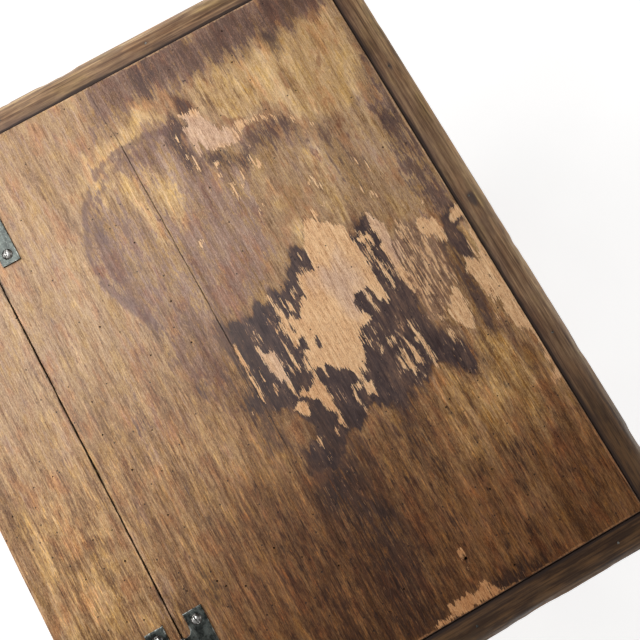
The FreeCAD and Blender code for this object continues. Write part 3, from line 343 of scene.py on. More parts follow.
# ---------------------------------------------------------------------------
# wear on the top, in millimetres from the middle of the crack between lid and
# rear board: x to the right, y towards the back (so the lid has y below 0)
# ---------------------------------------------------------------------------
# finish gone down to the wood
BARE = [
    [(-48.6, -219.3), (-45.9, -215.7), (-43.2, -214.3), (-36.1, -215.4), (-29.8, -218.2), (-28.9, -221.1), (-22.7, -222.5), (-17.3, -222.1), (-14.6, -219.3), (-3.9, -218.2), (5.4, -218.6), (6.4, -220.7), (0, -223.9), (-0.7, -227), (2.9, -228.9), (7.1, -231.8), (11.8, -235), (16.1, -237.9), (17.9, -240.7), (12.5, -242.5), (21.1, -242.9), (32.1, -243.9), (39.5, -246.4), (38.9, -248.9), (35, -250), (43.2, -251.8), (41.4, -253.9), (35.7, -255), (33.9, -258.2), (35.7, -262.1), (41.1, -263.6), (49.6, -264.3), (58.9, -264.6), (62.5, -267.9), (69.3, -270.2), (74.6, -272.5), (79.6, -275.7), (81.4, -278.6), (78.6, -282.5), (76.1, -286.1), (70.7, -289.6), (66.8, -292.9), (68.6, -295.7), (63.6, -298.6), (60.4, -302.1), (56.4, -305.4), (49.6, -307.1), (35.4, -307.9), (22.9, -309.6), (5, -309.3), (-9.3, -308.8), (-20, -308.8), (-27.1, -307.9), (-28.2, -305.7), (-22.7, -303.9), (-18.2, -300.7), (-11.4, -298.6), (-5.7, -296.8), (-5.7, -293.9), (-20, -295), (-30.7, -295.9), (-29.3, -293.8), (-20, -292.5), (-10.7, -292.1), (-5.7, -290.4), (-3.6, -287.5), (-5.7, -285.7), (-6.8, -282.5), (-8.6, -279.3), (-12.9, -279.8), (-18.6, -279.3), (-21.4, -281.4), (-25.4, -285), (-29.3, -286.8), (-33.9, -286.1), (-35, -283.2), (-32.5, -280.4), (-33.2, -276.8), (-34.3, -272.9), (-38.2, -270.7), (-45, -270), (-41.4, -268.2), (-48.6, -267.1), (-52.1, -264.6), (-57.5, -263.9), (-61.1, -261.8), (-65, -260), (-68.6, -258.2), (-71.8, -256.4), (-74.5, -255), (-68.2, -253.8), (-69.3, -252.5), (-77.1, -252.1), (-87.9, -252.1), (-93.2, -249.5), (-90.5, -246.8), (-80.7, -248.6), (-70, -246.8), (-61.4, -243.2), (-59.3, -238.9), (-61.1, -236.1), (-57.5, -233.2), (-52.9, -231.4), (-50.4, -228.6), (-51.2, -226.1), (-61.1, -224.3), (-53.9, -222.9), (-49.6, -222.1)],
    [(-47.7, -214.5), (-46.4, -211.8), (-43.2, -210.4), (-36.1, -211.1), (-30.7, -214.6), (-27.1, -217.7), (-30.7, -218.4), (-36.1, -215.7), (-43.2, -215)],
    [(-22.7, -211.1), (-12.9, -210.5), (5, -211.1), (12.1, -212.1), (22.9, -212.5), (27.3, -211.1), (31.8, -210.4), (33, -212.1), (30.9, -214.1), (22.9, -214.3), (15.7, -215.4), (8.9, -217.1), (3.2, -218), (-5.7, -216.8), (-14.6, -219.3), (-20, -215.7), (-22.7, -213.6)],
    [(-59.3, -191.6), (-55.7, -189.6), (-50.4, -188.6), (-42.9, -188.6), (-43.2, -186.1), (-40.4, -183.6), (-34.3, -182.9), (-29.8, -180.9), (-20, -180), (-12.9, -179.6), (-5.7, -179.3), (-1.8, -180.2), (-3, -181.4), (-8.4, -182.3), (-11.8, -183), (-12.9, -186.8), (-11.8, -188.6), (-14.6, -191.4), (-20, -192.5), (-27.1, -193.4), (-32.5, -193.2), (-36.1, -191.8), (-45, -192.1), (-53.9, -192.3)],
    [(-49.5, -176.1), (-43.2, -175.4), (-38.2, -176.4), (-39.6, -177.9), (-48.6, -177.7)],
    [(-48.9, -179.3), (-41.4, -179.1), (-39.3, -180), (-45, -180.4)],
    [(-35.2, -171.2), (-28.9, -170.2), (-24.6, -171.1), (-29.8, -172)],
    [(-53.9, -161.8), (-48.6, -161.1), (-36.1, -161.8), (-25.4, -162.1), (-24.8, -163.6), (-34.3, -163.2), (-41.4, -164.3), (-48.6, -163.6), (-51.2, -162.7)],
    [(-22.7, -162.3), (-12.9, -160.9), (-8.4, -160.4), (-3.9, -161.4), (3.2, -160.7), (8.9, -161.8), (10.4, -163.2), (3.2, -164.1), (-5.7, -163.6), (-12.9, -165), (-19.1, -164.6)],
    [(-72.1, -185), (-69.3, -181.1), (-67.9, -185), (-68.2, -188.6), (-66.1, -190.4), (-66.1, -193), (-71.8, -195), (-78.9, -194.1), (-83.6, -192.5), (-81.8, -189.5), (-76.4, -186.8)],
    [(-64.3, -193.6), (-62, -192.3), (-60.2, -195.7), (-58.2, -197.5), (-55.7, -199.3), (-60, -200.4), (-62, -202.9), (-60.2, -206.4), (-60, -210), (-55.7, -211.4), (-51.1, -212.7), (-45.9, -213.6), (-41.4, -213.9), (-48.6, -215.4), (-58.2, -215.7), (-61.1, -217.3), (-64.6, -218.6), (-71.8, -218.2), (-78.9, -218.2), (-86.1, -217.3), (-93.2, -218.2), (-100.4, -217), (-111.1, -216.4), (-110.2, -215), (-102.9, -214.8), (-102.1, -212.3), (-100.4, -211.4), (-96.8, -213.2), (-91.4, -214.5), (-88.2, -212.1), (-86.8, -210), (-82.5, -209.1), (-77.1, -208.6), (-72.9, -206.4), (-71.1, -202.9), (-68.2, -199.3), (-66.4, -195.7)],
    [(-112.5, -189.1), (-108.9, -188), (-103, -188.6), (-101.1, -190), (-109.3, -190.2)],
    [(-112.1, -205.9), (-106.6, -205), (-103.6, -206.1), (-109.3, -207)],
    [(-46.1, -197.7), (-40.5, -196.8), (-32.1, -197.5), (-35.2, -199.3), (-44.6, -199.1)],
    [(-45, -204.3), (-39.6, -202), (-30.7, -203.6), (-20, -202.9), (-8.9, -203.4), (-12.9, -204.8), (-23.6, -204.6), (-36.1, -205.9), (-43.9, -205.7)],
    [(-96.1, -237.9), (-91.4, -236.4), (-84.3, -237.1), (-76.6, -238), (-77.1, -239.6), (-87.9, -238.9), (-94.6, -238.9)],
    [(-107.5, -238.9), (-103, -238.4), (-98.2, -238.9), (-103, -239.8)],
    [(-82.9, -243.9), (-79.8, -242.5), (-76.8, -242.1), (-75, -243.6), (-77.9, -246.8), (-81.8, -247.9)],
    [(-98.9, -255), (-91.4, -251.1), (-82.1, -252.5), (-80.7, -255.4), (-82.5, -257.9), (-89.6, -256.8), (-96.8, -255.7)],
    [(-49.5, -267.5), (-43.2, -266.8), (-38.6, -268.2), (-43.2, -269.1)],
    [(-53.9, -272.1), (-45, -271.2), (-38.6, -272.1), (-43.2, -273.4), (-50.4, -273.2)],
    [(-70, -274.3), (-67.9, -274.3), (-61.1, -278.6), (-58.2, -280.7), (-66.4, -279.8), (-64.3, -278.4)],
    [(-90.7, -289.6), (-87.9, -287.3), (-78.9, -288.2), (-69.6, -287.5), (-70.7, -289.1), (-78.9, -290), (-83.6, -291.1), (-87.9, -290.5)],
    [(-66.4, -288.4), (-59.3, -287.3), (-53.6, -288.2), (-57.5, -289.3), (-64.6, -289.1)],
    [(-98.9, -296.2), (-93.2, -293.6), (-84.3, -292.1), (-75.4, -292.9), (-70, -294.3), (-71.8, -296.8), (-84.3, -297.3), (-91.4, -298.6), (-96.8, -297.7)],
    [(-66.4, -294.1), (-57.5, -292.1), (-53.6, -293.4), (-61.1, -295.9)],
    [(-95.4, -305.7), (-90.5, -303.9), (-88.2, -301.1), (-80.7, -302.5), (-70, -300.5), (-64.3, -302), (-66.4, -303.9), (-75.4, -305.5), (-82.5, -308), (-91.4, -307)],
    [(-102.1, -315.9), (-93.2, -315.4), (-86.1, -314.5), (-77.1, -315.4), (-66.4, -312.7), (-48.2, -313.2), (-47.9, -314.3), (-61.1, -314.8), (-66.4, -317.1), (-78.9, -316.8), (-93.2, -317.7), (-101.2, -317.3)],
    [(-75.4, -312.5), (-70.9, -310.4), (-66.4, -311.8), (-70, -313.6)],
    [(-20, -318.6), (-9.3, -318.2), (5, -316.8), (15.7, -315.4), (31.8, -315.7), (35.4, -313.2), (36.8, -310.7), (40, -310.7), (41.1, -313.6), (48.2, -315.4), (46.1, -317), (38.9, -318.2), (41.4, -321.4), (37.5, -323.8), (30, -322.9), (22.1, -322.9), (22.9, -321.6), (31.8, -321.4), (34.6, -318.6), (26.4, -317.9), (15.7, -317.9), (5, -318.6), (-5.7, -319.6), (-12.9, -320)],
    [(-5.7, -323.8), (0, -322.5), (5.4, -322.5), (1.4, -323.9)],
    [(47.9, -256.6), (52.3, -256.1), (57.1, -256.8), (51.8, -257.7)],
    [(-2.5, -184.6), (3.2, -183.4), (10.4, -184.1), (5, -185.4)],
    [(-0.7, -187.9), (3.2, -187), (6.4, -188), (2.9, -188.9)],
    [(-2.1, -205), (-0.7, -202), (3.2, -202.9), (1.8, -206.4)],
    [(-5.7, -209.3), (1.4, -207.3), (7.1, -208.6), (3.2, -209.8)],
    [(6.4, -225.7), (11.8, -223.4), (21.4, -223.9), (20.2, -226.1), (12.5, -227.1), (7.9, -227.1)],
    [(22.9, -219.6), (27.5, -219.3), (28.2, -221.4), (22, -221.8), (15.7, -221.1)],
    [(17.5, -235.7), (22.9, -235), (27.3, -236.1), (22, -237.1)],
    [(21.1, -231.8), (25.5, -231.4), (26.8, -232.9), (22.9, -233.6)],
    [(70.7, -288.9), (76.4, -286.4), (83.6, -286.8), (85.7, -291.4), (80.4, -292.3), (74.6, -289.6)],
    [(83.6, -298.6), (84.6, -297.5), (85.7, -300.7), (84.6, -301.4)],
    [(89.3, -302.9), (101.4, -303.4), (111.4, -303.9), (112.5, -302.3), (109.5, -299.6), (106.1, -297.5), (110.4, -297.9), (113.9, -302.5), (112.1, -304.6), (100.5, -304.5)],
    [(96.1, -307.3), (100, -306.4), (102.1, -307.1), (99.3, -307.9)],
    [(100.5, -176.6), (105.4, -178.9), (110, -181.2), (113.2, -183.9), (110.7, -185.2), (106.1, -182), (101.4, -177.9)],
    [(-56.4, -147.9), (-54.6, -147.5), (-53.6, -148.6), (-55.4, -149.3)],
    [(-30.7, -331.4), (-20, -329.5), (-9.3, -327), (5, -327.7), (21.1, -325.9), (23.9, -326.8), (24.6, -329.6), (35.4, -329.6), (40.7, -326.8), (46.1, -329.3), (58.9, -330.4), (56.8, -333.2), (49.6, -333.9), (47.9, -337.5), (40.7, -340.2), (30, -339.6), (19.3, -338.4), (17.5, -335.9), (5, -335.7), (-2.1, -333.9), (-12.9, -334.8), (-20, -333.2), (-28.9, -332.7)],
    [(-86.4, -342.1), (-81.8, -340.7), (-76.1, -342.5), (-77.1, -344.6), (-83.9, -344.3)],
    [(-86.1, -358.2), (-82.9, -355.7), (-77.1, -353.6), (-71.8, -351.4), (-66.4, -350), (-61.1, -350.9), (-57.9, -353.9), (-53, -357.3), (-48.6, -360.7), (-43.9, -364.6), (-45.9, -367.9), (-50.4, -369.3), (-59.3, -369.5), (-66.4, -368.4), (-75.4, -367.9), (-82.5, -366.1), (-86.8, -362.9)],
    [(-6.1, -382.5), (-2.1, -379.6), (5, -378.8), (8.6, -375.2), (6.8, -371.8), (12.1, -368.8), (15.7, -366.4), (21.1, -364.6), (26.8, -367.1), (28.6, -371.4), (26.8, -376.8), (22.9, -378.8), (21.1, -382.1), (22.1, -384.8), (17.5, -386.1), (8.6, -385.4), (1.4, -384.6)],
    [(-107.1, -407.9), (-102.1, -402.9), (-108.9, -400), (-102.1, -397.9), (-93.2, -397.9), (-87.9, -394.8), (-78.6, -397.5), (-71.8, -397.5), (-77.1, -393.2), (-73.6, -391.1), (-64.3, -392.9), (-66.4, -390.4), (-59.3, -388.6), (-48.6, -387.5), (-43.2, -385.7), (-36.1, -383.9), (-30.7, -387.5), (-23.2, -391.1), (-25.4, -393.9), (-30.7, -396.4), (-34.3, -399.3), (-32.5, -401.8), (-30.7, -402.9), (-20, -405.4), (-12.9, -404.6), (-5.7, -407.1), (-0.4, -408.2), (8.6, -408.6), (16.1, -409.3), (16.1, -411.1), (-48.6, -411.1), (-105.7, -411.1)],
    [(-29.8, -400.2), (-20, -399.1), (-9.3, -399.1), (-6.4, -400), (-20, -400.5), (-28.6, -401.1)],
    [(9.3, -397.5), (12.1, -395.5), (16.8, -397.3), (18.6, -399.3), (23.2, -401.8), (20.4, -404.5), (23.2, -407.3), (25, -411.1), (11.8, -411.1), (10, -405.4)],
    [(77.9, -408.8), (85.4, -408), (92.1, -409.1), (85.4, -410.4), (78.6, -410.4)],
    [(-91.4, -387.1), (-88.2, -386.1), (-85, -387.1), (-87.9, -388)],
    [(29.1, -410), (40.7, -409.3), (65.7, -409.6), (76.4, -409.5), (76.4, -410.5), (30, -410.7)],
    [(77.9, -338.9), (81.8, -338.2), (84.3, -339.3), (80.7, -340.4)],
    [(65.7, -345.7), (69.3, -343.8), (75.7, -343.9), (72.9, -345.4), (69.3, -346.8)],
    [(66.6, -348.2), (70.2, -346.8), (72.9, -347.5), (69.3, -349.1)],
    [(88.9, -355.4), (94.3, -354.1), (104.3, -355), (96.1, -356.1)],
    [(76.4, -351.2), (80.9, -350.7), (81.8, -352), (78.2, -352.1)],
    [(103.2, -348.2), (108.6, -347.1), (112.1, -348.6), (107.1, -349.5)],
    [(36.2, -380.7), (39.3, -380.4), (40, -383.2), (37.9, -383.2)],
    [(184.5, -224.6), (187.1, -222.9), (194.3, -221.6), (201.4, -220.4), (208.6, -220.7), (212.9, -219.5), (216.1, -217.9), (217.1, -219.8), (214.8, -223.4), (215.7, -226.1), (221.1, -227), (223.9, -226.1), (228.2, -223.4), (231.4, -223.2), (229.3, -227.9), (227.3, -231.4), (230, -235), (230.9, -237.1), (226.4, -238.8), (222, -241.2), (215.7, -242.5), (212.1, -245), (208.6, -246.6), (203.2, -249.3), (198.6, -252.1), (199.3, -253.9), (197, -258.2), (194.3, -261.8), (187.1, -262.9), (181.8, -261.8), (177.1, -259.1), (178.2, -255.7), (181.8, -252.9), (180, -249.3), (181.8, -246.8), (180, -240.4), (182.7, -235.9), (187.1, -231.4), (192.5, -228.8), (196.4, -226.1), (191.1, -224.3), (187.1, -225.4)],
    [(186.8, -265.4), (194.3, -264.5), (198.6, -265.4), (199.3, -268.9), (196.1, -271.8), (197.1, -274.3), (192.1, -277.1), (190.7, -273.6), (188.2, -274.3), (187.1, -268.9), (184.5, -266.8)],
    [(188.6, -277.1), (194.3, -275.4), (196.4, -277.1), (193.2, -279.8)],
    [(187.9, -281.8), (192.9, -281.4), (193.6, -285.7), (188.9, -285.2)],
    [(189.3, -287.9), (195.4, -286.8), (192.5, -290.5)],
    [(187.1, -292.3), (193.6, -290.4), (190.7, -293.2)],
    [(183.2, -295), (188.2, -293.6), (192.1, -295.4), (185.4, -296.8)],
    [(180, -302.1), (185.4, -300.2), (187.5, -298.9), (187.1, -301.1), (181.8, -303.2)],
    [(128.9, -233.4), (137.1, -232.5), (147.1, -233.2), (146.1, -235.9), (131.8, -235.2)],
    [(155, -228.9), (157.9, -226.8), (160.7, -227.9), (158.9, -230.5)],
    [(165.7, -228.9), (168.6, -230), (173.2, -233.2), (170, -233.6)],
    [(171.1, -215), (180, -214.1), (189.3, -215), (187.1, -215.9), (172.9, -216.1)],
    [(183.6, -223), (191.1, -222.1), (198.2, -223.9), (190.7, -224.8)],
    [(185.4, -209.3), (188.2, -208.2), (191.1, -210), (187.9, -210.9)],
    [(206.4, -210.4), (210.4, -208.6), (212.5, -209.6), (210.7, -212.1)],
    [(223.9, -214.6), (227.5, -213.9), (230, -215.7), (226.1, -216.4)],
    [(143.4, -265.4), (148.2, -264.5), (151.8, -265.4), (153.6, -268), (148.9, -270), (145.7, -268.2)],
    [(151.1, -262.1), (158.6, -261.6), (162.5, -262.5), (155, -263.8)],
    [(168.4, -266.4), (173.2, -267.1), (170.4, -268.6), (168.2, -267.9)],
    [(140.7, -247.7), (145.4, -246.8), (150.4, -247.9), (144.3, -248.4)],
    [(137.5, -243.9), (139.6, -242.5), (141.1, -244.6), (138.9, -245.7)],
    [(106.8, -244.8), (110.7, -243.9), (111.8, -245.4), (108.6, -246.1)],
    [(110, -250.4), (113.9, -249.8), (114.6, -251.4), (111.4, -251.8)],
    [(157.9, -331.1), (160.4, -328.9), (162.5, -329.3), (160.4, -331.8)],
    [(169.3, -316.4), (174.6, -315.7), (176.4, -317.1), (172, -317.9)],
    [(-298.9, -198.4), (-295.5, -197.1), (-294.5, -202.9), (-294.5, -211.8), (-295, -215.5), (-286.4, -216.2), (-285.9, -218.9), (-289.3, -221.6), (-285.5, -224.3), (-285.9, -231.4), (-283.9, -235), (-284.6, -238.6), (-289.6, -241.2), (-288.2, -245.7), (-284.6, -249.3), (-283.6, -254.6), (-285.4, -257.5), (-290.2, -260.4), (-292.9, -262.1), (-296.1, -263.9), (-298.9, -268.2)],
    [(-268.8, -248.2), (-265, -247.1), (-263.2, -247.9), (-265, -249.3)],
    [(-258.9, -248.2), (-256.1, -246.6), (-249.6, -246.6), (-247.9, -249.3), (-253.2, -252.1), (-256.4, -251.4)],
    [(-127.7, -188.8), (-124.1, -187.9), (-121.1, -188.6), (-124.1, -190)],
    [(-112.9, -188.9), (-107.1, -188.2), (-102.9, -189.1), (-108.9, -190)],
    [(-112.5, -205.7), (-108, -205), (-103.9, -205.9), (-109.8, -206.6)],
    [(-168.2, -400), (-162.5, -399.3), (-160.4, -399.6), (-157.9, -403.9), (-151.8, -407.3), (-149.6, -408.2), (-146.4, -405), (-140.7, -404.6), (-133.6, -407.5), (-121.4, -409.3), (-112.9, -407.5), (-110.7, -406.1), (-105.4, -401.4), (-100, -399.3), (-100, -410.7), (-160.7, -410.7)],
]

BARE_HOLES = [
    [(-34.3, -231.4), (-31.1, -229.3), (-27.1, -229.8), (-22, -231.8), (-22.7, -234.6), (-28, -235.2), (-32.5, -233.6)],
    [(-57.1, -401.8), (-53.9, -400.7), (-50.4, -401.8), (-53.6, -403.2)],
    [(-29.8, -218.6), (-23.6, -218.2), (-16.8, -219.6), (-17.5, -222.3), (-22.7, -222.3), (-29.3, -221.1)],
    [(-297.5, -252.9), (-291.1, -254.6), (-284.6, -257.5), (-285, -258.6), (-292.9, -255.7), (-297.9, -254.3)],
]

# dense dark finish: strength, softness, outline
DARK = [
    (0.97, 4, [(-126, -168), (-108, -174), (-98, -188), (-86, -192), (-64, -178), (-60, -164), (-40, -163), (-8, -163), (24, -165),
               (30, -182), (33, -205), (40, -213), (33, -228), (46, -243), (62, -252), (66, -262), (40, -275), (58, -305),
               (50, -312), (64, -322), (56, -330), (20, -334), (-20, -332), (-60, -331), (-76, -335), (-88, -347), (-112, -351),
               (-116, -343), (-104, -330), (-103, -300), (-107, -270), (-110, -240), (-114, -218), (-122, -205), (-130, -190)]),
    (0.55, 6, [(-62, -165), (-60, -148), (-48, -136), (-36, -138), (-42, -152), (-38, -165)]),
    (0.35, 5, [(-28, -114), (-12, -112), (-10, -124), (-26, -126)]),
    (0.30, 8, [(-38, -134), (-20, -128), (-8, -136), (6, -130), (10, -142), (-14, -150), (-36, -150)]),
    (0.98, 2.5, [(-34, -388), (-18, -386), (6, -383), (14, -388), (22, -390), (26, -400), (24, -411), (8, -411), (6, -398),
                 (-6, -402), (-14, -400), (-30, -396)]),
    (0.50, 8, [(20, -380), (60, -377), (110, -381), (134, -388), (134, -413), (20, -413)]),
    (0.42, 8, [(120, -384), (180, -391), (204, -400), (200, -413), (120, -413)]),
    (0.42, 6, [(60, -333), (80, -328), (150, -325), (168, -316), (166, -330), (154, -346), (130, -350), (108, -359), (92, -358),
               (80, -350), (66, -343)]),
    (0.50, 7, [(150, -318), (172, -318), (184, -300), (186, -280), (180, -266), (162, -270), (154, -290)]),
    (0.60, 4, [(154, -262), (150, -250), (158, -236), (174, -222), (184, -226), (177, -240), (172, -250), (178, -263), (164, -267)]),
    (0.60, 4, [(172, -203), (200, -198), (214, -200), (228, -206), (239, -214), (233, -222), (214, -227), (204, -218), (190, -219),
               (170, -223), (164, -214)]),
    (0.62, 2.5, [(228, -222), (240, -222), (250, -226), (254, -233), (246, -238), (228, -240), (224, -236)]),
    (0.60, 13, [(-304, -158), (-262, -157), (-230, -164), (-180, -170), (-150, -178), (-128, -184), (-112, -200), (-124, -222),
               (-180, -213), (-240, -217), (-262, -213), (-304, -202)]),
    (0.30, 13, [(-304, -196), (-262, -208), (-240, -212), (-180, -210), (-116, -220), (-114, -264), (-160, -264), (-200, -260),
                (-240, -264), (-304, -266)]),
    (0.30, 14, [(-304, -120), (-240, -122), (-170, -140), (-120, -150), (-100, -172), (-150, -180), (-230, -168), (-304, -160)]),
    (0.37, 14, [(-304, -92), (-240, -94), (-180, -100), (-128, -118), (-110, -138), (-130, -148), (-200, -146), (-304, -144)]),
    (0.50, 8, [(-172, -158), (-150, -162), (-132, -174), (-128, -196), (-150, -198), (-168, -184)]),
    (0.34, 12, [(-236, -190), (-180, -192), (-168, -212), (-186, -228), (-232, -226), (-246, -206)]),
    (0.55, 5, [(-106, -322), (-66, -326), (-64, -344), (-92, -350), (-110, -342)]),
    (0.40, 7, [(-304, -262), (-284, -264), (-280, -300), (-304, -306)]),
    (0.40, 6, [(-236, -336), (-212, -331), (-182, -329), (-166, -337), (-188, -344), (-200, -351), (-208, -353), (-228, -347)]),
    (0.42, 6, [(-208, -260), (-170, -258), (-120, -258), (-112, -280), (-150, -290), (-190, -284), (-214, -274)]),
    (0.50, 12, [(252, -186), (258, -200), (260, -240), (256, -270), (246, -290), (252, -330), (254, -372), (264, -412), (304, -412), (304, -190),
               (282, -186)]),
    (0.45, 4, [(228, -333), (245, -328), (262, -327), (262, -345), (240, -343)]),
    (0.25, 4, [(256, -200), (304, -202), (304, -226), (266, -222)]),
    (0.34, 4, [(-184, -391), (-120, -393), (-100, -395), (-72, -389), (-92, -383), (-130, -384)]),
    (0.52, 10, [(-96, -142), (-60, -146), (-20, -150), (34, -152), (36, -166), (-60, -168), (-104, -170)]),
    (0.26, 10, [(228, -134), (262, -140), (304, -150), (304, -182), (262, -176), (236, -160)]),
    (0.62, 4, [(-112, -380), (-92, -371), (-40, -371), (0, -373), (6, -384), (-30, -388), (-60, -387)]),
    (0.50, 4, [(-304, -262), (-290, -262), (-283, -280), (-288, -320), (-304, -330)]),
    (0.55, 5, [(-118, -262), (-104, -262), (-106, -300), (-116, -300), (-122, -280)]),
    (0.35, 8, [(-110, -330), (-100, -356), (-90, -366), (-120, -372), (-140, -350), (-126, -336)]),
    (0.30, 5, [(-118, -62), (-100, -56), (-70, -62), (-86, -70)]),
    (0.30, 6, [(-24, -42), (-4, -46), (0, -58), (-26, -60)]),
    (0.20, 6, [(-170, -4), (-150, -2), (-146, -24), (-172, -34), (-178, -18)]),
    (0.14, 14, [(-304, 60), (-220, 70), (-180, 30), (-178, -40), (-240, -40), (-304, -30)]),
]
# purple-brown stain under the finish
STAIN = [
    (0.46, 12, [(-60, -140), (-30, -124), (0, -114), (40, -106), (75, -99), (92, -92), (120, -84), (165, -86), (190, -96), (205, -112),
               (220, -130), (229, -150), (227, -190), (222, -216), (180, -216), (120, -224), (60, -236), (40, -230), (30, -200),
               (26, -165), (-30, -152)]),
    (0.42, 12, [(60, -196), (170, -196), (232, -206), (236, -222), (200, -224), (176, -240), (176, -262), (150, -264), (100, -252),
                (60, -240)]),
    (0.90, 9, [(236, -136), (262, -146), (262, -240), (258, -330), (256, -372), (264, -412), (304, -412), (304, -160)]),
    (0.50, 8, [(60, -330), (150, -322), (172, -312), (188, -290), (184, -266), (160, -268), (150, -290), (120, -318)]),
    (0.55, 8, [(20, -378), (134, -384), (204, -400), (204, -412), (20, -412)]),
    (0.50, 8, [(-180, 4), (-176, -4), (-150, -12), (-140, -2), (-150, 6), (-170, 12)]),
    (0.35, 10, [(-60, -20), (0, -30), (60, -60), (40, -76), (-20, -70), (-70, -50)]),
    (0.42, 8, [(96, -92), (150, -86), (196, -100), (222, -128), (206, -136), (170, -112), (120, -112), (92, -118), (60, -116)]),
    (0.50, 7, [(200, -160), (224, -150), (229, -186), (236, -206), (214, -206), (196, -192)]),
    (0.30, 8, [(-40, -120), (40, -112), (60, -124), (40, -150), (-50, -156)]),
]
# brown haze over the left part, beyond the even darkening: darker finish and painted shade
SHADE = [
    (0.42, 14, [(-304, -84), (-190, -86), (-160, -110), (-150, -144), (-304, -144)]),
    (0.34, 9, [(-200, -126), (-134, -126), (-134, -146), (-200, -146)]),
    (0.30, 6, [(240, -186), (262, -186), (262, -206), (240, -206)]),
    (0.20, 10, [(160, -346), (300, -346), (300, -386), (160, -386)]),
    (0.26, 6, [(-110, -186), (-40, -190), (-40, -222), (-110, -222)]),
    (0.90, 9, [(-304, -166), (-240, -166), (-196, -170), (-186, -186), (-240, -186), (-304, -190)]),
    (0.56, 10, [(-304, -116), (-200, -118), (-170, -128), (-160, -148), (-304, -146)]),
    (0.34, 9, [(-134, -124), (-50, -128), (-40, -142), (-134, -146)]),
    (0.66, 12, [(-270, -46), (-222, -52), (-216, -100), (-236, -122), (-270, -122)]),
    (0.74, 20, [(-304, -74), (-220, -80), (-150, -80), (-100, -92), (-88, -110), (-100, -132), (-110, -166), (-140, -172), (-304, -166)]),
    (0.42, 16, [(-110, -120), (-60, -130), (-20, -138), (34, -146), (40, -168), (-60, -170), (-110, -176)]),
    (0.30, 12, [(-200, -20), (-110, -22), (-90, -46), (-200, -50)]),
    (0.20, 14, [(-120, -6), (60, -8), (56, -46), (-20, -56), (-120, -56)]),
    (0.26, 10, [(-118, -176), (-40, -184), (-44, -200), (-104, -226), (-120, -226)]),
    (0.60, 10, [(-304, -232), (-284, -236), (-278, -280), (-284, -330), (-304, -330)]),
    (0.40, 16, [(-240, -40), (-170, -44), (-120, -60), (-100, -90), (-240, -100)]),
    (0.40, 12, [(-120, -180), (-104, -240), (-106, -330), (-150, -330), (-170, -240), (-160, -180)]),
    (0.20, 10, [(-118, -376), (-60, -376), (-50, -414), (-150, -414), (-140, -390)]),
    (0.55, 5, [(-200, -389), (-120, -391), (-120, -402), (-200, -402)]),
    (0.50, 26, [(-304, -130), (-190, -136), (-130, -180), (-140, -250), (-220, -280), (-304, -270)]),
    (0.60, 16, [(-304, -140), (-250, -146), (-240, -210), (-304, -214)]),
    (0.30, 8, [(-60, -166), (30, -166), (30, -180), (-60, -180)]),
    (0.25, 18, [(-80, -90), (-30, -84), (20, -100), (40, -130), (-40, -150)]),
]
# where the left end is less dark
PALER = [
    (0.56, 7, [(-204, -366), (-118, -366), (-112, -384), (-204, -386)]),
    (0.20, 12, [(-262, -188), (-184, -190), (-180, -222), (-262, -222)]),
    (0.18, 7, [(-256, -308), (-190, -306), (-130, -326), (-118, -346), (-256, -346)]),
]
# darker rim where the wet stopped: strength, width, line
TIDE = [
    (0.34, 11, [(-60, -146), (-30, -130), (0, -120), (40, -112), (76, -104)]),
    (0.62, 6, [(70, -104), (92, -93), (118, -86), (150, -86), (168, -91), (186, -99), (200, -110)]),
    (0.70, 6, [(200, -110), (211, -120), (220, -133), (226, -150), (228, -185), (224, -204)]),
    (0.45, 9, [(110, -100), (140, -97), (172, -104), (196, -118), (212, -138), (217, -160), (216, -190)]),
    (0.40, 7, [(-56, -150), (-44, -137), (-28, -127), (-18, -120)]),
    (0.30, 5, [(60, -112), (84, -104), (100, -104), (130, -112)]),
    (0.35, 4, [(238, -214), (252, -222), (256, -236), (262, -260)]),
    (0.30, 3, [(150, -347), (158, -334), (168, -322), (184, -306), (190, -290)]),
    (0.25, 4, [(156, -350), (158, -380), (164, -398)]),
]
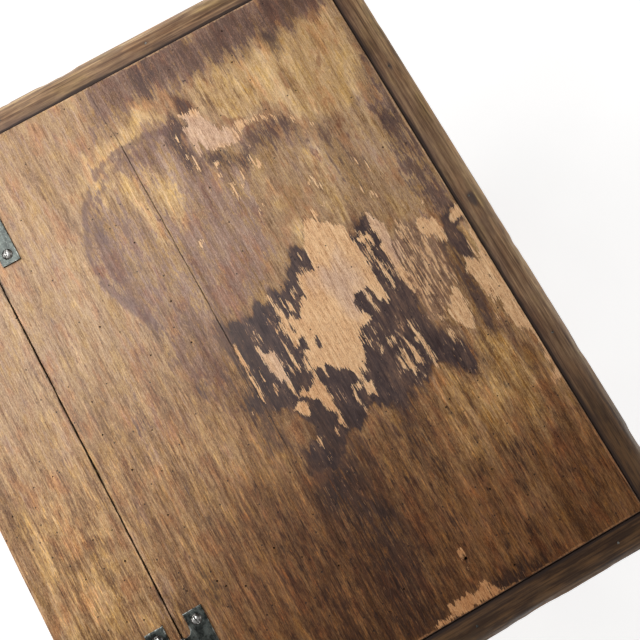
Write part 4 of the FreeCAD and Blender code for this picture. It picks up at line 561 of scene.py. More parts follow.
# clean golden finish
GOLD = [
    (0.50, 9, [(146, -66), (180, -66), (216, -90), (226, -118), (204, -114), (190, -98), (166, -84), (140, -80)]),
    (0.75, 8, [(-196, -328), (-124, -326), (-120, -344), (-160, -350), (-196, -346)]),
    (0.85, 7, [(-186, -362), (-116, -362), (-104, -382), (-186, -386)]),
    (0.45, 8, [(186, -322), (216, -322), (216, -346), (186, -346)]),
    (0.95, 7, [(182, -122), (204, -118), (222, -128), (234, -124), (238, -140), (246, -160), (250, -172), (256, -205),
               (240, -208), (229, -195), (229, -150), (212, -134), (196, -128)]),
    (0.85, 4, [(122, -150), (160, -147), (190, -140), (204, -150), (199, -158), (150, -159), (122, -158)]),
    (0.80, 6, [(132, -178), (146, -165), (190, -163), (208, -166), (192, -178), (162, -192), (140, -186)]),
    (0.80, 7, [(204, -262), (232, -243), (256, -242), (258, -300), (257, -400), (204, -406), (160, -392), (158, -352), (166, -332),
               (192, -302), (200, -276)]),
    (0.55, 8, [(84, -255), (140, -252), (150, -258), (130, -268), (110, -290), (84, -296), (70, -270)]),
    (0.50, 8, [(60, -300), (140, -300), (156, -318), (140, -324), (80, -326), (60, -318)]),
    (0.60, 10, [(-190, -292), (-120, -296), (-108, -320), (-120, -334), (-180, -322), (-200, -306)]),
    (0.75, 5, [(-196, -360), (-150, -354), (-100, -362), (-96, -374), (-150, -379), (-196, -374)]),
    (0.55, 6, [(-184, -335), (-126, -336), (-120, -350), (-160, -352)]),
    (0.40, 6, [(-178, -224), (-150, -226), (-146, -240), (-176, -240)]),
    (0.40, 6, [(-190, -262), (-170, -268), (-166, -280), (-190, -278)]),
    (0.30, 16, [(-60, 0), (60, 0), (140, -60), (120, -76), (30, -70), (-60, -50)]),
    (0.44, 16, [(-180, 10), (-60, 6), (-20, 40), (-40, 90), (-180, 90)]),
    (0.55, 10, [(166, -96), (196, -104), (222, -120), (226, -150), (204, -156), (186, -140), (176, -120)]),
    (0.60, 8, [(-196, -364), (-110, -364), (-104, -382), (-196, -384)]),
    (0.40, 8, [(84, -388), (134, -388), (134, -404), (84, -404)]),
]
# finish worn through in streaks
SEMI = [
    (0.88, 4, [(-62, -340), (-40, -334), (10, -334), (26, -342), (28, -362), (22, -372), (-10, -374), (-40, -372), (-44, -362), (-62, -346)]),
    (0.50, 4, [(-92, -342), (-72, -338), (-60, -342), (-78, -352), (-92, -350)]),
    (0.40, 3, [(-60, -331), (-22, -330), (-22, -340), (-60, -340)]),
    (0.22, 3, [(-42, -193), (10, -196), (26, -204), (30, -216), (-4, -213), (-40, -210)]),
    (0.22, 3, [(-100, -296), (-60, -296), (-56, -318), (-98, -318)]),
    (0.12, 3, [(-104, -183), (-92, -182), (-86, -190), (-100, -193)]),
    (0.50, 3, [(-6, -212), (28, -214), (28, -226), (8, -232), (-2, -222)]),
    (0.55, 2.5, [(-16, -313), (46, -312), (50, -322), (10, -326), (-16, -322)]),
    (0.45, 3, [(-60, -276), (-44, -268), (-34, -272), (-36, -282), (-58, -284)]),
]
# sparse pale flecks
FLECK = [
    (0.8, 5, [(84, -228), (150, -228), (176, -244), (172, -266), (130, -266), (90, -250)]),
    (0.7, 4, [(160, -204), (214, -204), (214, -218), (160, -220)]),
    (0.8, 4, [(64, -334), (112, -340), (130, -352), (100, -358), (66, -350)]),
    (0.6, 4, [(78, -294), (116, -296), (116, -308), (80, -308)]),
    (0.7, 4, [(150, -310), (182, -300), (184, -316), (160, -326)]),
    (0.06, 4, [(-110, -180), (-60, -196), (-50, -216), (-100, -222)]),
    (0.2, 4, [(-104, -264), (-60, -262), (-46, -290), (-100, -292)]),
    (0.5, 5, [(0, -196), (40, -196), (40, -240), (10, -232)]),
    (0.5, 5, [(58, -216), (100, -212), (96, -232), (60, -236)]),
]
# warm red-brown
RED = [
    (0.8, 3, [(196, -262), (208, -260), (206, -272), (198, -276)]),
    (0.8, 3, [(228, -222), (250, -226), (254, -233), (246, -238), (228, -240)]),
    (0.7, 4, [(150, -344), (158, -346), (158, -362), (150, -360)]),
    (0.6, 4, [(200, -322), (216, -322), (216, -340), (202, -338)]),
    (0.5, 6, [(84, -256), (130, -268), (116, -290), (84, -296)]),
    (0.6, 3, [(204, -364), (214, -362), (214, -370), (204, -370)]),
    (0.5, 5, [(28, -336), (40, -340), (44, -356), (30, -366)]),
    (0.45, 6, [(180, -268), (196, -270), (192, -300), (178, -300)]),
    (0.6, 3, [(120, -84), (130, -86), (128, -94), (118, -92)]),
]
# where the bare wood is greyer, pinker
GREY = [
    (0.9, 12, [(20, -252), (40, -266), (40, -290), (10, -300), (-14, -290), (-20, -268), (0, -262)]),
    (1.0, 10, [(176, -216), (232, -216), (232, -242), (200, -262), (176, -262)]),
    (0.7, 8, [(0, -330), (60, -326), (56, -344), (0, -340)]),
    (0.7, 6, [(-40, -178), (0, -178), (0, -194), (-40, -194)]),
]
# beetle holes: x, y, radius
HOLES = [
    (-259.4, -250.7, 1.5), (-257.2, -252.4, 0.9),
    (-168.9, -49.8, 0.95), (-163.5, -22.6, 0.7), (-176.6, -54.7, 0.95), (-83.6, 30.1, 0.75), (-144.7, 56.3, 0.65), (-160.9, 35.9, 0.7),
    (-166.7, 22, 0.85), (-84.2, 11.3, 0.8), (-120.2, 3.8, 0.8), (-113.8, 13.5, 0.95), (-23.2, -61.2, 0.75), (-97.2, -38.6, 0.9),
    (-81.8, -104.9, 0.6), (-185.2, -70.1, 0.95), (-215.8, -74.4, 0.7), (-168.7, -107.4, 0.95), (-187.6, -125.3, 0.75), (-175.9, -225, 0.65),
    (-147.3, -315.7, 0.7), (-136.2, -303.5, 0.85), (-191.2, -306.2, 0.8), (-204, -310.9, 0.8), (-218.2, -300.3, 0.95), (-239.2, -326.9, 0.75),
    (-255.3, -190.1, 0.9), (105, -76.7, 0.6), (84.6, -63.1, 0.95), (71.2, -77.1, 0.7), (73.6, -131.9, 0.95), (113.5, -214.8, 0.75),
    (55.1, -249.1, 0.65), (26.4, -25.1, 0.7), (286, -300.5, 0.85), (295.7, -269.1, 0.8), (211.1, -197, 0.8), (252.8, -293.6, 0.95),
    (98.1, -398.2, 0.75), (105.5, -377.3, 0.9), (30.3, -378.2, 0.6), (-131.4, -310, 0.95), (-150.4, -349.5, 0.7), (-120, -338.5, 0.95),
    (-98, -371, 0.75), (-16, 36.5, 0.65), (-60, -52, 0.7), (-5, -20, 0.85), (52, 4, 0.8), (140, -128, 0.8),
    (-46, -29, 0.95), (38, -92, 0.75), (-210, -150, 0.9), (-266, -64, 0.6), (-232, -24, 0.95), (-250, 40, 0.7),
    (180, 60, 0.95), (240, 30, 0.75), (110, 44, 0.65), (60, 70, 0.7), (-30, 84, 0.85), (210, 88, 0.8),
    (262, 72, 0.8), (-285, -285, 0.95), (-118, -152, 0.75), (30, -130, 0.9), (-140, -188, 0.6), (152, -215, 0.95),
    (-266, -170, 0.7),
]

# ---------------------------------------------------------------------------
# material nodes
# ---------------------------------------------------------------------------
class Net:
    def __init__(self, name):
        self.mat = bpy.data.materials.new(name)
        self.mat.use_nodes = True
        self.t = self.mat.node_tree
        self.t.nodes.clear()
        self.out = self.t.nodes.new("ShaderNodeOutputMaterial")
        self.bsdf = self.t.nodes.new("ShaderNodeBsdfPrincipled")
        self.t.links.new(self.bsdf.outputs[0], self.out.inputs[0])
        self._co = None

    def put(self, sock, v):
        if v is None:
            return
        if isinstance(v, bpy.types.NodeSocket):
            self.t.links.new(v, sock)
        else:
            sock.default_value = v

    def node(self, kind):
        return self.t.nodes.new(kind)

    def co(self):
        if self._co is None:
            self._co = self.node("ShaderNodeTexCoord").outputs["Object"]
        return self._co

    def m(self, op, a, b=None, c=None, clamp=False):
        n = self.node("ShaderNodeMath")
        n.operation = op
        n.use_clamp = clamp
        self.put(n.inputs[0], a)
        self.put(n.inputs[1], b)
        self.put(n.inputs[2], c)
        return n.outputs[0]

    def add(self, a, b):
        return self.m("ADD", a, b)

    def mul(self, a, b, clamp=False):
        return self.m("MULTIPLY", a, b, clamp=clamp)

    def sub(self, a, b):
        return self.m("SUBTRACT", a, b)

    def mix(self, f, a, b, blend="MIX"):
        n = self.node("ShaderNodeMix")
        n.data_type = "RGBA"
        n.blend_type = blend
        n.clamp_factor = True
        self.put(n.inputs[0], f)
        self.put(n.inputs[6], a)
        self.put(n.inputs[7], b)
        return n.outputs[2]

    def lerp(self, f, a, b):
        n = self.node("ShaderNodeMix")
        n.data_type = "FLOAT"
        n.clamp_factor = True
        self.put(n.inputs[0], f)
        self.put(n.inputs[2], a)
        self.put(n.inputs[3], b)
        return n.outputs[0]

    def vadd(self, a, b):
        n = self.node("ShaderNodeVectorMath")
        n.operation = "ADD"
        self.put(n.inputs[0], a)
        self.put(n.inputs[1], b)
        return n.outputs[0]

    def vscale(self, a, s):
        n = self.node("ShaderNodeVectorMath")
        n.operation = "MULTIPLY"
        self.put(n.inputs[0], a)
        n.inputs[1].default_value = s
        return n.outputs[0]

    def place(self, vec, scale=(1, 1, 1), loc=(0, 0, 0), rot=(0, 0, 0)):
        n = self.node("ShaderNodeMapping")
        self.put(n.inputs["Vector"], vec)
        n.inputs["Location"].default_value = loc
        n.inputs["Rotation"].default_value = rot
        n.inputs["Scale"].default_value = scale
        return n.outputs[0]

    def noise(self, vec, scale=1.0, detail=2.0, rough=0.5, dist=0.0, color=False):
        n = self.node("ShaderNodeTexNoise")
        self.put(n.inputs["Vector"], vec)
        n.inputs["Scale"].default_value = scale
        n.inputs["Detail"].default_value = detail
        n.inputs["Roughness"].default_value = rough
        n.inputs["Distortion"].default_value = dist
        return n.outputs["Color" if color else "Fac"]

    def voronoi(self, vec, scale=1.0, feature="F1", rnd=1.0, out="Distance", dims="3D"):
        n = self.node("ShaderNodeTexVoronoi")
        n.voronoi_dimensions = dims
        n.feature = feature
        self.put(n.inputs["Vector"], vec)
        n.inputs["Scale"].default_value = scale
        n.inputs["Randomness"].default_value = rnd
        return n.outputs[out]

    def step(self, v, a, b, c=0.0, d=1.0, ease=True):
        n = self.node("ShaderNodeMapRange")
        n.interpolation_type = "SMOOTHSTEP" if ease else "LINEAR"
        n.clamp = True
        self.put(n.inputs["Value"], v)
        self.put(n.inputs["From Min"], a)
        self.put(n.inputs["From Max"], b)
        self.put(n.inputs["To Min"], c)
        self.put(n.inputs["To Max"], d)
        return n.outputs[0]

    def ramp(self, v, stops):
        n = self.node("ShaderNodeValToRGB")
        r = n.color_ramp
        while len(r.elements) > 1:
            r.elements.remove(r.elements[-1])
        r.elements[0].position = stops[0][0]
        r.elements[0].color = stops[0][1]
        for p, c in stops[1:]:
            e = r.elements.new(p)
            e.color = c
        self.put(n.inputs[0], v)
        return n.outputs[0]

    def attr(self, name):
        n = self.node("ShaderNodeAttribute")
        n.attribute_type = "GEOMETRY"
        n.attribute_name = name
        return n.outputs["Fac"]

    def sep(self, vec):
        n = self.node("ShaderNodeSeparateXYZ")
        self.put(n.inputs[0], vec)
        return n.outputs

    def bump(self, height, strength=1.0, distance=0.001, normal=None):
        n = self.node("ShaderNodeBump")
        n.inputs["Strength"].default_value = strength
        n.inputs["Distance"].default_value = distance
        self.put(n.inputs["Height"], height)
        if normal is not None:
            self.put(n.inputs["Normal"], normal)
        return n.outputs[0]

    def hsv(self, color, h=0.5, s=1.0, v=1.0):
        n = self.node("ShaderNodeHueSaturation")
        self.put(n.inputs["Hue"], h)
        self.put(n.inputs["Saturation"], s)
        self.put(n.inputs["Value"], v)
        self.put(n.inputs["Color"], color)
        return n.outputs[0]

    def finish(self, color, rough, normal=None, metallic=0.0, spec=0.5, coat=0.0, coat_rough=0.3):
        self.put(self.bsdf.inputs["Base Color"], color)
        self.put(self.bsdf.inputs["Roughness"], rough)
        self.bsdf.inputs["Metallic"].default_value = metallic
        self.bsdf.inputs["Specular IOR Level"].default_value = spec
        if coat:
            self.bsdf.inputs["Coat Weight"].default_value = coat
            self.bsdf.inputs["Coat Roughness"].default_value = coat_rough
        if normal is not None:
            self.put(self.bsdf.inputs["Normal"], normal)
        return self.mat


AXIS_ROT = {"X": (0, 0, 0), "Y": (0, 0, -math.pi / 2), "Z": (0, math.pi / 2, 0)}


def grain(net, axis="X", seed=0, wave=1.0):
    """Sockets of one board's figure: its coordinates, plain and waved, then fine streaks, bands and pores, these three
    0 to 1.
    """
    p = net.place(net.co(), rot=AXIS_ROT[axis])
    p = net.place(p, loc=(0.37 * seed, 0.53 * seed, 0.29 * seed))
    w = net.noise(net.place(p, scale=(4.0, 14.0, 14.0)), 1.0, 2.0, 0.5, color=True)
    w = net.vscale(net.vadd(w, (-0.5, -0.5, -0.5)), (0.0, 0.006 * wave, 0.006 * wave))
    q = net.vadd(p, w)
    fine = net.noise(net.place(q, scale=(16, 620, 620)), 1.0, 3.0, 0.62)
    band = net.noise(net.place(q, scale=(4.5, 120, 120)), 1.0, 3.0, 0.55)
    pores = net.noise(net.place(q, scale=(75, 2100, 2100)), 1.0, 1.0, 0.5)
    return p, q, fine, band, pores


def top_material():
    n = Net("top_old_finish")
    p = n.place(n.co(), loc=(1.11, 1.59, 0.87))
    w = n.noise(n.place(p, scale=(5.0, 16.0, 16.0)), 1.0, 2.0, 0.5, color=True)
    q = n.vadd(p, n.vscale(n.vadd(w, (-0.5, -0.5, -0.5)), (0.0, 0.005, 0.0)))

    def amp(vec, scale, detail, rough, k, loc=(0, 0, 0)):
        return n.mul(n.sub(n.noise(n.place(vec, scale=scale, loc=loc), 1.0, detail, rough), 0.5), k)

    f1 = amp(q, (60, 1050, 1050), 3.0, 0.62, 3.0)
    f2 = amp(q, (19, 430, 430), 3.0, 0.60, 3.0, (1, 3, 2))
    f3 = amp(q, (7, 120, 120), 2.0, 0.55, 3.0, (4, 1, 2))
    c1 = amp(p, (22, 60, 60), 5.0, 0.64, 3.0, (3, 1, 7))
    c3 = amp(p, (52, 150, 150), 4.0, 0.66, 3.4, (5, 2, 6))
    c4 = amp(p, (150, 430, 430), 4.0, 0.68, 3.4, (9, 6, 2))
    hv = amp(p, (34, 80, 80), 3.0, 0.60, 3.4, (7, 7, 3))
    g1 = amp(p, (520, 1500, 1500), 2.0, 0.60, 3.0)
    a_bare, a_dark, a_stain, a_gold = n.attr("bare"), n.attr("dark"), n.attr("stain"), n.attr("gold")
    a_semi, a_fleck, a_red, a_grey, a_shade = n.attr("semi"), n.attr("fleck"), n.attr("red"), n.attr("grey"), n.attr("shade")
    a_edge, a_tide = n.attr("edge"), n.attr("tide")

    def total(*pairs):
        out = None
        for v, k in pairs:
            t = n.mul(v, k)
            out = t if out is None else n.add(out, t)
        return out

    def tint(f, col, rgb):
        return n.mix(f, col, n.mix(1.0, col, rgb + (1.0,), "MULTIPLY"))

    # painted glare: the light end of the top is painted paler and greyer with less contrast, standing in for the sheen
    # of the key light's reflection; the other end keeps more contrast
    glare_veil = n.step(n.add(n.sep(n.co())[0], n.mul(c1, 0.02)), -0.075, 0.095)
    outside_glare = n.sub(1.0, glare_veil)
    s = n.add(n.mul(total((f1, 0.32), (f2, 0.26), (f3, 0.22), (c1, 0.30), (c3, 0.25), (c4, 0.20), (g1, 0.32)), n.add(n.mul(outside_glare, 0.45), 0.86)), 0.5)
    base = n.ramp(s, [(0.08, srgb(94, 66, 44)), (0.34, srgb(140, 106, 74)), (0.58, srgb(174, 139, 99)), (0.92, srgb(214, 177, 129))])
    goldc = n.ramp(s, [(0.08, srgb(124, 88, 50)), (0.38, srgb(172, 134, 86)), (0.62, srgb(204, 166, 116)), (0.92, srgb(234, 197, 148))])
    pur = n.ramp(s, [(0.10, srgb(68, 47, 38)), (0.38, srgb(112, 82, 67)), (0.62, srgb(146, 115, 96)), (0.90, srgb(190, 158, 132))])
    # purple-brown streaks run through the whole finish
    base = n.mix(n.mul(n.step(total((f2, 0.7), (c1, 0.7), (c3, 0.5)), -0.05, 0.55), 0.66), base, pur)
    g = n.step(n.add(a_gold, total((f2, 0.35), (c3, 0.35), (c1, 0.35))), 0.30, 0.74)
    base = n.mix(g, base, goldc)
    st = n.step(n.add(n.sub(a_stain, n.mul(a_gold, 0.42)), total((f2, 0.46), (f1, 0.20), (c3, 0.50), (c1, 0.34), (c4, 0.30))), 0.30, 0.56)
    base = n.mix(n.mul(st, 0.88), base, pur)
    td = n.step(n.add(a_tide, total((f2, 0.20), (c3, 0.30), (c4, 0.20))), 0.18, 0.56)
    base = n.mix(n.mul(td, 0.70), base, n.ramp(s, [(0.15, srgb(86, 62, 56)), (0.85, srgb(132, 102, 88))]))
    # redder and yellower clouds, then small dark and pale mottles
    hue = n.add(hv, n.mul(c4, 0.35))
    base = tint(n.mul(n.step(hue, 0.02, 0.62), 0.78), base, (1.0, 0.79, 0.68))
    base = tint(n.mul(n.step(hue, -0.02, -0.62), 0.74), base, (1.05, 1.01, 0.76))
    # painted reflection: pale bluish-grey tint of the glare at the light end
    base = tint(glare_veil, base, (1.04, 1.12, 1.30))
    mot = n.mul(total((c3, 0.55), (c4, 0.75), (f1, 0.45)), n.add(n.mul(outside_glare, 0.25), 0.86))
    # short red-brown and golden streaks, strongest towards the dark end, away from the painted glare
    sh = total((amp(q, (52, 640, 640), 3.0, 0.66, 3.4, (2, 6, 1)), 0.85), (amp(q, (26, 300, 300), 2.0, 0.6, 3.4, (6, 1, 9)), 0.45), (c4, 0.20))
    ks = n.add(n.mul(outside_glare, 0.36), 0.40)
    base = tint(n.mul(n.step(sh, 0.02, 0.60), ks), base, (0.60, 0.47, 0.42))
    base = tint(n.mul(n.step(sh, -0.02, -0.60), ks), base, (1.36, 1.30, 1.04))
    # purple-black clouds in the old finish
    cl = total((amp(p, (34, 72, 72), 4.0, 0.64, 3.4, (8, 4, 4)), 0.80), (f2, 0.34), (f1, 0.26), (c4, 0.24), (a_shade, 0.20), (a_dark, 0.25))
    base = n.mix(n.mul(n.step(cl, 0.40, 0.74), n.add(n.mul(outside_glare, 0.50), 0.16)), base, srgb(64, 46, 43))
    base = tint(n.mul(n.step(mot, 0.10, 0.52), 0.74), base, (0.56, 0.49, 0.45))
    base = tint(n.mul(n.step(mot, -0.12, -0.55), 0.70), base, (1.30, 1.25, 1.10))
    rd = n.step(n.add(a_red, total((f2, 0.3), (c3, 0.4))), 0.28, 0.66)
    base = n.mix(n.mul(rd, 0.62), base, n.ramp(s, [(0.15, srgb(92, 52, 36)), (0.85, srgb(150, 98, 66))]))
    # what is left of the finish between worn streaks is a dull red-brown
    base = n.mix(n.mul(a_semi, 0.80), base, n.ramp(s, [(0.15, srgb(70, 50, 47)), (0.50, srgb(100, 75, 67)), (0.85, srgb(140, 104, 86))]))
    # dense dark finish, streaky where it thins out
    k = n.add(n.mul(n.mul(a_dark, n.sub(1.0, a_dark)), 4.0), 0.10)
    dk = n.add(a_dark, n.mul(total((f1, 0.46), (f2, 0.42), (c3, 0.46), (c1, 0.26), (c4, 0.22)), k))
    dk = n.add(dk, n.mul(a_semi, n.mul(total((f2, 0.6), (f1, 0.5)), 0.9)))
    d1 = n.step(dk, 0.32, 0.62)
    film = n.step(n.add(a_dark, n.mul(total((f2, 0.42), (c3, 0.42), (c1, 0.30), (f1, 0.36)), n.step(a_dark, 0.0, 0.30))), 0.21, 0.82, ease=False)
    base = tint(n.mul(film, 0.90), base, (0.42, 0.36, 0.35))
    s2 = n.add(total((f1, 0.34), (f2, 0.26), (c3, 0.42), (c1, 0.36), (g1, 0.26)), 0.5)
    dcol = n.ramp(s2, [(0.08, srgb(45, 34, 36)), (0.40, srgb(65, 52, 52)), (0.66, srgb(86, 68, 63)), (0.95, srgb(118, 92, 77))])
    base = n.mix(n.mul(d1, n.step(a_dark, 0.36, 0.74, 0.42, 0.95)), base, dcol)
    # small dark smears
    sm_ = n.step(total((f1, 0.55), (c1, 0.75)), 0.52, 0.74)
    base = n.mix(n.mul(sm_, 0.55), base, srgb(76, 56, 52))
    # the left end is browner and darker: a darker finish together with painted shade of the key light falling off and
    # warmer light there
    dim = n.step(n.add(a_shade, total((c1, 0.24), (f2, 0.22), (c3, 0.22))), -0.05, 1.05, ease=False)
    base = tint(dim, base, (0.425, 0.312, 0.232))
    crisp = total((f1, 0.45), (g1, 0.45), (amp(q, (80, 620, 620), 4.0, 0.70, 3.4, (3, 9, 9)), 0.95))
    kc = n.add(n.mul(outside_glare, n.add(n.mul(dim, 0.60), 0.54)), n.mul(glare_veil, 0.22))
    base = tint(n.mul(n.step(crisp, 0.02, 0.72), kc), base, (0.40, 0.33, 0.31))
    base = tint(n.mul(n.step(crisp, -0.02, -0.72), kc), base, (1.90, 1.76, 1.50))
    # fine dark pores and grain lines
    pores = n.noise(n.place(q, scale=(120, 2000, 2000)), 1.0, 1.0, 0.5)
    po = n.step(pores, 0.62, 0.71)
    base = n.mix(n.mul(po, 0.40), base, srgb(60, 42, 36))
    li = n.step(amp(q, (32, 1350, 1350), 2.0, 0.6, 3.0, (6, 6, 6)), 0.30, 0.56)
    base = tint(n.mul(li, 0.60), base, (0.60, 0.54, 0.50))

    # bare wood where the finish is gone
    win = n.step(n.m("ABSOLUTE", a_bare), 5.6, 2.2)
    jag = n.mul(n.add(total((f1, 3.2), (g1, 0.6)), amp(p, (110, 760, 760), 3.0, 0.64, 7.0, (5, 2, 1))), win)
    edge_mm = n.add(a_bare, jag)
    bare = n.step(edge_mm, 0.0, 0.36)
    se = n.add(amp(q, (44, 430, 430), 5.0, 0.74, 3.4, (2, 9, 4)), n.mul(c3, 0.30))
    t1 = n.sub(0.50, n.mul(a_semi, 0.52))
    semi = n.mul(n.step(n.sub(se, t1), 0.0, 0.07), n.step(a_semi, 0.02, 0.22))
    fl = amp(q, (85, 800, 800), 4.0, 0.68, 3.4, (1, 3, 8))
    t2 = n.sub(0.64, n.mul(a_fleck, 0.26))
    fleck = n.mul(n.step(n.sub(fl, t2), 0.0, 0.06), n.step(a_fleck, 0.05, 0.3))
    # a few pale dashes inside the dark finish
    dash = n.mul(n.step(n.add(amp(q, (75, 950, 950), 3.0, 0.66, 3.4, (8, 8, 1)), n.mul(c3, 0.5)), 0.60, 0.66), n.step(a_dark, 0.4, 0.8))
    nick = n.step(amp(p, (320, 760, 760), 2.0, 0.5, 3.0, (8, 3, 2)), 0.80, 0.88)
    s3 = n.add(total((f1, 0.46), (f2, 0.26), (g1, 0.42), (c4, 0.26), (c3, 0.16)), 0.5)
    wood = n.ramp(s3, [(0.06, srgb(158, 112, 76)), (0.30, srgb(196, 152, 110)), (0.52, srgb(215, 173, 130)), (0.94, srgb(238, 205, 162))])
    greyw = n.ramp(s3, [(0.06, srgb(142, 110, 92)), (0.45, srgb(188, 155, 131)), (0.94, srgb(224, 194, 170))])
    wood = n.mix(n.mul(n.step(n.add(a_grey, total((c1, 0.40), (c3, 0.30))), 0.20, 0.95, ease=False), 0.85), wood, greyw)
    wood = tint(n.mul(n.step(hue, 0.0, 0.6), 0.4), wood, (0.98, 0.90, 0.84))
    wood = tint(n.mul(n.step(total((c3, 0.60), (c4, 0.55), (f2, 0.35), (c1, 0.30)), 0.02, 0.60), 0.70), wood, (0.80, 0.76, 0.77))
    wood = n.mix(n.mul(po, 0.48), wood, srgb(132, 92, 66))
    wood = tint(n.mul(li, 0.35), wood, (0.80, 0.72, 0.66))
    # painted shade: the bare wood at the left end is darkened and warmed as well
    wood = tint(n.mul(dim, 0.9), wood, (0.72, 0.52, 0.36))
    # thin traces of the finish stay on the bare wood
    wood = n.mix(n.mul(n.step(amp(q, (120, 1200, 1200), 3.0, 0.66, 3.4, (3, 5, 5)), 0.42, 0.52), 0.55), wood, srgb(120, 84, 62))
    soft_w = n.m("MAXIMUM", n.mul(semi, 0.88), n.m("MAXIMUM", n.mul(fleck, 0.88), n.m("MAXIMUM", n.mul(nick, 0.4), n.mul(dash, 0.72))))
    worn = n.m("MAXIMUM", bare, soft_w)
    ed = n.step(n.add(a_edge, total((f2, 0.3), (c1, 0.4))), 0.62, 0.95)
    worn = n.m("MAXIMUM", worn, n.mul(ed, 0.50))
    col = n.mix(worn, base, wood)
    # the finish is thicker and darker where it lifts round a bare place
    rim = n.mul(n.step(edge_mm, -1.6, -0.1), n.sub(1.0, bare))
    col = n.mix(n.mul(rim, 0.16), col, srgb(58, 43, 38))
    # scratches, a little stronger inside the painted glare
    sc = n.noise(n.place(n.place(p, rot=(0, 0, 0.35)), scale=(22, 820, 820), loc=(4, 4, 4)), 1.0, 1.0, 0.4)
    sc2 = n.noise(n.place(n.place(p, rot=(0, 0, -0.9)), scale=(30, 900, 900), loc=(2, 4, 1)), 1.0, 1.0, 0.4)
    scr = n.m("MAXIMUM", n.step(sc, 0.735, 0.755), n.mul(n.step(sc2, 0.755, 0.775), 0.7))
    col = n.mix(n.mul(scr, n.add(n.mul(glare_veil, 0.10), 0.05)), col, srgb(206, 172, 140))
    # pin holes and specks of dirt
    vd = n.voronoi(p, 62.0, dims="2D")
    vc = n.sep(n.voronoi(p, 62.0, out="Color", dims="2D"))[0]
    pin = n.mul(n.step(vd, 0.036, 0.060, 1.0, 0.0), n.step(n.add(vc, n.mul(outside_glare, 0.12)), 0.84, 0.86))
    vd2 = n.voronoi(p, 300.0, dims="2D")
    vc2 = n.sep(n.voronoi(p, 300.0, out="Color", dims="2D"))[1]
    pin2 = n.mul(n.step(vd2, 0.06, 0.13, 1.0, 0.0), n.step(vc2, 0.93, 0.95))
    col = n.mix(n.m("MAXIMUM", n.mul(pin, 0.85), n.mul(pin2, 0.5)), col, srgb(34, 24, 20))
    # grime in the crack, along the joints and in the beetle holes
    hole = n.attr("hole")
    col = n.mix(hole, col, srgb(24, 16, 12))
    rough = n.lerp(worn, n.lerp(d1, n.step(c1, -0.4, 0.6, 0.46, 0.62), 0.40), 0.74)
    h = total((f1, 0.10), (g1, 0.10), (n.sub(1.0, po), 0.4), (n.sub(1.0, worn), 0.5), (n.sub(1.0, pin), 0.8))
    nor = n.bump(h, 0.6, 0.00022)
    return n.finish(col, rough, nor, spec=0.26)


def growth_rings(n, p0, shift, centre, tilt, count, seed):
    """Dark late-wood lines of a flat-sawn board. The pith runs beside the board and a little aslant."""
    x, y, z = n.sep(n.vadd(p0, shift))
    cy = n.sub(n.sub(y, centre[0]), n.mul(x, tilt[0]))
    cz = n.sub(n.sub(z, centre[1]), n.mul(x, tilt[1]))
    r = n.m("SQRT", n.add(n.mul(cy, cy), n.mul(cz, cz)))
    big = n.noise(n.place(p0, scale=(3.5, 8, 8), loc=(seed + 9.0, 9, 1)), 1.0, 1.0, 0.5)
    mid = n.noise(n.place(p0, scale=(7, 60, 60), loc=(seed + 2.0, 4, 6)), 1.0, 1.0, 0.5)
    r = n.add(r, n.add(n.mul(n.sub(big, 0.5), 0.026), n.mul(n.sub(mid, 0.5), 0.0036)))
    saw = n.m("FRACT", n.mul(r, count))
    every = n.noise(n.place(p0, scale=(3, 30, 30), loc=(seed + 5.0, 1, 2)), 1.0, 1.0, 0.5)
    line = n.mul(n.step(saw, 0.25, 0.92), n.step(saw, 0.93, 1.0, 1.0, 0.0))
    return n.mul(line, n.step(every, 0.30, 0.66, 0.45, 1.0))


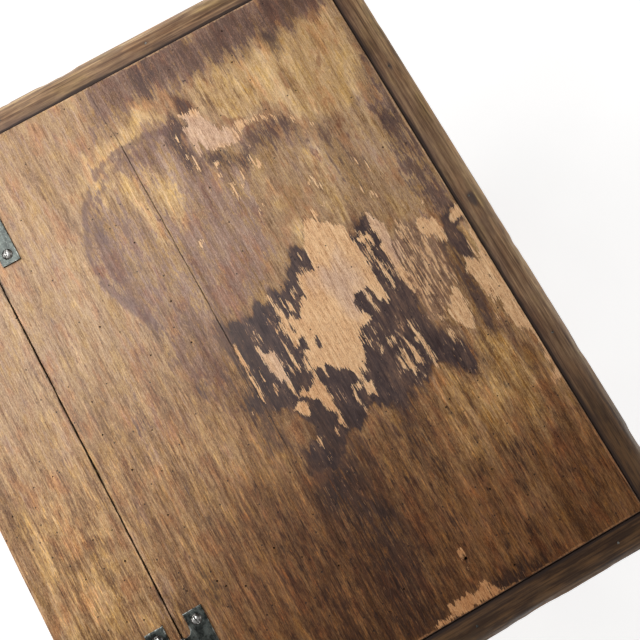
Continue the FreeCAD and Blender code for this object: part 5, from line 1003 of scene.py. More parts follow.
def wood_material(name, axis="X", seed=0, stops=None, dark=(58, 34, 23), worn=(176, 128, 82), finish=0.5, rough=(0.40, 0.58),
                  rings=0.5, ring_scale=220.0, coat=0.0, bump=0.5, wear=1.0, dirt=1.0, grime=(34, 23, 18), centre=(-0.12, 0.5),
                  tilt=(0.10, 0.05)):
    """Board with growth rings, streaks, pores, an old finish that is uneven, edge wear and grime."""
    n = Net(name)
    p, q, fine, band, pores = grain(n, axis, seed)
    p0 = n.place(n.co(), rot=AXIS_ROT[axis])
    fa = n.mul(n.sub(fine, 0.5), 3.0)
    ba = n.mul(n.sub(band, 0.5), 3.0)
    blot = n.mul(n.sub(n.noise(n.place(p, scale=(7, 16, 16), loc=(1, 5, 2)), 1.0, 4.0, 0.6), 0.5), 3.0)
    mot = n.mul(n.sub(n.noise(n.place(p, scale=(40, 110, 110), loc=(4, 5, 1)), 1.0, 4.0, 0.66), 0.5), 3.2)
    hue = n.mul(n.sub(n.noise(n.place(p, scale=(14, 40, 40), loc=(8, 1, 3)), 1.0, 3.0, 0.6), 0.5), 3.2)
    speck = n.noise(n.place(p, scale=(700, 900, 900)), 1.0, 2.0, 0.6)
    ring = growth_rings(n, p0, n.vscale(n.vadd(n.noise(n.place(p, scale=(5.0, 26.0, 26.0)), 1.0, 1.0, 0.5, color=True), (-0.5, -0.5, -0.5)),
                                        (0.0, 0.004, 0.004)), centre, tilt, ring_scale, 0.37 * seed)
    s = n.add(n.add(n.mul(fa, 0.30), n.mul(ba, 0.26)), n.add(n.mul(mot, 0.20), n.add(n.mul(blot, 0.14), 0.56)))
    s = n.sub(s, n.mul(ring, 0.30 * rings))
    stops = stops or [(0.12, srgb(68, 38, 22)), (0.38, srgb(104, 62, 36)), (0.60, srgb(136, 87, 51)), (0.90, srgb(176, 124, 76))]
    col = n.ramp(s, stops)
    col = n.mix(n.mul(n.step(hue, 0.0, 0.6), 0.55), col, n.mix(1.0, col, (0.96, 0.80, 0.70, 1.0), "MULTIPLY"))
    col = n.mix(n.mul(n.step(hue, 0.0, -0.6), 0.45), col, n.mix(1.0, col, (1.06, 1.04, 0.86, 1.0), "MULTIPLY"))
    d = n.add(n.add(n.mul(blot, 0.50), n.mul(ba, 0.26)), n.add(n.mul(mot, 0.22), finish))
    df = n.step(d, 0.10, 0.95)
    film = n.step(n.noise(n.place(p, scale=(5, 9, 9), loc=(6, 2, 8)), 1.0, 5.0, 0.62), 0.42, 0.66)
    dcol = n.mix(n.step(fa, -0.4, 0.5), srgb(*dark), srgb(*[min(255, int(c * 1.36)) for c in dark]))
    col = n.mix(n.mul(df, 0.62), col, dcol)
    col = n.mix(n.mul(film, 0.42), col, n.mix(1.0, col, (0.52, 0.44, 0.42, 1.0), "MULTIPLY"))
    po = n.step(pores, 0.60, 0.72)
    col = n.mix(n.mul(po, 0.38), col, srgb(40, 26, 20))
    a_w, a_d = n.attr("wear"), n.attr("dirt")
    chip = n.mul(n.sub(n.noise(n.place(p, scale=(110, 260, 260), loc=(2, 7, 7)), 1.0, 4.0, 0.68), 0.5), 3.0)
    w = n.step(n.add(n.mul(a_w, wear), n.mul(chip, 0.42)), 0.50, 0.74)
    thin = n.step(n.add(n.mul(a_w, wear), n.mul(chip, 0.30)), 0.12, 0.60)
    col = n.mix(n.mul(thin, 0.40), col, srgb(*[int(c * 0.78) for c in worn]))
    wc = n.mix(n.step(fa, -0.4, 0.5), srgb(*[int(c * 0.84) for c in worn]), srgb(*worn))
    col = n.mix(n.mul(w, 0.74), col, wc)
    g = n.step(n.add(n.mul(a_d, dirt), n.mul(blot, 0.18)), 0.15, 0.95)
    col = n.mix(n.mul(g, 0.80), col, srgb(*grime))
    sc = n.noise(n.place(p, scale=(26, 520, 520), rot=(0.2, 0.5, 0.6), loc=(4, 1, 6)), 1.0, 1.0, 0.4)
    sc2 = n.noise(n.place(p, scale=(420, 30, 420), rot=(0.7, 0.1, 0.9), loc=(2, 1, 3)), 1.0, 1.0, 0.4)
    scr = n.m("MAXIMUM", n.step(sc, 0.735, 0.765), n.step(sc2, 0.745, 0.77))
    col = n.mix(n.mul(scr, 0.22), col, srgb(*[int(c * 0.95) for c in worn]))
    ro = n.lerp(df, rough[1], rough[0])
    ro = n.lerp(n.m("MAXIMUM", w, g), ro, 0.72)
    h = n.add(n.mul(fine, 0.4), n.add(n.mul(n.sub(1.0, po), 0.4), n.mul(n.sub(1.0, w), 0.3)))
    h = n.add(h, n.add(n.mul(speck, 0.2), n.mul(n.sub(1.0, scr), 0.2)))
    nor = n.bump(h, bump, 0.00025)
    return n.finish(col, ro, nor, spec=0.24, coat=coat, coat_rough=0.35)


def raw_material(name, axis="X", seed=0, stops=None, bump=0.8, soot=0.35, centre=(0.16, 0.60), tilt=(0.08, 0.05)):
    """Secondary wood that never had a finish: planed, oxidised and dusty."""
    n = Net(name)
    p, q, fine, band, pores = grain(n, axis, seed, 1.4)
    p0 = n.place(n.co(), rot=AXIS_ROT[axis])
    fa = n.mul(n.sub(fine, 0.5), 3.0)
    ba = n.mul(n.sub(band, 0.5), 3.0)
    blot = n.mul(n.sub(n.noise(n.place(p, scale=(6, 18, 18), loc=(1, 5, 2)), 1.0, 4.0, 0.62), 0.5), 3.0)
    mot = n.mul(n.sub(n.noise(n.place(p, scale=(30, 90, 90), loc=(2, 5, 4)), 1.0, 4.0, 0.66), 0.5), 3.2)
    ring = growth_rings(n, p0, n.vscale(n.vadd(n.noise(n.place(p, scale=(5.0, 24.0, 24.0)), 1.0, 1.0, 0.5, color=True), (-0.5, -0.5, -0.5)),
                                        (0.0, 0.004, 0.004)), centre, tilt, 190.0, 0.61 * seed)
    s = n.add(n.add(n.mul(fa, 0.30), n.mul(ba, 0.24)), n.add(n.mul(mot, 0.20), n.add(n.mul(blot, 0.12), 0.56)))
    s = n.sub(s, n.mul(ring, 0.24))
    stops = stops or [(0.12, srgb(112, 82, 54)), (0.45, srgb(152, 119, 84)), (0.90, srgb(190, 158, 117))]
    col = n.ramp(s, stops)
    col = n.mix(n.step(blot, -0.20, 0.65, 0.0, soot), col, srgb(88, 66, 46))
    po = n.step(pores, 0.63, 0.73)
    col = n.mix(n.mul(po, 0.3), col, srgb(80, 58, 40))
    # plane strokes across the board and a few rubs
    tear = n.noise(n.place(p, scale=(8, 38, 38), loc=(3, 3, 3)), 1.0, 1.0, 0.4)
    w = n.step(n.add(n.attr("wear"), n.mul(blot, 0.4)), 0.5, 0.9)
    col = n.mix(n.mul(w, 0.45), col, srgb(192, 160, 120))
    g = n.step(n.add(n.attr("dirt"), n.mul(blot, 0.25)), 0.15, 1.0)
    col = n.mix(n.mul(g, 0.65), col, srgb(58, 42, 30))
    h = n.add(n.mul(fine, 0.6), n.add(n.mul(n.sub(1.0, po), 0.3), n.mul(tear, 1.2)))
    nor = n.bump(h, bump, 0.0003)
    return n.finish(col, n.step(blot, -0.5, 0.7, 0.70, 0.86), nor, spec=0.25)


def iron_material(name, base=(62, 61, 62), bright=(168, 166, 162), rust=0.35, rough=(0.38, 0.62), bump=0.5):
    n = Net(name)
    p = n.co()
    big = n.noise(n.place(p, scale=(160, 160, 160)), 1.0, 4.0, 0.62)
    pit = n.noise(n.place(p, scale=(900, 900, 900)), 1.0, 3.0, 0.6)
    scr = n.noise(n.place(p, scale=(250, 3500, 900), rot=(0, 0, 0.5)), 1.0, 1.0, 0.4)
    col = n.mix(n.step(big, 0.35, 0.7), srgb(*[int(c * 0.6) for c in base]), srgb(*[min(255, int(c * 1.35)) for c in base]))
    w = n.step(n.add(n.attr("wear"), n.mul(n.sub(big, 0.5), 1.1)), 0.50, 0.85)
    col = n.mix(w, col, srgb(*bright))
    col = n.mix(n.mul(n.step(scr, 0.66, 0.74), 0.35), col, srgb(*bright))
    ru = n.mul(n.step(n.add(pit, n.mul(big, 0.5)), 0.82, 0.98), n.sub(1.0, n.mul(w, 0.8)))
    col = n.mix(n.mul(ru, rust), col, srgb(98, 60, 38))
    g = n.step(n.add(n.attr("dirt"), n.mul(n.sub(pit, 0.5), 0.5)), 0.3, 1.0)
    col = n.mix(n.mul(g, 0.8), col, srgb(24, 20, 18))
    ro = n.lerp(w, n.step(big, 0.3, 0.75, rough[0], rough[1]), 0.30)
    ro = n.lerp(ru, ro, 0.85)
    nor = n.bump(n.add(n.mul(pit, 0.5), n.mul(big, 0.8)), bump, 0.0003)
    return n.finish(col, ro, nor, metallic=0.85, spec=0.5)


def brass_material(name):
    n = Net(name)
    p = n.co()
    big = n.noise(n.place(p, scale=(120, 120, 120)), 1.0, 4.0, 0.62)
    pit = n.noise(n.place(p, scale=(1100, 1100, 1100)), 1.0, 3.0, 0.6)
    hair = n.noise(n.place(p, scale=(300, 300, 4200), rot=(0.2, 0.1, 0.4)), 1.0, 1.0, 0.4)
    col = n.mix(n.step(big, 0.35, 0.7), srgb(116, 84, 40), srgb(166, 128, 66))
    w = n.step(n.add(n.attr("wear"), n.mul(n.sub(big, 0.5), 1.0)), 0.5, 0.85)
    col = n.mix(w, col, srgb(214, 178, 104))
    col = n.mix(n.mul(n.step(hair, 0.6, 0.72), 0.25), col, srgb(222, 190, 120))
    g = n.step(n.add(n.attr("dirt"), n.mul(n.sub(pit, 0.5), 0.6)), 0.2, 0.9)
    col = n.mix(n.mul(g, 0.75), col, srgb(52, 38, 22))
    col = n.mix(n.step(pit, 0.66, 0.78, 0.0, 0.4), col, srgb(70, 58, 36))
    ro = n.lerp(w, n.step(big, 0.3, 0.75, 0.36, 0.52), 0.24)
    nor = n.bump(n.add(n.mul(pit, 0.4), n.mul(big, 0.6)), 0.35, 0.0002)
    return n.finish(col, ro, nor, metallic=0.95, spec=0.5)


# ---------------------------------------------------------------------------
# finish of the top, with painted shade at its left end, as values on the vertices
# ---------------------------------------------------------------------------
def finish_fields(px, py):
    """Wear on the top, with painted shade at its left end, at points of the rest frame, millimetres."""
    px = np.asarray(px, float)
    X, Y = px, np.asarray(py, float) - CRACK_Y
    row = vnoise(X / 11.0, Y / 1.05, 0.0, 5) - 0.5
    row2 = vnoise(X / 30.0, Y / 2.7, 0.0, 9) - 0.5
    row3 = vnoise(X / 40.0, Y / 7.0, 0.0, 12) - 0.5
    Xs = X + 3.6 * row + 3.2 * row2 + 2.0 * row3
    Ys = Y + 0.5 * (vnoise(X / 5.0, Y / 2.0, 0.0, 4) - 0.5)
    bare = np.full(X.shape, -6.0)
    for poly in BARE:
        m = near_poly(X, Y, poly, 9)
        if m.any():
            bare[m] = np.maximum(bare[m], poly_distance(Xs[m], Ys[m], poly))
    for poly in BARE_HOLES:
        m = near_poly(X, Y, poly, 9)
        if m.any():
            bare[m] = np.minimum(bare[m], -poly_distance(Xs[m], Ys[m], poly))
    bare = np.clip(bare, -6, 6)

    sx_ = 0.7 * vnoise(X / 40.0, Y / 2.6, 0.0, 21) + 1.5 * vnoise(X / 60.0, Y / 9.5, 0.0, 23) + 0.5 * vnoise(X / 15.0, Y / 1.4, 0.0, 24)
    sx_ = sx_ + 1.2 * vnoise(X / 60.0, Y / 27.0, 0.0, 26) - 1.95
    sy_ = vnoise(X / 34.0, Y / 20.0, 0.0, 22) + vnoise(X / 12.0, Y / 8.0, 0.0, 25) - 1.0

    def soft(table, wob=14.0, wide=1.5, grow=0.0):
        out = np.zeros(X.shape)
        for (k, s, poly) in table:
            h = max(q[1] for q in poly) - min(q[1] for q in poly)
            s = min(s * wide + grow, max(0.8 * s, 0.34 * h))
            m = near_poly(X, Y, poly, s * 1.3 + wob)
            if not m.any():
                continue
            d = poly_distance(X[m] + wob * sx_[m], Y[m] + 0.28 * wob * sy_[m], poly)
            v = k * smooth(-s, s, d)
            out[m] = 1 - (1 - out[m]) * (1 - v) if k < 0.6 else np.maximum(out[m], v)
        return np.clip(out, 0, 1)

    dark, stain, gold = soft(DARK, 9.0, 1.6, 1.5), soft(STAIN, 11.0, 1.7, 2.0), soft(GOLD, 11.0, 1.8, 3.0)
    semi, fleck, red, grey = soft(SEMI, 12.0), soft(FLECK, 12.0), soft(RED, 9.0), soft(GREY, 12.0, 1.0)
    tide = np.zeros(X.shape)
    for (k, w, pts) in TIDE:
        xs_, ys_ = [p[0] for p in pts], [p[1] for p in pts]
        m = (X > min(xs_) - 3 * w) & (X < max(xs_) + 3 * w) & (Y > min(ys_) - 3 * w) & (Y < max(ys_) + 3 * w)
        if m.any():
            d = line_distance(X[m] + 5 * (vnoise(X[m] / 20.0, Y[m] / 2.5, 0.0, 41) - 0.5), Y[m], pts)
            brk = 0.55 + 0.9 * (fbm(X[m] / 14.0, Y[m] / 9.0, 0.0, 43, 2) - 0.35)
            tide[m] = np.maximum(tide[m], 1.35 * k * brk * np.exp(-(d / (0.8 * w)) ** 2))
    # the left end keeps a darker finish, deepened with painted shade where the key light falls off
    shade = smooth(-95.0 - 50.0 * smooth(-30.0, 10.0, Y), -235.0, X + 30 * (vnoise(X / 60.0, Y / 8.0, 0.0, 51) - 0.5))
    shade = shade * (0.70 + 0.30 * smooth(-10, -150, Y))
    shade = 1 - (1 - shade) * (1 - soft(SHADE, 16.0, 1.2))
    paler = soft(PALER, 12.0, 1.2)
    shade, dark = shade * (1 - paler), dark * (1 - 0.7 * paler)
    return dict(bare=bare, dark=dark, stain=stain, gold=gold, semi=semi, fleck=fleck, red=red, grey=grey, shade=shade, tide=tide)


def top_height(px, py):
    X, Y = px, py - CRACK_Y
    h = -0.13 + 0.22 * (fbm(px / 85.0, py / 55.0, 0.0, 3, 2) - 0.5)
    h = h + 0.09 * (vnoise(px / 60.0, py / 5.5, 0.0, 8) - 0.5)
    h = h + 0.05 * (vnoise(px / 25.0, py / 2.2, 0.0, 18) - 0.5)
    # knock near the left end
    g = np.exp(-(((X + 257.7) / 5.2) ** 2 + ((Y + 250.6) / 1.5) ** 2))
    g2 = np.exp(-(((X + 252.0) / 3.0) ** 2 + ((Y + 249.0) / 1.2) ** 2))
    h = h - 1.05 * g - 0.45 * g2
    for (dx, dy, rx, ry, dep) in DENTS:
        h = h - dep * np.exp(-(((X - dx) / rx) ** 2 + ((Y - dy) / ry) ** 2))
    return h


DENTS = [(142.0, -60.0, 5, 2.2, 0.28), (-35.0, -122.0, 3.2, 1.6, 0.22), (250.0, -380.0, 4, 2.5, 0.3), (-110.0, -382.0, 6, 1.8, 0.25),
         (64.0, -356.0, 2.6, 1.8, 0.25), (-222.0, -52.0, 2.2, 2.0, 0.3), (18.0, -92.0, 7, 1.4, 0.2), (206.0, -62.0, 3, 3, 0.3),
         (-182.0, -262.0, 4, 2, 0.25), (112.0, -300.0, 3.4, 1.5, 0.2), (-30.0, 52.0, 4, 1.8, 0.3), (182.0, 42.0, 3, 2, 0.3),
         (-262.0, 62.0, 5, 1.8, 0.3), (84.0, 80.0, 2.2, 2.4, 0.3), (268.0, -212.0, 2.4, 5, 0.22), (-61.0, -408.0, 9, 2.0, 0.5),
         (-151.0, -406.5, 7, 2.2, 0.4), (93.0, -407.5, 6, 1.8, 0.35), (298.0, -62.0, 2.0, 6, 0.5), (-298.0, -292.0, 2.0, 8, 0.5)]


def crack_profile(px):
    return 0.45 * (fbm(px / 9.0, 0.0, 0.0, 61, 3) - 0.5) + 0.35 * (vnoise(px / 2.7, 0.0, 0.0, 62) - 0.5)


def joint_gap(px):
    """Half the opening of the split between the two lid boards, and how far it strays."""
    g = 0.02 + 0.11 * smooth(-8, 14, px) * smooth(262, 222, px) * (0.75 + 0.5 * vnoise(px / 6.0, 0.0, 0.0, 71))
    stray = 0.5 * (vnoise(px / 34.0, 0.0, 0.0, 72) - 0.5) + 0.35 * (vnoise(px / 5.0, 0.0, 0.0, 73) - 0.5)
    stray = stray + 2.2 * smooth(238, 262, px)
    return g, stray


def ripple(px, py):
    return 0.10 * (vnoise(px / 17.0, py / 17.0, 0.0, 81) - 0.5)


def fields_front(px, py, kind):
    f = finish_fields(px, py)
    X, Y = px, py - CRACK_Y
    g = np.exp(-(((X + 257.7) / 4.4) ** 2 + ((Y + 250.6) / 1.1) ** 2))
    hole = np.where(kind > 0.5, np.where(kind > 1.5, 1.0, 0.85), 0.0)
    hole = np.maximum(hole, 0.75 * smooth(0.30, 0.62, g))
    gap, _ = joint_gap(px)
    hole = np.maximum(hole, smooth(0.9, 0.0, JOINT_Y - py) * (0.15 + 2.6 * gap))
    hole = np.maximum(hole, 0.62 * smooth(1.3, 0.1, HALF - np.abs(px)))
    hole = np.maximum(hole, 0.55 * smooth(1.1, 0.1, py - FRONT_Y) * (1 - smooth(-150, -140, X) * smooth(30, 20, X)))
    near = np.minimum(HALF - np.abs(px), py - FRONT_Y)
    edge = smooth(5.5, 0.6, near) * (0.55 + 0.7 * (fbm(px / 26.0, py / 26.0, 0.0, 91, 2)))
    f.update(hole=hole, edge=edge)
    return f


def fields_rear(px, py, kind):
    f = finish_fields(px, py)
    hole = np.where(kind > 0.5, np.where(kind > 1.5, 1.0, 0.85), 0.0)
    gap, _ = joint_gap(px)
    hole = np.maximum(hole, smooth(0.9, 0.0, py - JOINT_Y) * (0.15 + 2.6 * gap))
    hole = np.maximum(hole, smooth(0.9 + 1.6 * vnoise(px / 13.0, 0.0, 0.0, 66) ** 3, 0.05, 169.5 - py) * 0.9)
    hole = np.maximum(hole, 0.62 * smooth(1.3, 0.1, HALF - np.abs(px)))
    edge = smooth(4.5, 0.8, 169.5 - py) * (0.35 + 0.9 * (fbm(px / 18.0, py / 18.0, 0.0, 92, 2)))
    edge = np.maximum(edge, smooth(5.0, 0.6, HALF - np.abs(px)) * (0.5 + 0.7 * fbm(px / 26.0, py / 26.0, 0.0, 93, 2)))
    f.update(hole=hole, edge=edge)
    return f


def fields_top(px, py, kind):
    f = finish_fields(px, py)
    hole = np.where(kind > 0.5, np.where(kind > 1.5, 1.0, 0.85), 0.0)
    hole = np.maximum(hole, smooth(0.9 + 1.6 * vnoise(px / 13.0, 0.0, 0.0, 67) ** 3, 0.05, py - 170.5) * 0.9)
    hole = np.maximum(hole, 0.62 * smooth(1.3, 0.1, HALF - np.abs(px)))
    edge = smooth(4.5, 0.8, py - 170.5) * (0.35 + 0.9 * (fbm(px / 18.0, py / 18.0, 0.0, 94, 2)))
    edge = np.maximum(edge, smooth(8.0, 0.5, BACK_Y - py) * (0.6 + 0.8 * fbm(px / 22.0, py / 22.0, 0.0, 95, 2)))
    f.update(hole=hole, edge=edge)
    return f


def _spread(xs):
    """The same lines, with one more between each two where the finish is most worn."""
    out = []
    for a, b in zip(xs[:-1], xs[1:]):
        out.append(a)
        if -124 < a < 98 or 148 < a < 226:
            out.append(0.5 * (a + b))
    out.append(xs[-1])
    return np.array(out)


def build_top(M):
    xs = lines(-HALF, HALF, 2.5, (0.0, 0.3, 0.7, 1.3))
    xf = _spread(xs)
    holes = [(x, y + CRACK_Y, r) for (x, y, r) in HOLES]

    def inside(y0, y1):
        return [h for h in holes if y0 + 4 < h[1] < y1 - 4]

    ys = lines(FRONT_Y, JOINT_Y, 1.0, (0.0, 0.25, 0.55, 1.0))
    for want in (-233.0, -215.0):
        ys[int(np.argmin(abs(ys - want)))] = want

    def arris_front(px, py):
        front = 0.75 + 0.8 * vnoise(px / 40.0, 0.0, 0.0, 101)
        end = 0.7 + 0.8 * vnoise(py / 40.0, 0.0, 0.0, 102)
        gap, _ = joint_gap(px)
        joint = 0.10 + 1.6 * gap
        r = np.where(py - FRONT_Y < 4.0, front, np.where(JOINT_Y - py < 4.0, joint, end))
        return np.where(HALF - np.abs(px) < 4.0, np.minimum(end, np.where(JOINT_Y - py < 2.0, joint, end)), r)

    def shift_front(px, py):
        gap, stray = joint_gap(px)
        k = smooth(7.0, 0.0, JOINT_Y - py) * smooth(0.0, 6.0, HALF - np.abs(px))
        sy = k * stray - smooth(1.2, 0.0, JOINT_Y - py) * gap
        rip = ripple(px, py)
        sy = sy + smooth(3.0, 0.0, py - FRONT_Y) * np.clip(rip, 0, 1)
        return 0.0, sy

    slab("lid_front_board_skin", xf, ys, TOP, UNDER, top_height, fields_front, [M["top"], M["top_under"]], "lid",
         ["lid_front_board"], inside(FRONT_Y, JOINT_Y), (-30, 30, -233, -215, 2.0), arris_front, shift_front, 40.0)

    ys = lines(JOINT_Y, 169.5, 1.0, (0.0, 0.25, 0.55, 1.0))

    def arris_rear(px, py):
        gap, _ = joint_gap(px)
        joint = 0.10 + 1.6 * gap
        crack = 0.45 + 0.7 * vnoise(px / 22.0, 0.0, 0.0, 103)
        end = 0.7 + 0.8 * vnoise(py / 40.0, 0.0, 0.0, 102)
        r = np.where(py - JOINT_Y < 4.0, joint, np.where(169.5 - py < 4.0, crack, end))
        return np.where(HALF - np.abs(px) < 4.0, np.minimum(end, r), r)

    def shift_rear(px, py):
        gap, stray = joint_gap(px)
        k = smooth(7.0, 0.0, py - JOINT_Y) * smooth(0.0, 6.0, HALF - np.abs(px))
        sy = k * stray + smooth(1.2, 0.0, py - JOINT_Y) * gap
        sy = sy + smooth(2.5, 0.0, 169.5 - py) * np.minimum(crack_profile(px) + 0.16, 0.34)
        return 0.0, sy

    slab("lid_rear_board_skin", xs, ys, TOP, UNDER, top_height, fields_rear, [M["top"], M["top_under"]], "lid",
         ["lid_rear_board"], inside(JOINT_Y, 169.5), None, arris_rear, shift_rear, 40.0)

    ys = lines(170.5, BACK_Y, 1.05, (0.0, 0.25, 0.55, 1.0))

    def arris_top(px, py):
        crack = 0.45 + 0.7 * vnoise(px / 22.0, 3.0, 0.0, 104)
        back = 1.0 + 0.9 * vnoise(px / 40.0, 5.0, 0.0, 105)
        end = 0.7 + 0.8 * vnoise(py / 40.0, 0.0, 0.0, 102)
        r = np.where(py - 170.5 < 4.0, crack, np.where(BACK_Y - py < 4.0, back, end))
        return np.where(HALF - np.abs(px) < 4.0, np.minimum(end, r), r)

    def shift_top(px, py):
        return 0.0, smooth(2.5, 0.0, py - 170.5) * np.maximum(crack_profile(px + 40) - 0.16, -0.34)

    slab("rear_top_board_skin", xs, ys, TOP, UNDER, top_height, fields_top, [M["top"], M["top_under"]], "case",
         ["rear_top_board"], inside(170.5, BACK_Y), None, arris_top, shift_top, 40.0)


# ---------------------------------------------------------------------------
# mouldings round the top
# ---------------------------------------------------------------------------
def moulding_profile():
    pts = [(0.0, -3.3), (0.8, -3.32), (1.38, -3.25), (1.5, -2.95), (1.56, -2.62)]
    for k in range(24):
        t = math.radians(88 - k * (82.0 / 23))
        pts.append((1.5 + 28.5 * math.cos(t), -12.0 + 9.5 * math.sin(t)))
    pts += [(30.0, -11.6), (30.0, -13.5), (30.0, -17.0), (30.0, -21.0), (30.0, -25.0), (30.0, -27.6), (29.85, -28.4),
            (29.2, -29.2), (28.4, -29.85), (27.6, -30.0), (20.0, -30.0), (10.0, -30.0), (0.0, -30.0)]
    return pts


def moulding(name, side, lo, hi, mitre_lo, mitre_hi, mat, body, node, seed):
    """side 'x+', 'x-' or 'y-'. lo, hi: run at u = 0; each mitre adds u at its end."""
    pts = moulding_profile()
    n = max(8, int((hi - lo) / 2.6))
    V, U, T = [], [], []
    m = len(pts)
    for i in range(n + 1):
        t = i / n
        for (u, h) in pts:
            a = lo - (u if mitre_lo else 0.0)
            b = hi + (u if mitre_hi else 0.0)
            s = a + (b - a) * t
            V.append((s, u, h))
            U.append(u)
            T.append(t)
    V = np.array(V)
    s, u, h = V[:, 0], V[:, 1], V[:, 2]
    inner = smooth(1.4, 4.0, u)
    top = (h > -14.0)
    # dips, dents and a rubbed outer arris
    dh = -0.16 * fbm(s / 70.0, u / 22.0, 0.0, seed, 2) - 0.10 * vnoise(s / 11.0, u / 3.0, 0.0, seed + 1)
    outer = smooth(24.0, 29.5, u) * np.where(h > -27.0, smooth(-27.0, -20.0, h), smooth(-27.0, -29.8, -h - 54))
    rub = smooth(0.52, 0.8, fbm(s / 34.0, 0.0, 0.0, seed + 2, 3)) * smooth(25.0, 29.6, u) * smooth(-17.5, -12.0, h)
    du = -0.9 * rub - 0.10 * vnoise(s / 28.0, h / 9.0, 0.0, seed + 3) * smooth(20, 29, u)
    dh = dh - 0.7 * rub
    for k in range(7):
        c = lo + (hi - lo) * ((0.113 + 0.618 * (k + seed * 0.37)) % 1.0)
        w = 2.0 + 3.5 * ((k * 0.37 + seed * 0.11) % 1.0)
        uu = (29.0, 6.0, 17.0, 28.5, 12.0, 29.5, 24.0)[k]
        d = np.exp(-(((s - c) / w) ** 2 + ((u - uu) / 2.0) ** 2))
        dh = dh - 0.5 * d * top
    u2 = u + du * inner
    h2 = h + dh * inner * np.where(top, 1.0, 0.25)
    q = dict(u=u2)
    wear = 0.30 * smooth(4.2, 2.2, u) * (h > -3.3)
    wear = np.maximum(wear, smooth(21.0, 29.0, u) * smooth(-24.0, -13.0, h) * (0.42 + 0.5 * fbm(s / 40.0, 0.0, 0.0, seed + 5, 2)))
    wear = np.maximum(wear, 0.55 * smooth(-29.9, -28.3, h) * (h < -27.2) * (u > 27))
    wear = np.maximum(wear, rub)
    # dark band in the quirk: grime plus painted shadow cast by the board's step; a little dirt underneath
    quirk = 3.0 + 2.6 * vnoise(s / 34.0, 0.0, 0.0, seed + 6) + 1.2 * vnoise(s / 9.0, 0.0, 0.0, seed + 7)
    dirt = np.maximum(smooth(quirk + 1.8, 1.2, u) * (h > -6.0), 0.35 * smooth(0.0, 1.0, (h < -27.5)))
    end = np.minimum(s - (lo - np.where(mitre_lo, u, 0)), (hi + np.where(mitre_hi, u, 0)) - s)
    if mitre_lo or mitre_hi:
        em = (s - (lo - u)) if mitre_lo else 1e6
        em2 = ((hi + u) - s) if mitre_hi else 1e6
        dirt = np.maximum(dirt, 0.8 * smooth(0.9, 0.0, np.minimum(em, em2)))
    if side == "y-":
        X, Y = s, FRONT_Y - u2
    elif side == "x+":
        X, Y = HALF + u2, s
    else:
        X, Y = -HALF - u2, s
    Z = TOP + h2
    # painted shade and darker finish towards the left end, as on the top
    shade = smooth(-95.0, -235.0, X)
    nail = np.zeros(len(X))
    if side == "y-":
        nx_, ny_ = X - 21.0, (Y - CRACK_Y) + 425.5
        nail = np.exp(-((nx_ / 9.5) ** 2 + (ny_ / 4.2) ** 2)) * (h > -14)
        for (cx, k) in ((-125.0, 0.5), (175.0, 0.55), (-275.0, 0.4)):
            nail = np.maximum(nail, k * np.exp(-(((X - cx) / 6.0) ** 2 + ((u - 15.0) / 3.5) ** 2)) * (h > -14))
    else:
        for cy in (-205.0, -60.0, 100.0, 192.0, 248.0):
            nail = np.maximum(nail, 0.5 * np.exp(-(((Y - cy) / 5.0) ** 2 + ((u - 15.0) / 3.5) ** 2)) * (h > -14))
    faces = []
    flip = side == "x+"
    for i in range(n):
        for j in range(m - 1):
            a, b, c, d = i * m + j, i * m + j + 1, (i + 1) * m + j + 1, (i + 1) * m + j
            faces.append((a, b, c, d) if not flip else (a, d, c, b))
        a, b, c, d = i * m + m - 1, i * m, (i + 1) * m, (i + 1) * m + m - 1
        faces.append((a, b, c, d) if not flip else (a, d, c, b))
    e0 = list(range(m))
    e1 = [n * m + j for j in range(m)]
    faces.append(tuple(e0 if flip else reversed(e0)))
    faces.append(tuple(reversed(e1) if flip else e1))
    if side == "x-":
        faces = [tuple(f) for f in faces]
    make_object(name, np.stack([X, Y, Z], 1), faces, [mat], body, [node],
                dict(u=u, wear=wear, dirt=dirt, shade=shade, nail=nail, under=(h < -27.5) * 1.0), None, 34.0)


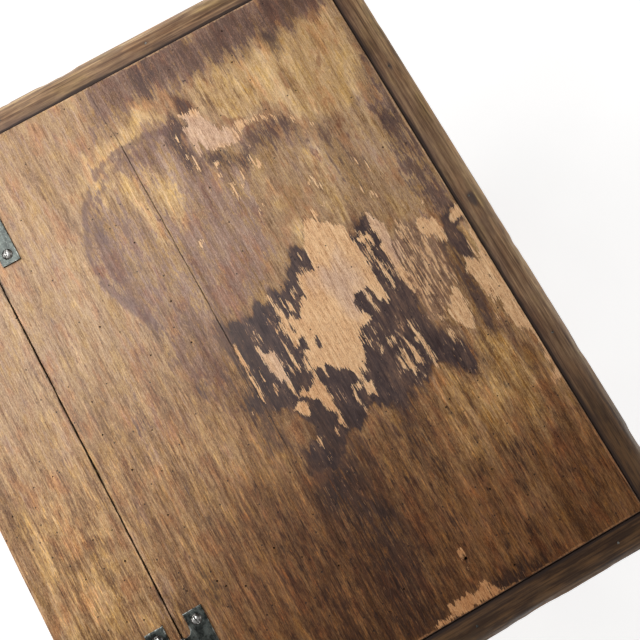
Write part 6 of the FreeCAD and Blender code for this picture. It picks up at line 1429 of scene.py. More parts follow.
def moulding_material(name, axis):
    n = Net(name)
    p, q, fine, band, pores = grain(n, axis, 6)

    def amp(scale, detail, rough, k, loc=(0, 0, 0)):
        return n.mul(n.sub(n.noise(n.place(p, scale=scale, loc=loc), 1.0, detail, rough), 0.5), k)

    fa = n.mul(n.sub(fine, 0.5), 3.0)
    ba = n.mul(n.sub(band, 0.5), 3.0)
    mid = amp((14, 330, 330), 3.0, 0.6, 3.0, (5, 5, 1))
    blot = amp((16, 40, 40), 4.0, 0.62, 3.2, (3, 1, 7))
    mot = amp((28, 150, 150), 4.0, 0.66, 3.4, (6, 2, 2))
    tiny = amp((120, 520, 520), 4.0, 0.66, 3.4, (1, 8, 3))
    hue = amp((22, 60, 60), 3.0, 0.6, 3.4, (2, 2, 9))
    u, wear, dirt, shade, nail = (n.attr(k) for k in ("u", "wear", "dirt", "shade", "nail"))
    s = n.add(n.add(n.mul(fa, 0.36), n.mul(mid, 0.40)), n.add(n.mul(mot, 0.12), n.add(n.mul(blot, 0.30), n.mul(tiny, 0.08))))
    s = n.add(s, 0.5)
    col = n.ramp(s, [(0.08, srgb(72, 51, 38)), (0.36, srgb(106, 80, 59)), (0.60, srgb(136, 107, 80)), (0.92, srgb(174, 143, 106))])
    # the hollow next to the quirk keeps its dark finish, deepened by painted shadow of the board's step; the outside is
    # rubbed thin
    keep = n.step(n.add(u, n.add(n.mul(ba, 3.0), n.mul(mot, 5.0))), 2.5, 13.0, 1.0, 0.0)
    col = n.mix(n.mul(keep, 0.60), col, n.ramp(s, [(0.15, srgb(58, 42, 38)), (0.85, srgb(108, 82, 68))]))
    thin = n.step(n.add(u, n.add(n.mul(mid, 7.0), n.mul(mot, 6.0))), 18.5, 29.0)
    gold = n.ramp(s, [(0.10, srgb(112, 84, 54)), (0.45, srgb(154, 122, 86)), (0.90, srgb(202, 170, 126))])
    col = n.mix(n.mul(thin, 0.80), col, gold)
    blots = n.step(n.add(n.mul(blot, 0.7), n.mul(mot, 0.6)), 0.14, 0.46)
    col = n.mix(n.mul(blots, 0.52), col, srgb(78, 56, 48))
    col = n.mix(n.mul(n.step(hue, 0.0, 0.6), 0.5), col, n.mix(1.0, col, (0.99, 0.84, 0.74, 1.0), "MULTIPLY"))
    col = n.mix(n.mul(n.step(hue, 0.0, -0.6), 0.6), col, n.mix(1.0, col, (1.0, 1.03, 0.80, 1.0), "MULTIPLY"))
    chip = amp((70, 420, 420), 4.0, 0.66, 3.2, (3, 3, 2))
    w = n.step(n.add(wear, n.mul(chip, 0.45)), 0.58, 0.82)
    woodc = n.mix(n.step(fa, -0.4, 0.5), srgb(176, 136, 98), srgb(206, 168, 128))
    col = n.mix(n.mul(w, 0.66), col, woodc)
    col = n.mix(n.mul(n.step(n.add(nail, n.mul(mot, 0.3)), 0.2, 0.75), 0.8), col, srgb(62, 54, 54))
    # left end darker and browner: darker finish and painted shade
    col = n.mix(n.mul(shade, 0.86), col, n.mix(n.step(n.add(fa, mot), -0.5, 0.6), srgb(52, 35, 24), srgb(96, 68, 42)))
    po = n.step(pores, 0.62, 0.72)
    col = n.mix(n.mul(po, 0.34), col, srgb(50, 35, 29))
    # dark quirk: grime and painted shadow of the board's step
    d = n.step(n.add(dirt, n.mul(mot, 0.30)), 0.22, 0.80)
    col = n.mix(n.mul(d, 0.92), col, srgb(40, 27, 23))
    under = n.attr("under")
    col = n.mix(n.mul(under, 0.7), col, srgb(110, 80, 54))
    h = n.add(n.mul(fine, 0.35), n.add(n.mul(n.sub(1.0, po), 0.4), n.mul(n.sub(1.0, w), 0.35)))
    ro = n.lerp(n.m("MAXIMUM", w, d), n.step(blot, -0.5, 0.7, 0.42, 0.55), 0.72)
    return n.finish(col, ro, n.bump(h, 0.5, 0.00022), spec=0.36)


def build_mouldings(M):
    moulding("lid_right_moulding_skin", "x+", FRONT_Y, 169.5, True, False, M["mould_y"], "lid", "lid_right_moulding", 3)
    moulding("lid_left_moulding_skin", "x-", FRONT_Y, 169.5, True, False, M["mould_y"], "lid", "lid_left_moulding", 4)
    moulding("lid_front_moulding_skin", "y-", -HALF, HALF, True, True, M["mould_x"], "lid", "lid_front_moulding", 5)
    moulding("rear_right_moulding_skin", "x+", 170.5, BACK_Y, False, False, M["mould_y"], "case", "rear_right_moulding", 8)
    moulding("rear_left_moulding_skin", "x-", 170.5, BACK_Y, False, False, M["mould_y"], "case", "rear_left_moulding", 9)


# ---------------------------------------------------------------------------
# general pieces
# ---------------------------------------------------------------------------
RECORD = frame["record"]
BODY = {n: b for b, ns in RECORD["behaviour"]["bodies"].items() for n in ns}


def seg_distance(P, segs, chunk=4000):
    """Distance from points to the nearest of some segments."""
    if len(segs) == 0:
        return np.full(len(P), 99.0)
    A, B = segs[:, 0], segs[:, 1]
    D = B - A
    L = np.maximum((D * D).sum(1), 1e-9)
    out = np.empty(len(P))
    for i in range(0, len(P), chunk):
        p = P[i:i + chunk, None, :] - A[None]
        t = np.clip((p * D[None]).sum(2) / L[None], 0, 1)
        q = p - t[..., None] * D[None]
        out[i:i + chunk] = np.sqrt((q * q).sum(2).min(1))
    return out


def node_mesh(node, merge=0.004, flat=0.35):
    bm = bmesh.new()
    bm.from_mesh(NODES[node].data)
    bmesh.ops.transform(bm, matrix=Matrix.Scale(1000.0, 4), verts=bm.verts)
    bmesh.ops.remove_doubles(bm, verts=bm.verts, dist=merge)
    bmesh.ops.dissolve_limit(bm, angle_limit=math.radians(flat), verts=bm.verts, edges=bm.edges)
    bm.normal_update()
    return bm


def refine(node, mats, width=0.5, seg=2, cell=9.0, wear=1.0, reach=4.5, dirt=None, dirt_reach=7.0, inner=None,
           wave=0.10, angle=30.0, cells=None, seed=1, post=None, sharp=38.0, name=None, limits=None):
    """A finer copy of a node: rounded arrises, a regular net of faces, wear and dirt as values."""
    bm = node_mesh(node)
    ang = math.radians(angle)
    convex, concave, bev = [], [], []
    for e in bm.edges:
        if len(e.link_faces) != 2:
            continue
        a = e.calc_face_angle_signed(0.0)
        if a > ang:
            convex.append([tuple(v.co) for v in e.verts])
            if e.calc_length() > 1.6 * width:
                bev.append(e)
        elif a < -ang:
            concave.append([tuple(v.co) for v in e.verts])
    if width > 0 and bev:
        bmesh.ops.bevel(bm, geom=bev, offset=width, offset_type="OFFSET", segments=seg, profile=0.5, affect="EDGES",
                        clamp_overlap=True)
        bmesh.ops.remove_doubles(bm, verts=bm.verts, dist=0.002)
    co = np.array([v.co[:] for v in bm.verts])
    lo, hi = co.min(0), co.max(0)
    sizes = cells or (cell, cell, cell)
    for ax in range(3):
        n = int((hi[ax] - lo[ax]) / sizes[ax])
        if n < 1:
            continue
        no = [0.0, 0.0, 0.0]
        no[ax] = 1.0
        for k in range(1, n + 1):
            c = lo[ax] + (hi[ax] - lo[ax]) * k / (n + 1.0)
            pc = [0.0, 0.0, 0.0]
            pc[ax] = c
            bmesh.ops.bisect_plane(bm, geom=bm.verts[:] + bm.edges[:] + bm.faces[:], dist=0.003, plane_co=pc, plane_no=no)
    bm.normal_update()
    bm.verts.index_update()
    P = np.array([v.co[:] for v in bm.verts])
    N = np.array([v.normal[:] for v in bm.verts])
    dc = seg_distance(P, np.array(convex)) if convex else np.full(len(P), 99.0)
    dv = seg_distance(P, np.array(concave)) if concave else np.full(len(P), 99.0)
    rub = 0.02 + 1.05 * fbm(P[:, 0] / 45.0 + seed, P[:, 1] / 45.0, P[:, 2] / 45.0, seed, 3)
    w = wear * smooth(reach, 0.2, dc) * rub
    d = 0.85 * smooth(dirt_reach, 0.2, dv)
    if dirt is not None:
        d = np.maximum(d, dirt(P))
    if wave:
        amp = wave * smooth(1.0, 6.0, np.minimum(dc, dv))
        off = amp * (fbm(P[:, 0] / 55.0, P[:, 1] / 55.0, P[:, 2] / 55.0, seed + 7, 2) - 0.62)
        P = P + N * off[:, None]
    if post is not None:
        P, w, d = post(P, N, w, d)
    faces, index = [], []
    for f in bm.faces:
        faces.append([v.index for v in f.verts])
        if inner is not None:
            index.append(inner(f.calc_center_median(), f.normal))
    bm.free()
    return make_object(name or (node + "_skin"), P, faces, mats, BODY[node], [node],
                       dict(wear=np.clip(w, 0, 1.5), dirt=np.clip(d, 0, 1)), index if inner is not None else None, sharp)


# ---------------------------------------------------------------------------
# turned pieces
# ---------------------------------------------------------------------------
def arc3(p0, p1, p2, n=9):
    (ax, ay), (bx, by), (cx, cy) = p0, p1, p2
    d = 2 * (ax * (by - cy) + bx * (cy - ay) + cx * (ay - by))
    if abs(d) < 1e-9:
        return [p1, p2]
    ux = ((ax * ax + ay * ay) * (by - cy) + (bx * bx + by * by) * (cy - ay) + (cx * cx + cy * cy) * (ay - by)) / d
    uy = ((ax * ax + ay * ay) * (cx - bx) + (bx * bx + by * by) * (ax - cx) + (cx * cx + cy * cy) * (bx - ax)) / d
    r = math.hypot(ax - ux, ay - uy)
    a0, a1, a2 = (math.atan2(y - uy, x - ux) for x, y in (p0, p1, p2))
    sweep = (a2 - a0) % (2 * math.pi)
    if (a1 - a0) % (2 * math.pi) > sweep:
        sweep -= 2 * math.pi
    return [(ux + r * math.cos(a0 + sweep * k / n), uy + r * math.sin(a0 + sweep * k / n)) for k in range(1, n + 1)]


def spline(pts, step):
    """Natural cubic through the points, by chord length."""
    P = np.array(pts, float)
    t = np.concatenate([[0], np.cumsum(np.hypot(*np.diff(P, axis=0).T))])
    n = len(t)
    h = np.diff(t)
    A = np.zeros((n, n))
    A[0, 0] = A[-1, -1] = 1
    R = np.zeros((n, 2))
    for i in range(1, n - 1):
        A[i, i - 1], A[i, i], A[i, i + 1] = h[i - 1], 2 * (h[i - 1] + h[i]), h[i]
        R[i] = 6 * ((P[i + 1] - P[i]) / h[i] - (P[i] - P[i - 1]) / h[i - 1])
    Mx = np.linalg.solve(A, R)
    out = []
    m = max(6, int(t[-1] / step))
    for s in np.linspace(0, t[-1], m + 1)[1:]:
        i = min(max(int(np.searchsorted(t, s)) - 1, 0), n - 2)
        a, b = t[i + 1] - s, s - t[i]
        q = (Mx[i] * a ** 3 + Mx[i + 1] * b ** 3) / (6 * h[i]) + (P[i] / h[i] - Mx[i] * h[i] / 6) * a + \
            (P[i + 1] / h[i] - Mx[i + 1] * h[i] / 6) * b
        out.append((float(q[0]), float(q[1])))
    return out


def outline(start, parts, step=1.6, soft=0.35):
    """Profile (radius, height) from lines, arcs and splines, with its corners eased a little."""
    pts = [start]
    for kind, data in parts:
        if kind == "L":
            for p in data:
                a = pts[-1]
                n = max(1, int(math.hypot(p[0] - a[0], p[1] - a[1]) / (2.2 * step)))
                pts += [(a[0] + (p[0] - a[0]) * k / n, a[1] + (p[1] - a[1]) * k / n) for k in range(1, n + 1)]
        elif kind == "A":
            pts += arc3(pts[-1], data[0], data[1])
        else:
            pts += spline([pts[-1]] + list(data), step)
    # ease the corners
    out = []
    n = len(pts)
    for i, p in enumerate(pts):
        if 0 < i < n - 1:
            a, b = pts[i - 1], pts[i + 1]
            va = (a[0] - p[0], a[1] - p[1])
            vb = (b[0] - p[0], b[1] - p[1])
            la, lb = math.hypot(*va), math.hypot(*vb)
            if la > 1e-6 and lb > 1e-6:
                c = -(va[0] * vb[0] + va[1] * vb[1]) / (la * lb)
                if c < 0.86:
                    k = min(soft, 0.4 * la, 0.4 * lb)
                    out.append((p[0] + va[0] / la * k, p[1] + va[1] / la * k))
                    out.append((p[0] * 0.5 + 0.25 * (out[-1][0] + p[0] + vb[0] / lb * k),
                                p[1] * 0.5 + 0.25 * (out[-1][1] + p[1] + vb[1] / lb * k)))
                    out.append((p[0] + vb[0] / lb * k, p[1] + vb[1] / lb * k))
                    continue
        out.append(p)
    return out


LEG = [
    ("L", [(20.5, 334), (20.5, 327), (17, 327), (17, 325)]),
    ("A", [(22.2, 320), (17, 315)]),
    ("L", [(15.6, 315)]),
    ("A", [(14.2, 309.5), (16, 304)]),
    ("L", [(17.5, 304)]),
    ("A", [(20.4, 300.5), (17.5, 297)]),
    ("L", [(14, 297), (14, 294)]),
    ("S", [(15.0, 286), (18.2, 269), (20.8, 249), (21.6, 228), (21.0, 203), (19.3, 175), (17.1, 145), (15.0, 118), (13.6, 98)]),
    ("L", [(15.2, 98)]),
    ("A", [(18.6, 93.5), (15.2, 89)]),
    ("L", [(13.2, 89), (13.2, 86)]),
    ("S", [(15.0, 80), (18.5, 69), (19.7, 58), (18.4, 46), (15.2, 32), (12.4, 20), (11.8, 15)]),
    ("L", [(13.4, 14)]),
    ("A", [(15.0, 8), (14.0, 1.5)]),
    ("L", [(13.0, 0)]),
]


def hollow(prof):
    """How far each point of a profile lies in a hollow, and how proud it stands."""
    P = np.array(prof)
    s = np.concatenate([[0], np.cumsum(np.hypot(*np.diff(P, axis=0).T))])
    low, high = np.zeros(len(P)), np.zeros(len(P))
    for i in range(len(P)):
        m = (np.abs(s - s[i]) < 9.0)
        r = P[m, 0]
        low[i] = np.clip((r.max() - P[i, 0]) / 4.0, 0, 1)
        high[i] = np.clip((P[i, 0] - r.mean()) / 2.2, 0, 1)
    return low, high


def build_post(node, cx, cy, mats, seed):
    prof = outline((0.0, 334), LEG, 1.7)
    prof = prof[1:]
    # keep the part below the block
    prof = [p for p in prof if p[1] <= 329.5 and p[0] > 0]
    prof = prof[::1]
    low, high = hollow(prof)
    half = 22.5
    rc = 1.3
    pts = []
    for q in range(4):
        side = [(half, y) for y in np.linspace(-(half - rc), half - rc, 12)]
        arc = [(half - rc + rc * math.cos(a), half - rc + rc * math.sin(a)) for a in np.radians([22.5, 45.0, 67.5])]
        for (x, y) in side + arc:
            for _ in range(q):
                x, y = -y, x
            pts.append((x, y))
    pts = np.array(pts)
    rad = np.hypot(pts[:, 0], pts[:, 1])
    dirn = pts / rad[:, None]
    n = len(pts)
    levels = []  # (z, radius or None, low, high)
    top = UNDER
    zs = list(np.arange(top, 348.0, -7.0)) + [347.2]
    for z in [top, top - 0.6] + zs[1:]:
        levels.append((z, None, 0.0, 0.0))
    sh = arc3((32.5, 347.0), (28.0, 335.0), (20.5, 330.0), 12)
    for (r, z) in [(32.5, 347.0)] + sh:
        levels.append((z, r, 0.0, 0.25))
    for p, a, b in zip(prof, low, high):
        levels.append((p[1], p[0], a, b))
    V, wv, dv = [], [], []
    for (z, r, a, b) in levels:
        wob = 0.16 * (fbm(dirn[:, 0] * 1.3 + 5, dirn[:, 1] * 1.3, z / 38.0, seed, 2) - 0.55)
        if r is None:
            rr = rad.copy()
            q = dirn * rr[:, None]
            q = q + dirn * (wob * smooth(1.5, 6.0, half - np.minimum(np.abs(q[:, 0]), np.abs(q[:, 1]))))[:, None]
            corner = smooth(25.5, 31.0, rad)
            ww = corner * (0.05 + 0.95 * fbm(z / 34.0, q[:, 0] / 40.0 + seed, q[:, 1] / 40.0, seed + 3, 3))
            nick = smooth(0.74, 0.90, fbm(z / 9.0, q[:, 0] / 30.0, q[:, 1] / 30.0, seed + 9, 2)) * corner
            q = q * (1 - 0.016 * nick)[:, None]
            ww = np.maximum(ww, nick)
            dd = np.full(n, 0.30 * float(smooth(14.0, 0.0, top - z)))
            X, Y = q[:, 0] + cx, q[:, 1] + cy
            dd = np.maximum(dd, 0.7 * smooth(3.0, 0.2, np.abs(np.abs(X) - 254.0)) * (np.abs(Y) < 238) * (z > 353))
            dd = np.maximum(dd, 0.5 * smooth(4.0, 0.0, abs(z - 836)) * np.ones(n))
        else:
            rr = np.minimum(r, rad) + wob * 0.8
            q = dirn * rr[:, None]
            ww = b * (0.10 + 0.8 * fbm(z / 12.0, dirn[:, 0] * 2 + seed, dirn[:, 1] * 2, seed + 3, 3))
            ww = np.maximum(ww, smooth(9.0, 1.0, z) * (0.3 + 0.8 * fbm(z / 4.0, dirn[:, 0] * 3, dirn[:, 1] * 3, seed + 4, 2)))
            ww = np.maximum(ww, 0.55 * smooth(0.55, 0.8, fbm(z / 30.0, dirn[:, 0] * 1.5, dirn[:, 1] * 1.5, seed + 14, 3)))
            dd = np.full(n, 0.95 * a)
            dd = np.maximum(dd, 0.35 * smooth(60.0, 0.0, z) * fbm(z / 12.0, dirn[:, 0] * 3, dirn[:, 1] * 3, seed + 6, 2) * 1.6)
            if r > 23:
                ww = np.maximum(ww, smooth(26.0, 31.0, rr) * 0.5)
        V.append(np.column_stack([q[:, 0] + cx, q[:, 1] + cy, np.full(n, z)]))
        wv.append(ww)
        dv.append(dd)
    V, wv, dv = np.concatenate(V), np.concatenate(wv), np.concatenate(dv)
    faces, index = [], []
    sy = 1 if cy > 0 else -1
    sx = 1 if cx > 0 else -1

    def inside(x, y, z):
        if z < 353:
            return 0
        inx = (x - cx) * sx < -half + 0.8
        iny = (y - cy) * sy < -half + 0.8
        if sy < 0:
            if inx and y > -216:
                return 1
            if iny and abs(x) < 276:
                return 1
        else:
            if inx and y < 245:
                return 1
            if iny and abs(x) < 276:
                return 1
        return 0

    for i in range(len(levels) - 1):
        for k in range(n):
            k2 = (k + 1) % n
            f = (i * n + k, (i + 1) * n + k, (i + 1) * n + k2, i * n + k2)
            faces.append(f)
            c = V[list(f)].mean(0)
            index.append(inside(*c))
    last = (len(levels) - 1) * n
    faces.append(tuple(range(0, n)))
    index.append(1)
    faces.append(tuple(last + k for k in range(n - 1, -1, -1)))
    index.append(0)
    make_object(node + "_skin", V, faces, mats, BODY[node], [node], dict(wear=np.clip(wv, 0, 1.4), dirt=np.clip(dv, 0, 1)),
                index, 36.0)


def lathe(prof, n, centre, axis, seed=0, wobble=0.0):
    """Vertices and faces of a turned shape. axis is the direction of rising height."""
    prof = list(prof)
    a = np.array(axis, float)
    ref = np.array([0.0, 0.0, 1.0]) if abs(a[2]) < 0.9 else np.array([1.0, 0.0, 0.0])
    u = np.cross(ref, a)
    u /= np.linalg.norm(u)
    v = np.cross(a, u)
    V, F = [], []
    th = np.linspace(0, 2 * math.pi, n, endpoint=False)
    for (r, h) in prof:
        rr = r * (1 + wobble * (fbm(np.cos(th) * 1.5 + 3, np.sin(th) * 1.5 + h / 9.0, 0.0, seed, 2) - 0.5))
        V.append(np.array(centre)[None] + a[None] * h + u[None] * (rr * np.cos(th))[:, None] + v[None] * (rr * np.sin(th))[:, None])
    for i in range(len(prof) - 1):
        for k in range(n):
            k2 = (k + 1) % n
            F.append((i * n + k, i * n + k2, (i + 1) * n + k2, (i + 1) * n + k))
    F.append(tuple(range(n - 1, -1, -1)))
    last = (len(prof) - 1) * n
    F.append(tuple(last + k for k in range(n)))
    return np.concatenate(V), F


def build_knobs(mat):
    prof = outline((6.4, -22), [
        ("L", [(6.4, 0), (11.5, 0)]),
        ("A", [(12.2, 1.2), (11.2, 2.6)]),
        ("S", [(8.6, 6.0), (8.2, 9.5), (9.8, 13.5)]),
        ("S", [(14.0, 16.2), (17.2, 19.4), (18.0, 23.0), (16.6, 26.8), (12.5, 29.6), (6.5, 31.2), (1.2, 31.66)]),
    ], 0.8, 0.2)
    low, high = hollow(prof)
    for node, sx, seed in (("drawer_knob_right", 1, 3), ("drawer_knob_left", -1, 7)):
        n = 72
        V, F = lathe(prof, n, (sx * 165.0, -236.0, 441.0), (0.0, -1.0, 0.0), seed, 0.012)
        h = np.repeat([p[1] for p in prof], n)
        r = np.repeat([p[0] for p in prof], n)
        dirt = np.repeat(low, n) * (h > -1) * (h < 18)
        dirt = np.maximum(dirt, 0.8 * smooth(3.0, 0.0, h) * (h > -1))
        wear = smooth(13.0, 17.8, r) * (0.3 + 0.8 * fbm(V[:, 0] / 9.0, V[:, 2] / 9.0, h / 7.0, seed, 3))
        wear = np.maximum(wear, 0.5 * smooth(27.0, 31.0, h) * (0.4 + 0.9 * fbm(V[:, 0] / 7.0, V[:, 2] / 7.0, 0.0, seed + 2, 3)))
        # little knocks on the rim
        for k in range(6):
            a = 2 * math.pi * ((k * 0.618 + 0.13 * seed) % 1.0)
            c = np.array([sx * 165 + 17.4 * math.cos(a), -236 - 22.0 - (k % 3) * 1.8, 441 + 17.4 * math.sin(a)])
            dd = np.linalg.norm(V - c, axis=1)
            g = np.exp(-(dd / 1.5) ** 2)
            cen = np.array([sx * 165.0, 0, 441.0])
            inw = cen - V
            inw[:, 1] = 0
            L = np.maximum(np.linalg.norm(inw, axis=1), 1e-6)
            V = V + inw / L[:, None] * (0.45 * g)[:, None]
            dirt = np.maximum(dirt, 0.5 * g)
        make_object(node + "_skin", V, F, [mat], "drawer", [node], dict(wear=wear, dirt=dirt), None, 40.0)


def build_pegs(mat):
    V, F, W, D = [], [], [], []
    base = 0
    spec = []
    for sx in (1, -1):
        for z in (369.0, 508.0, 570.0, 690.0, 790.0):
            spec.append(((sx * 265.0, -239.0, z), (0, -1, 0), 3.0, 27.0))
        for z in (400.0, 545.0, 665.0, 785.0):
            for y in (-205.0, 231.0):
                spec.append(((sx * 299.0, y, z), (sx, 0, 0), 3.0, 27.0))
        for z in (420.0, 560.0, 650.0, 780.0):
            spec.append(((sx * 260.0, 265.0, z), (0, 1, 0), 2.5, 19.0))
    for k, (c, ax, r, length) in enumerate(spec):
        prof = [(r * 0.86, -length), (r, -length + 2), (r, -6.0), (r, -0.02), (r * 0.985, 0.10), (r * 0.93, 0.22), (r * 0.82, 0.31),
                (r * 0.62, 0.37), (r * 0.40, 0.40), (r * 0.16, 0.41), (0.06, 0.41)]
        v, f = lathe(prof, 26, c, ax, 11 + k, 0.075)
        off = 0.10 * (fbm(v[:, 0] / 2.0, v[:, 1] / 2.0, v[:, 2] / 2.0, 20 + k, 2) - 0.5)
        v = v + np.array(ax)[None] * off[:, None]
        V.append(v)
        F += [tuple(i + base for i in q) for q in f]
        base += len(v)
        h = np.repeat([p[1] for p in prof], 26)
        rr = np.repeat([p[0] for p in prof], 26)
        W.append(0.7 * (rr < r * 0.7) * (h > 0) * fbm(v[:, 0] / 1.5, v[:, 1] / 1.5, v[:, 2] / 1.5, 5, 2))
        D.append(smooth(0.30, 0.05, h) * 1.0)
    make_object("tenon_pegs_skin", np.concatenate(V), F, [mat], "case", ["tenon_pegs"],
                dict(wear=np.concatenate(W), dirt=np.concatenate(D)), None, 40.0)


# ---------------------------------------------------------------------------
# slotted screws with round heads
# ---------------------------------------------------------------------------
def screw(centre, turn, length=19.0, r=2.0, head_r=5.2, head_h=3.4, slot_w=1.2, slot_d=1.7, seed=0, dome=True, up=1.0):
    """Head on the centre, pointing down. Net with its lines along the slot."""
    rs = (head_r ** 2 + head_h ** 2) / (2 * head_h)
    hw = slot_w / 2
    a = [0.0, 0.35 * hw, 0.8 * hw, hw, hw + 0.02, hw + 0.22]
    m = 9
    a += [hw + 0.22 + (head_r - hw - 0.22) * math.sin(0.5 * math.pi * k / m) for k in range(1, m + 1)]
    V, F, W, D = [], [], [], []

    def zof(rr):
        rr = min(rr, head_r)
        return max(0.0, math.sqrt(max(rs * rs - rr * rr, 0)) - (rs - head_h))

    # polar net: rings of constant radius, with the slot cut by displacement, spokes crowd at the slot
    rings = [0.12] + [head_r * math.sin(0.5 * math.pi * k / 17.0) for k in range(1, 18)]
    nsp = 96
    th = []
    for k in range(nsp):
        th.append(2 * math.pi * k / nsp)
    th = np.array(th)
    idx = []
    for ri, rr in enumerate(rings):
        # move the spokes so that two of them follow each wall of the slot
        t = th.copy()
        if rr > hw * 1.02:
            aw = math.asin(min(1.0, hw / rr))
            for base_a in (0.0, math.pi, 2 * math.pi):
                d = t - base_a
                near = np.abs(d) < 1.2
                # map |d| so that spoke 4/5 sit on the wall
                k0 = 4.5 * 2 * math.pi / nsp
                s = np.sign(d)
                x = np.abs(d)
                y = np.where(x < k0, x / k0 * aw, aw + (x - k0) / (1.2 - k0) * (1.2 - aw))
                t = np.where(near, base_a + s * y, t)
        row = []
        for a_ in t:
            x, y = rr * math.cos(a_), rr * math.sin(a_)
            z = zof(rr)
            wear = 0.95 * max(0.0, 1 - (rr / head_r) ** 2 * 0.9)
            dirt = 0.5 * max(0.0, (rr / head_r - 0.86) / 0.14)
            if abs(y) < hw * 0.999 or rr < 0.3:
                z = min(z, head_h - slot_d)
                wear, dirt = 0.15, 0.55
            elif abs(y) < hw + 0.16:
                z -= 0.10
                wear = 1.1
            V.append((x, y, z))
            W.append(wear)
            D.append(dirt)
            row.append(len(V) - 1)
        idx.append(row)
    for i in range(len(rings) - 1):
        for k in range(nsp):
            k2 = (k + 1) % nsp
            F.append((idx[i][k], idx[i + 1][k], idx[i + 1][k2], idx[i][k2]))
    F.append(tuple(idx[0]))
    # under the head and the shank
    prev = idx[-1]
    for (rr, z) in ((head_r * 0.995, -0.02), (r + 0.01, -0.02), (r, -2.0), (r, -length * 0.62), (0.3, -length)):
        row = []
        for k in range(nsp):
            a_ = 2 * math.pi * k / nsp
            V.append((rr * math.cos(a_), rr * math.sin(a_), z))
            W.append(0.0)
            D.append(0.8)
            row.append(len(V) - 1)
        for k in range(nsp):
            k2 = (k + 1) % nsp
            F.append((prev[k], row[k], row[k2], prev[k2]))
        prev = row
    F.append(tuple(reversed(prev)))
    V = np.array(V)
    g = 0.05 * (fbm(V[:, 0] / 1.3 + seed, V[:, 1] / 1.3, V[:, 2] / 1.3, seed, 2) - 0.5)
    V[:, 2] += g * (V[:, 2] > 0.3)
    t = math.radians(turn)
    c, s = math.cos(t), math.sin(t)
    X = V[:, 0] * c - V[:, 1] * s + centre[0]
    Y = V[:, 0] * s + V[:, 1] * c + centre[1]
    return np.stack([X, Y, V[:, 2] + centre[2]], 1), F, np.array(W), np.array(D)


def build_screws(mat):
    turns_lid = [28, 74, 12, 160, 41, 99]
    turns_fix = [63, 118, 5, 82, 33, 140]
    for node, sy, turns in (("lid_leaf_screws", -1, turns_lid), ("fixed_leaf_screws", 1, turns_fix)):
        V, F, W, D = [], [], [], []
        base = i = 0
        for cx in (-219.0, 219.0):
            for s in (-30.6, 0.0, 30.6):
                v, f, w, d = screw((cx + s, CRACK_Y + sy * 19.0, TOP + 2.5), turns[i], seed=i + (3 if sy > 0 else 40))
                V.append(v)
                F += [tuple(a + base for a in q) for q in f]
                W.append(w)
                D.append(d)
                base += len(v)
                i += 1
        make_object(node + "_skin", np.concatenate(V), F, [mat], BODY[node], [node],
                    dict(wear=np.concatenate(W), dirt=np.concatenate(D)), None, 35.0)


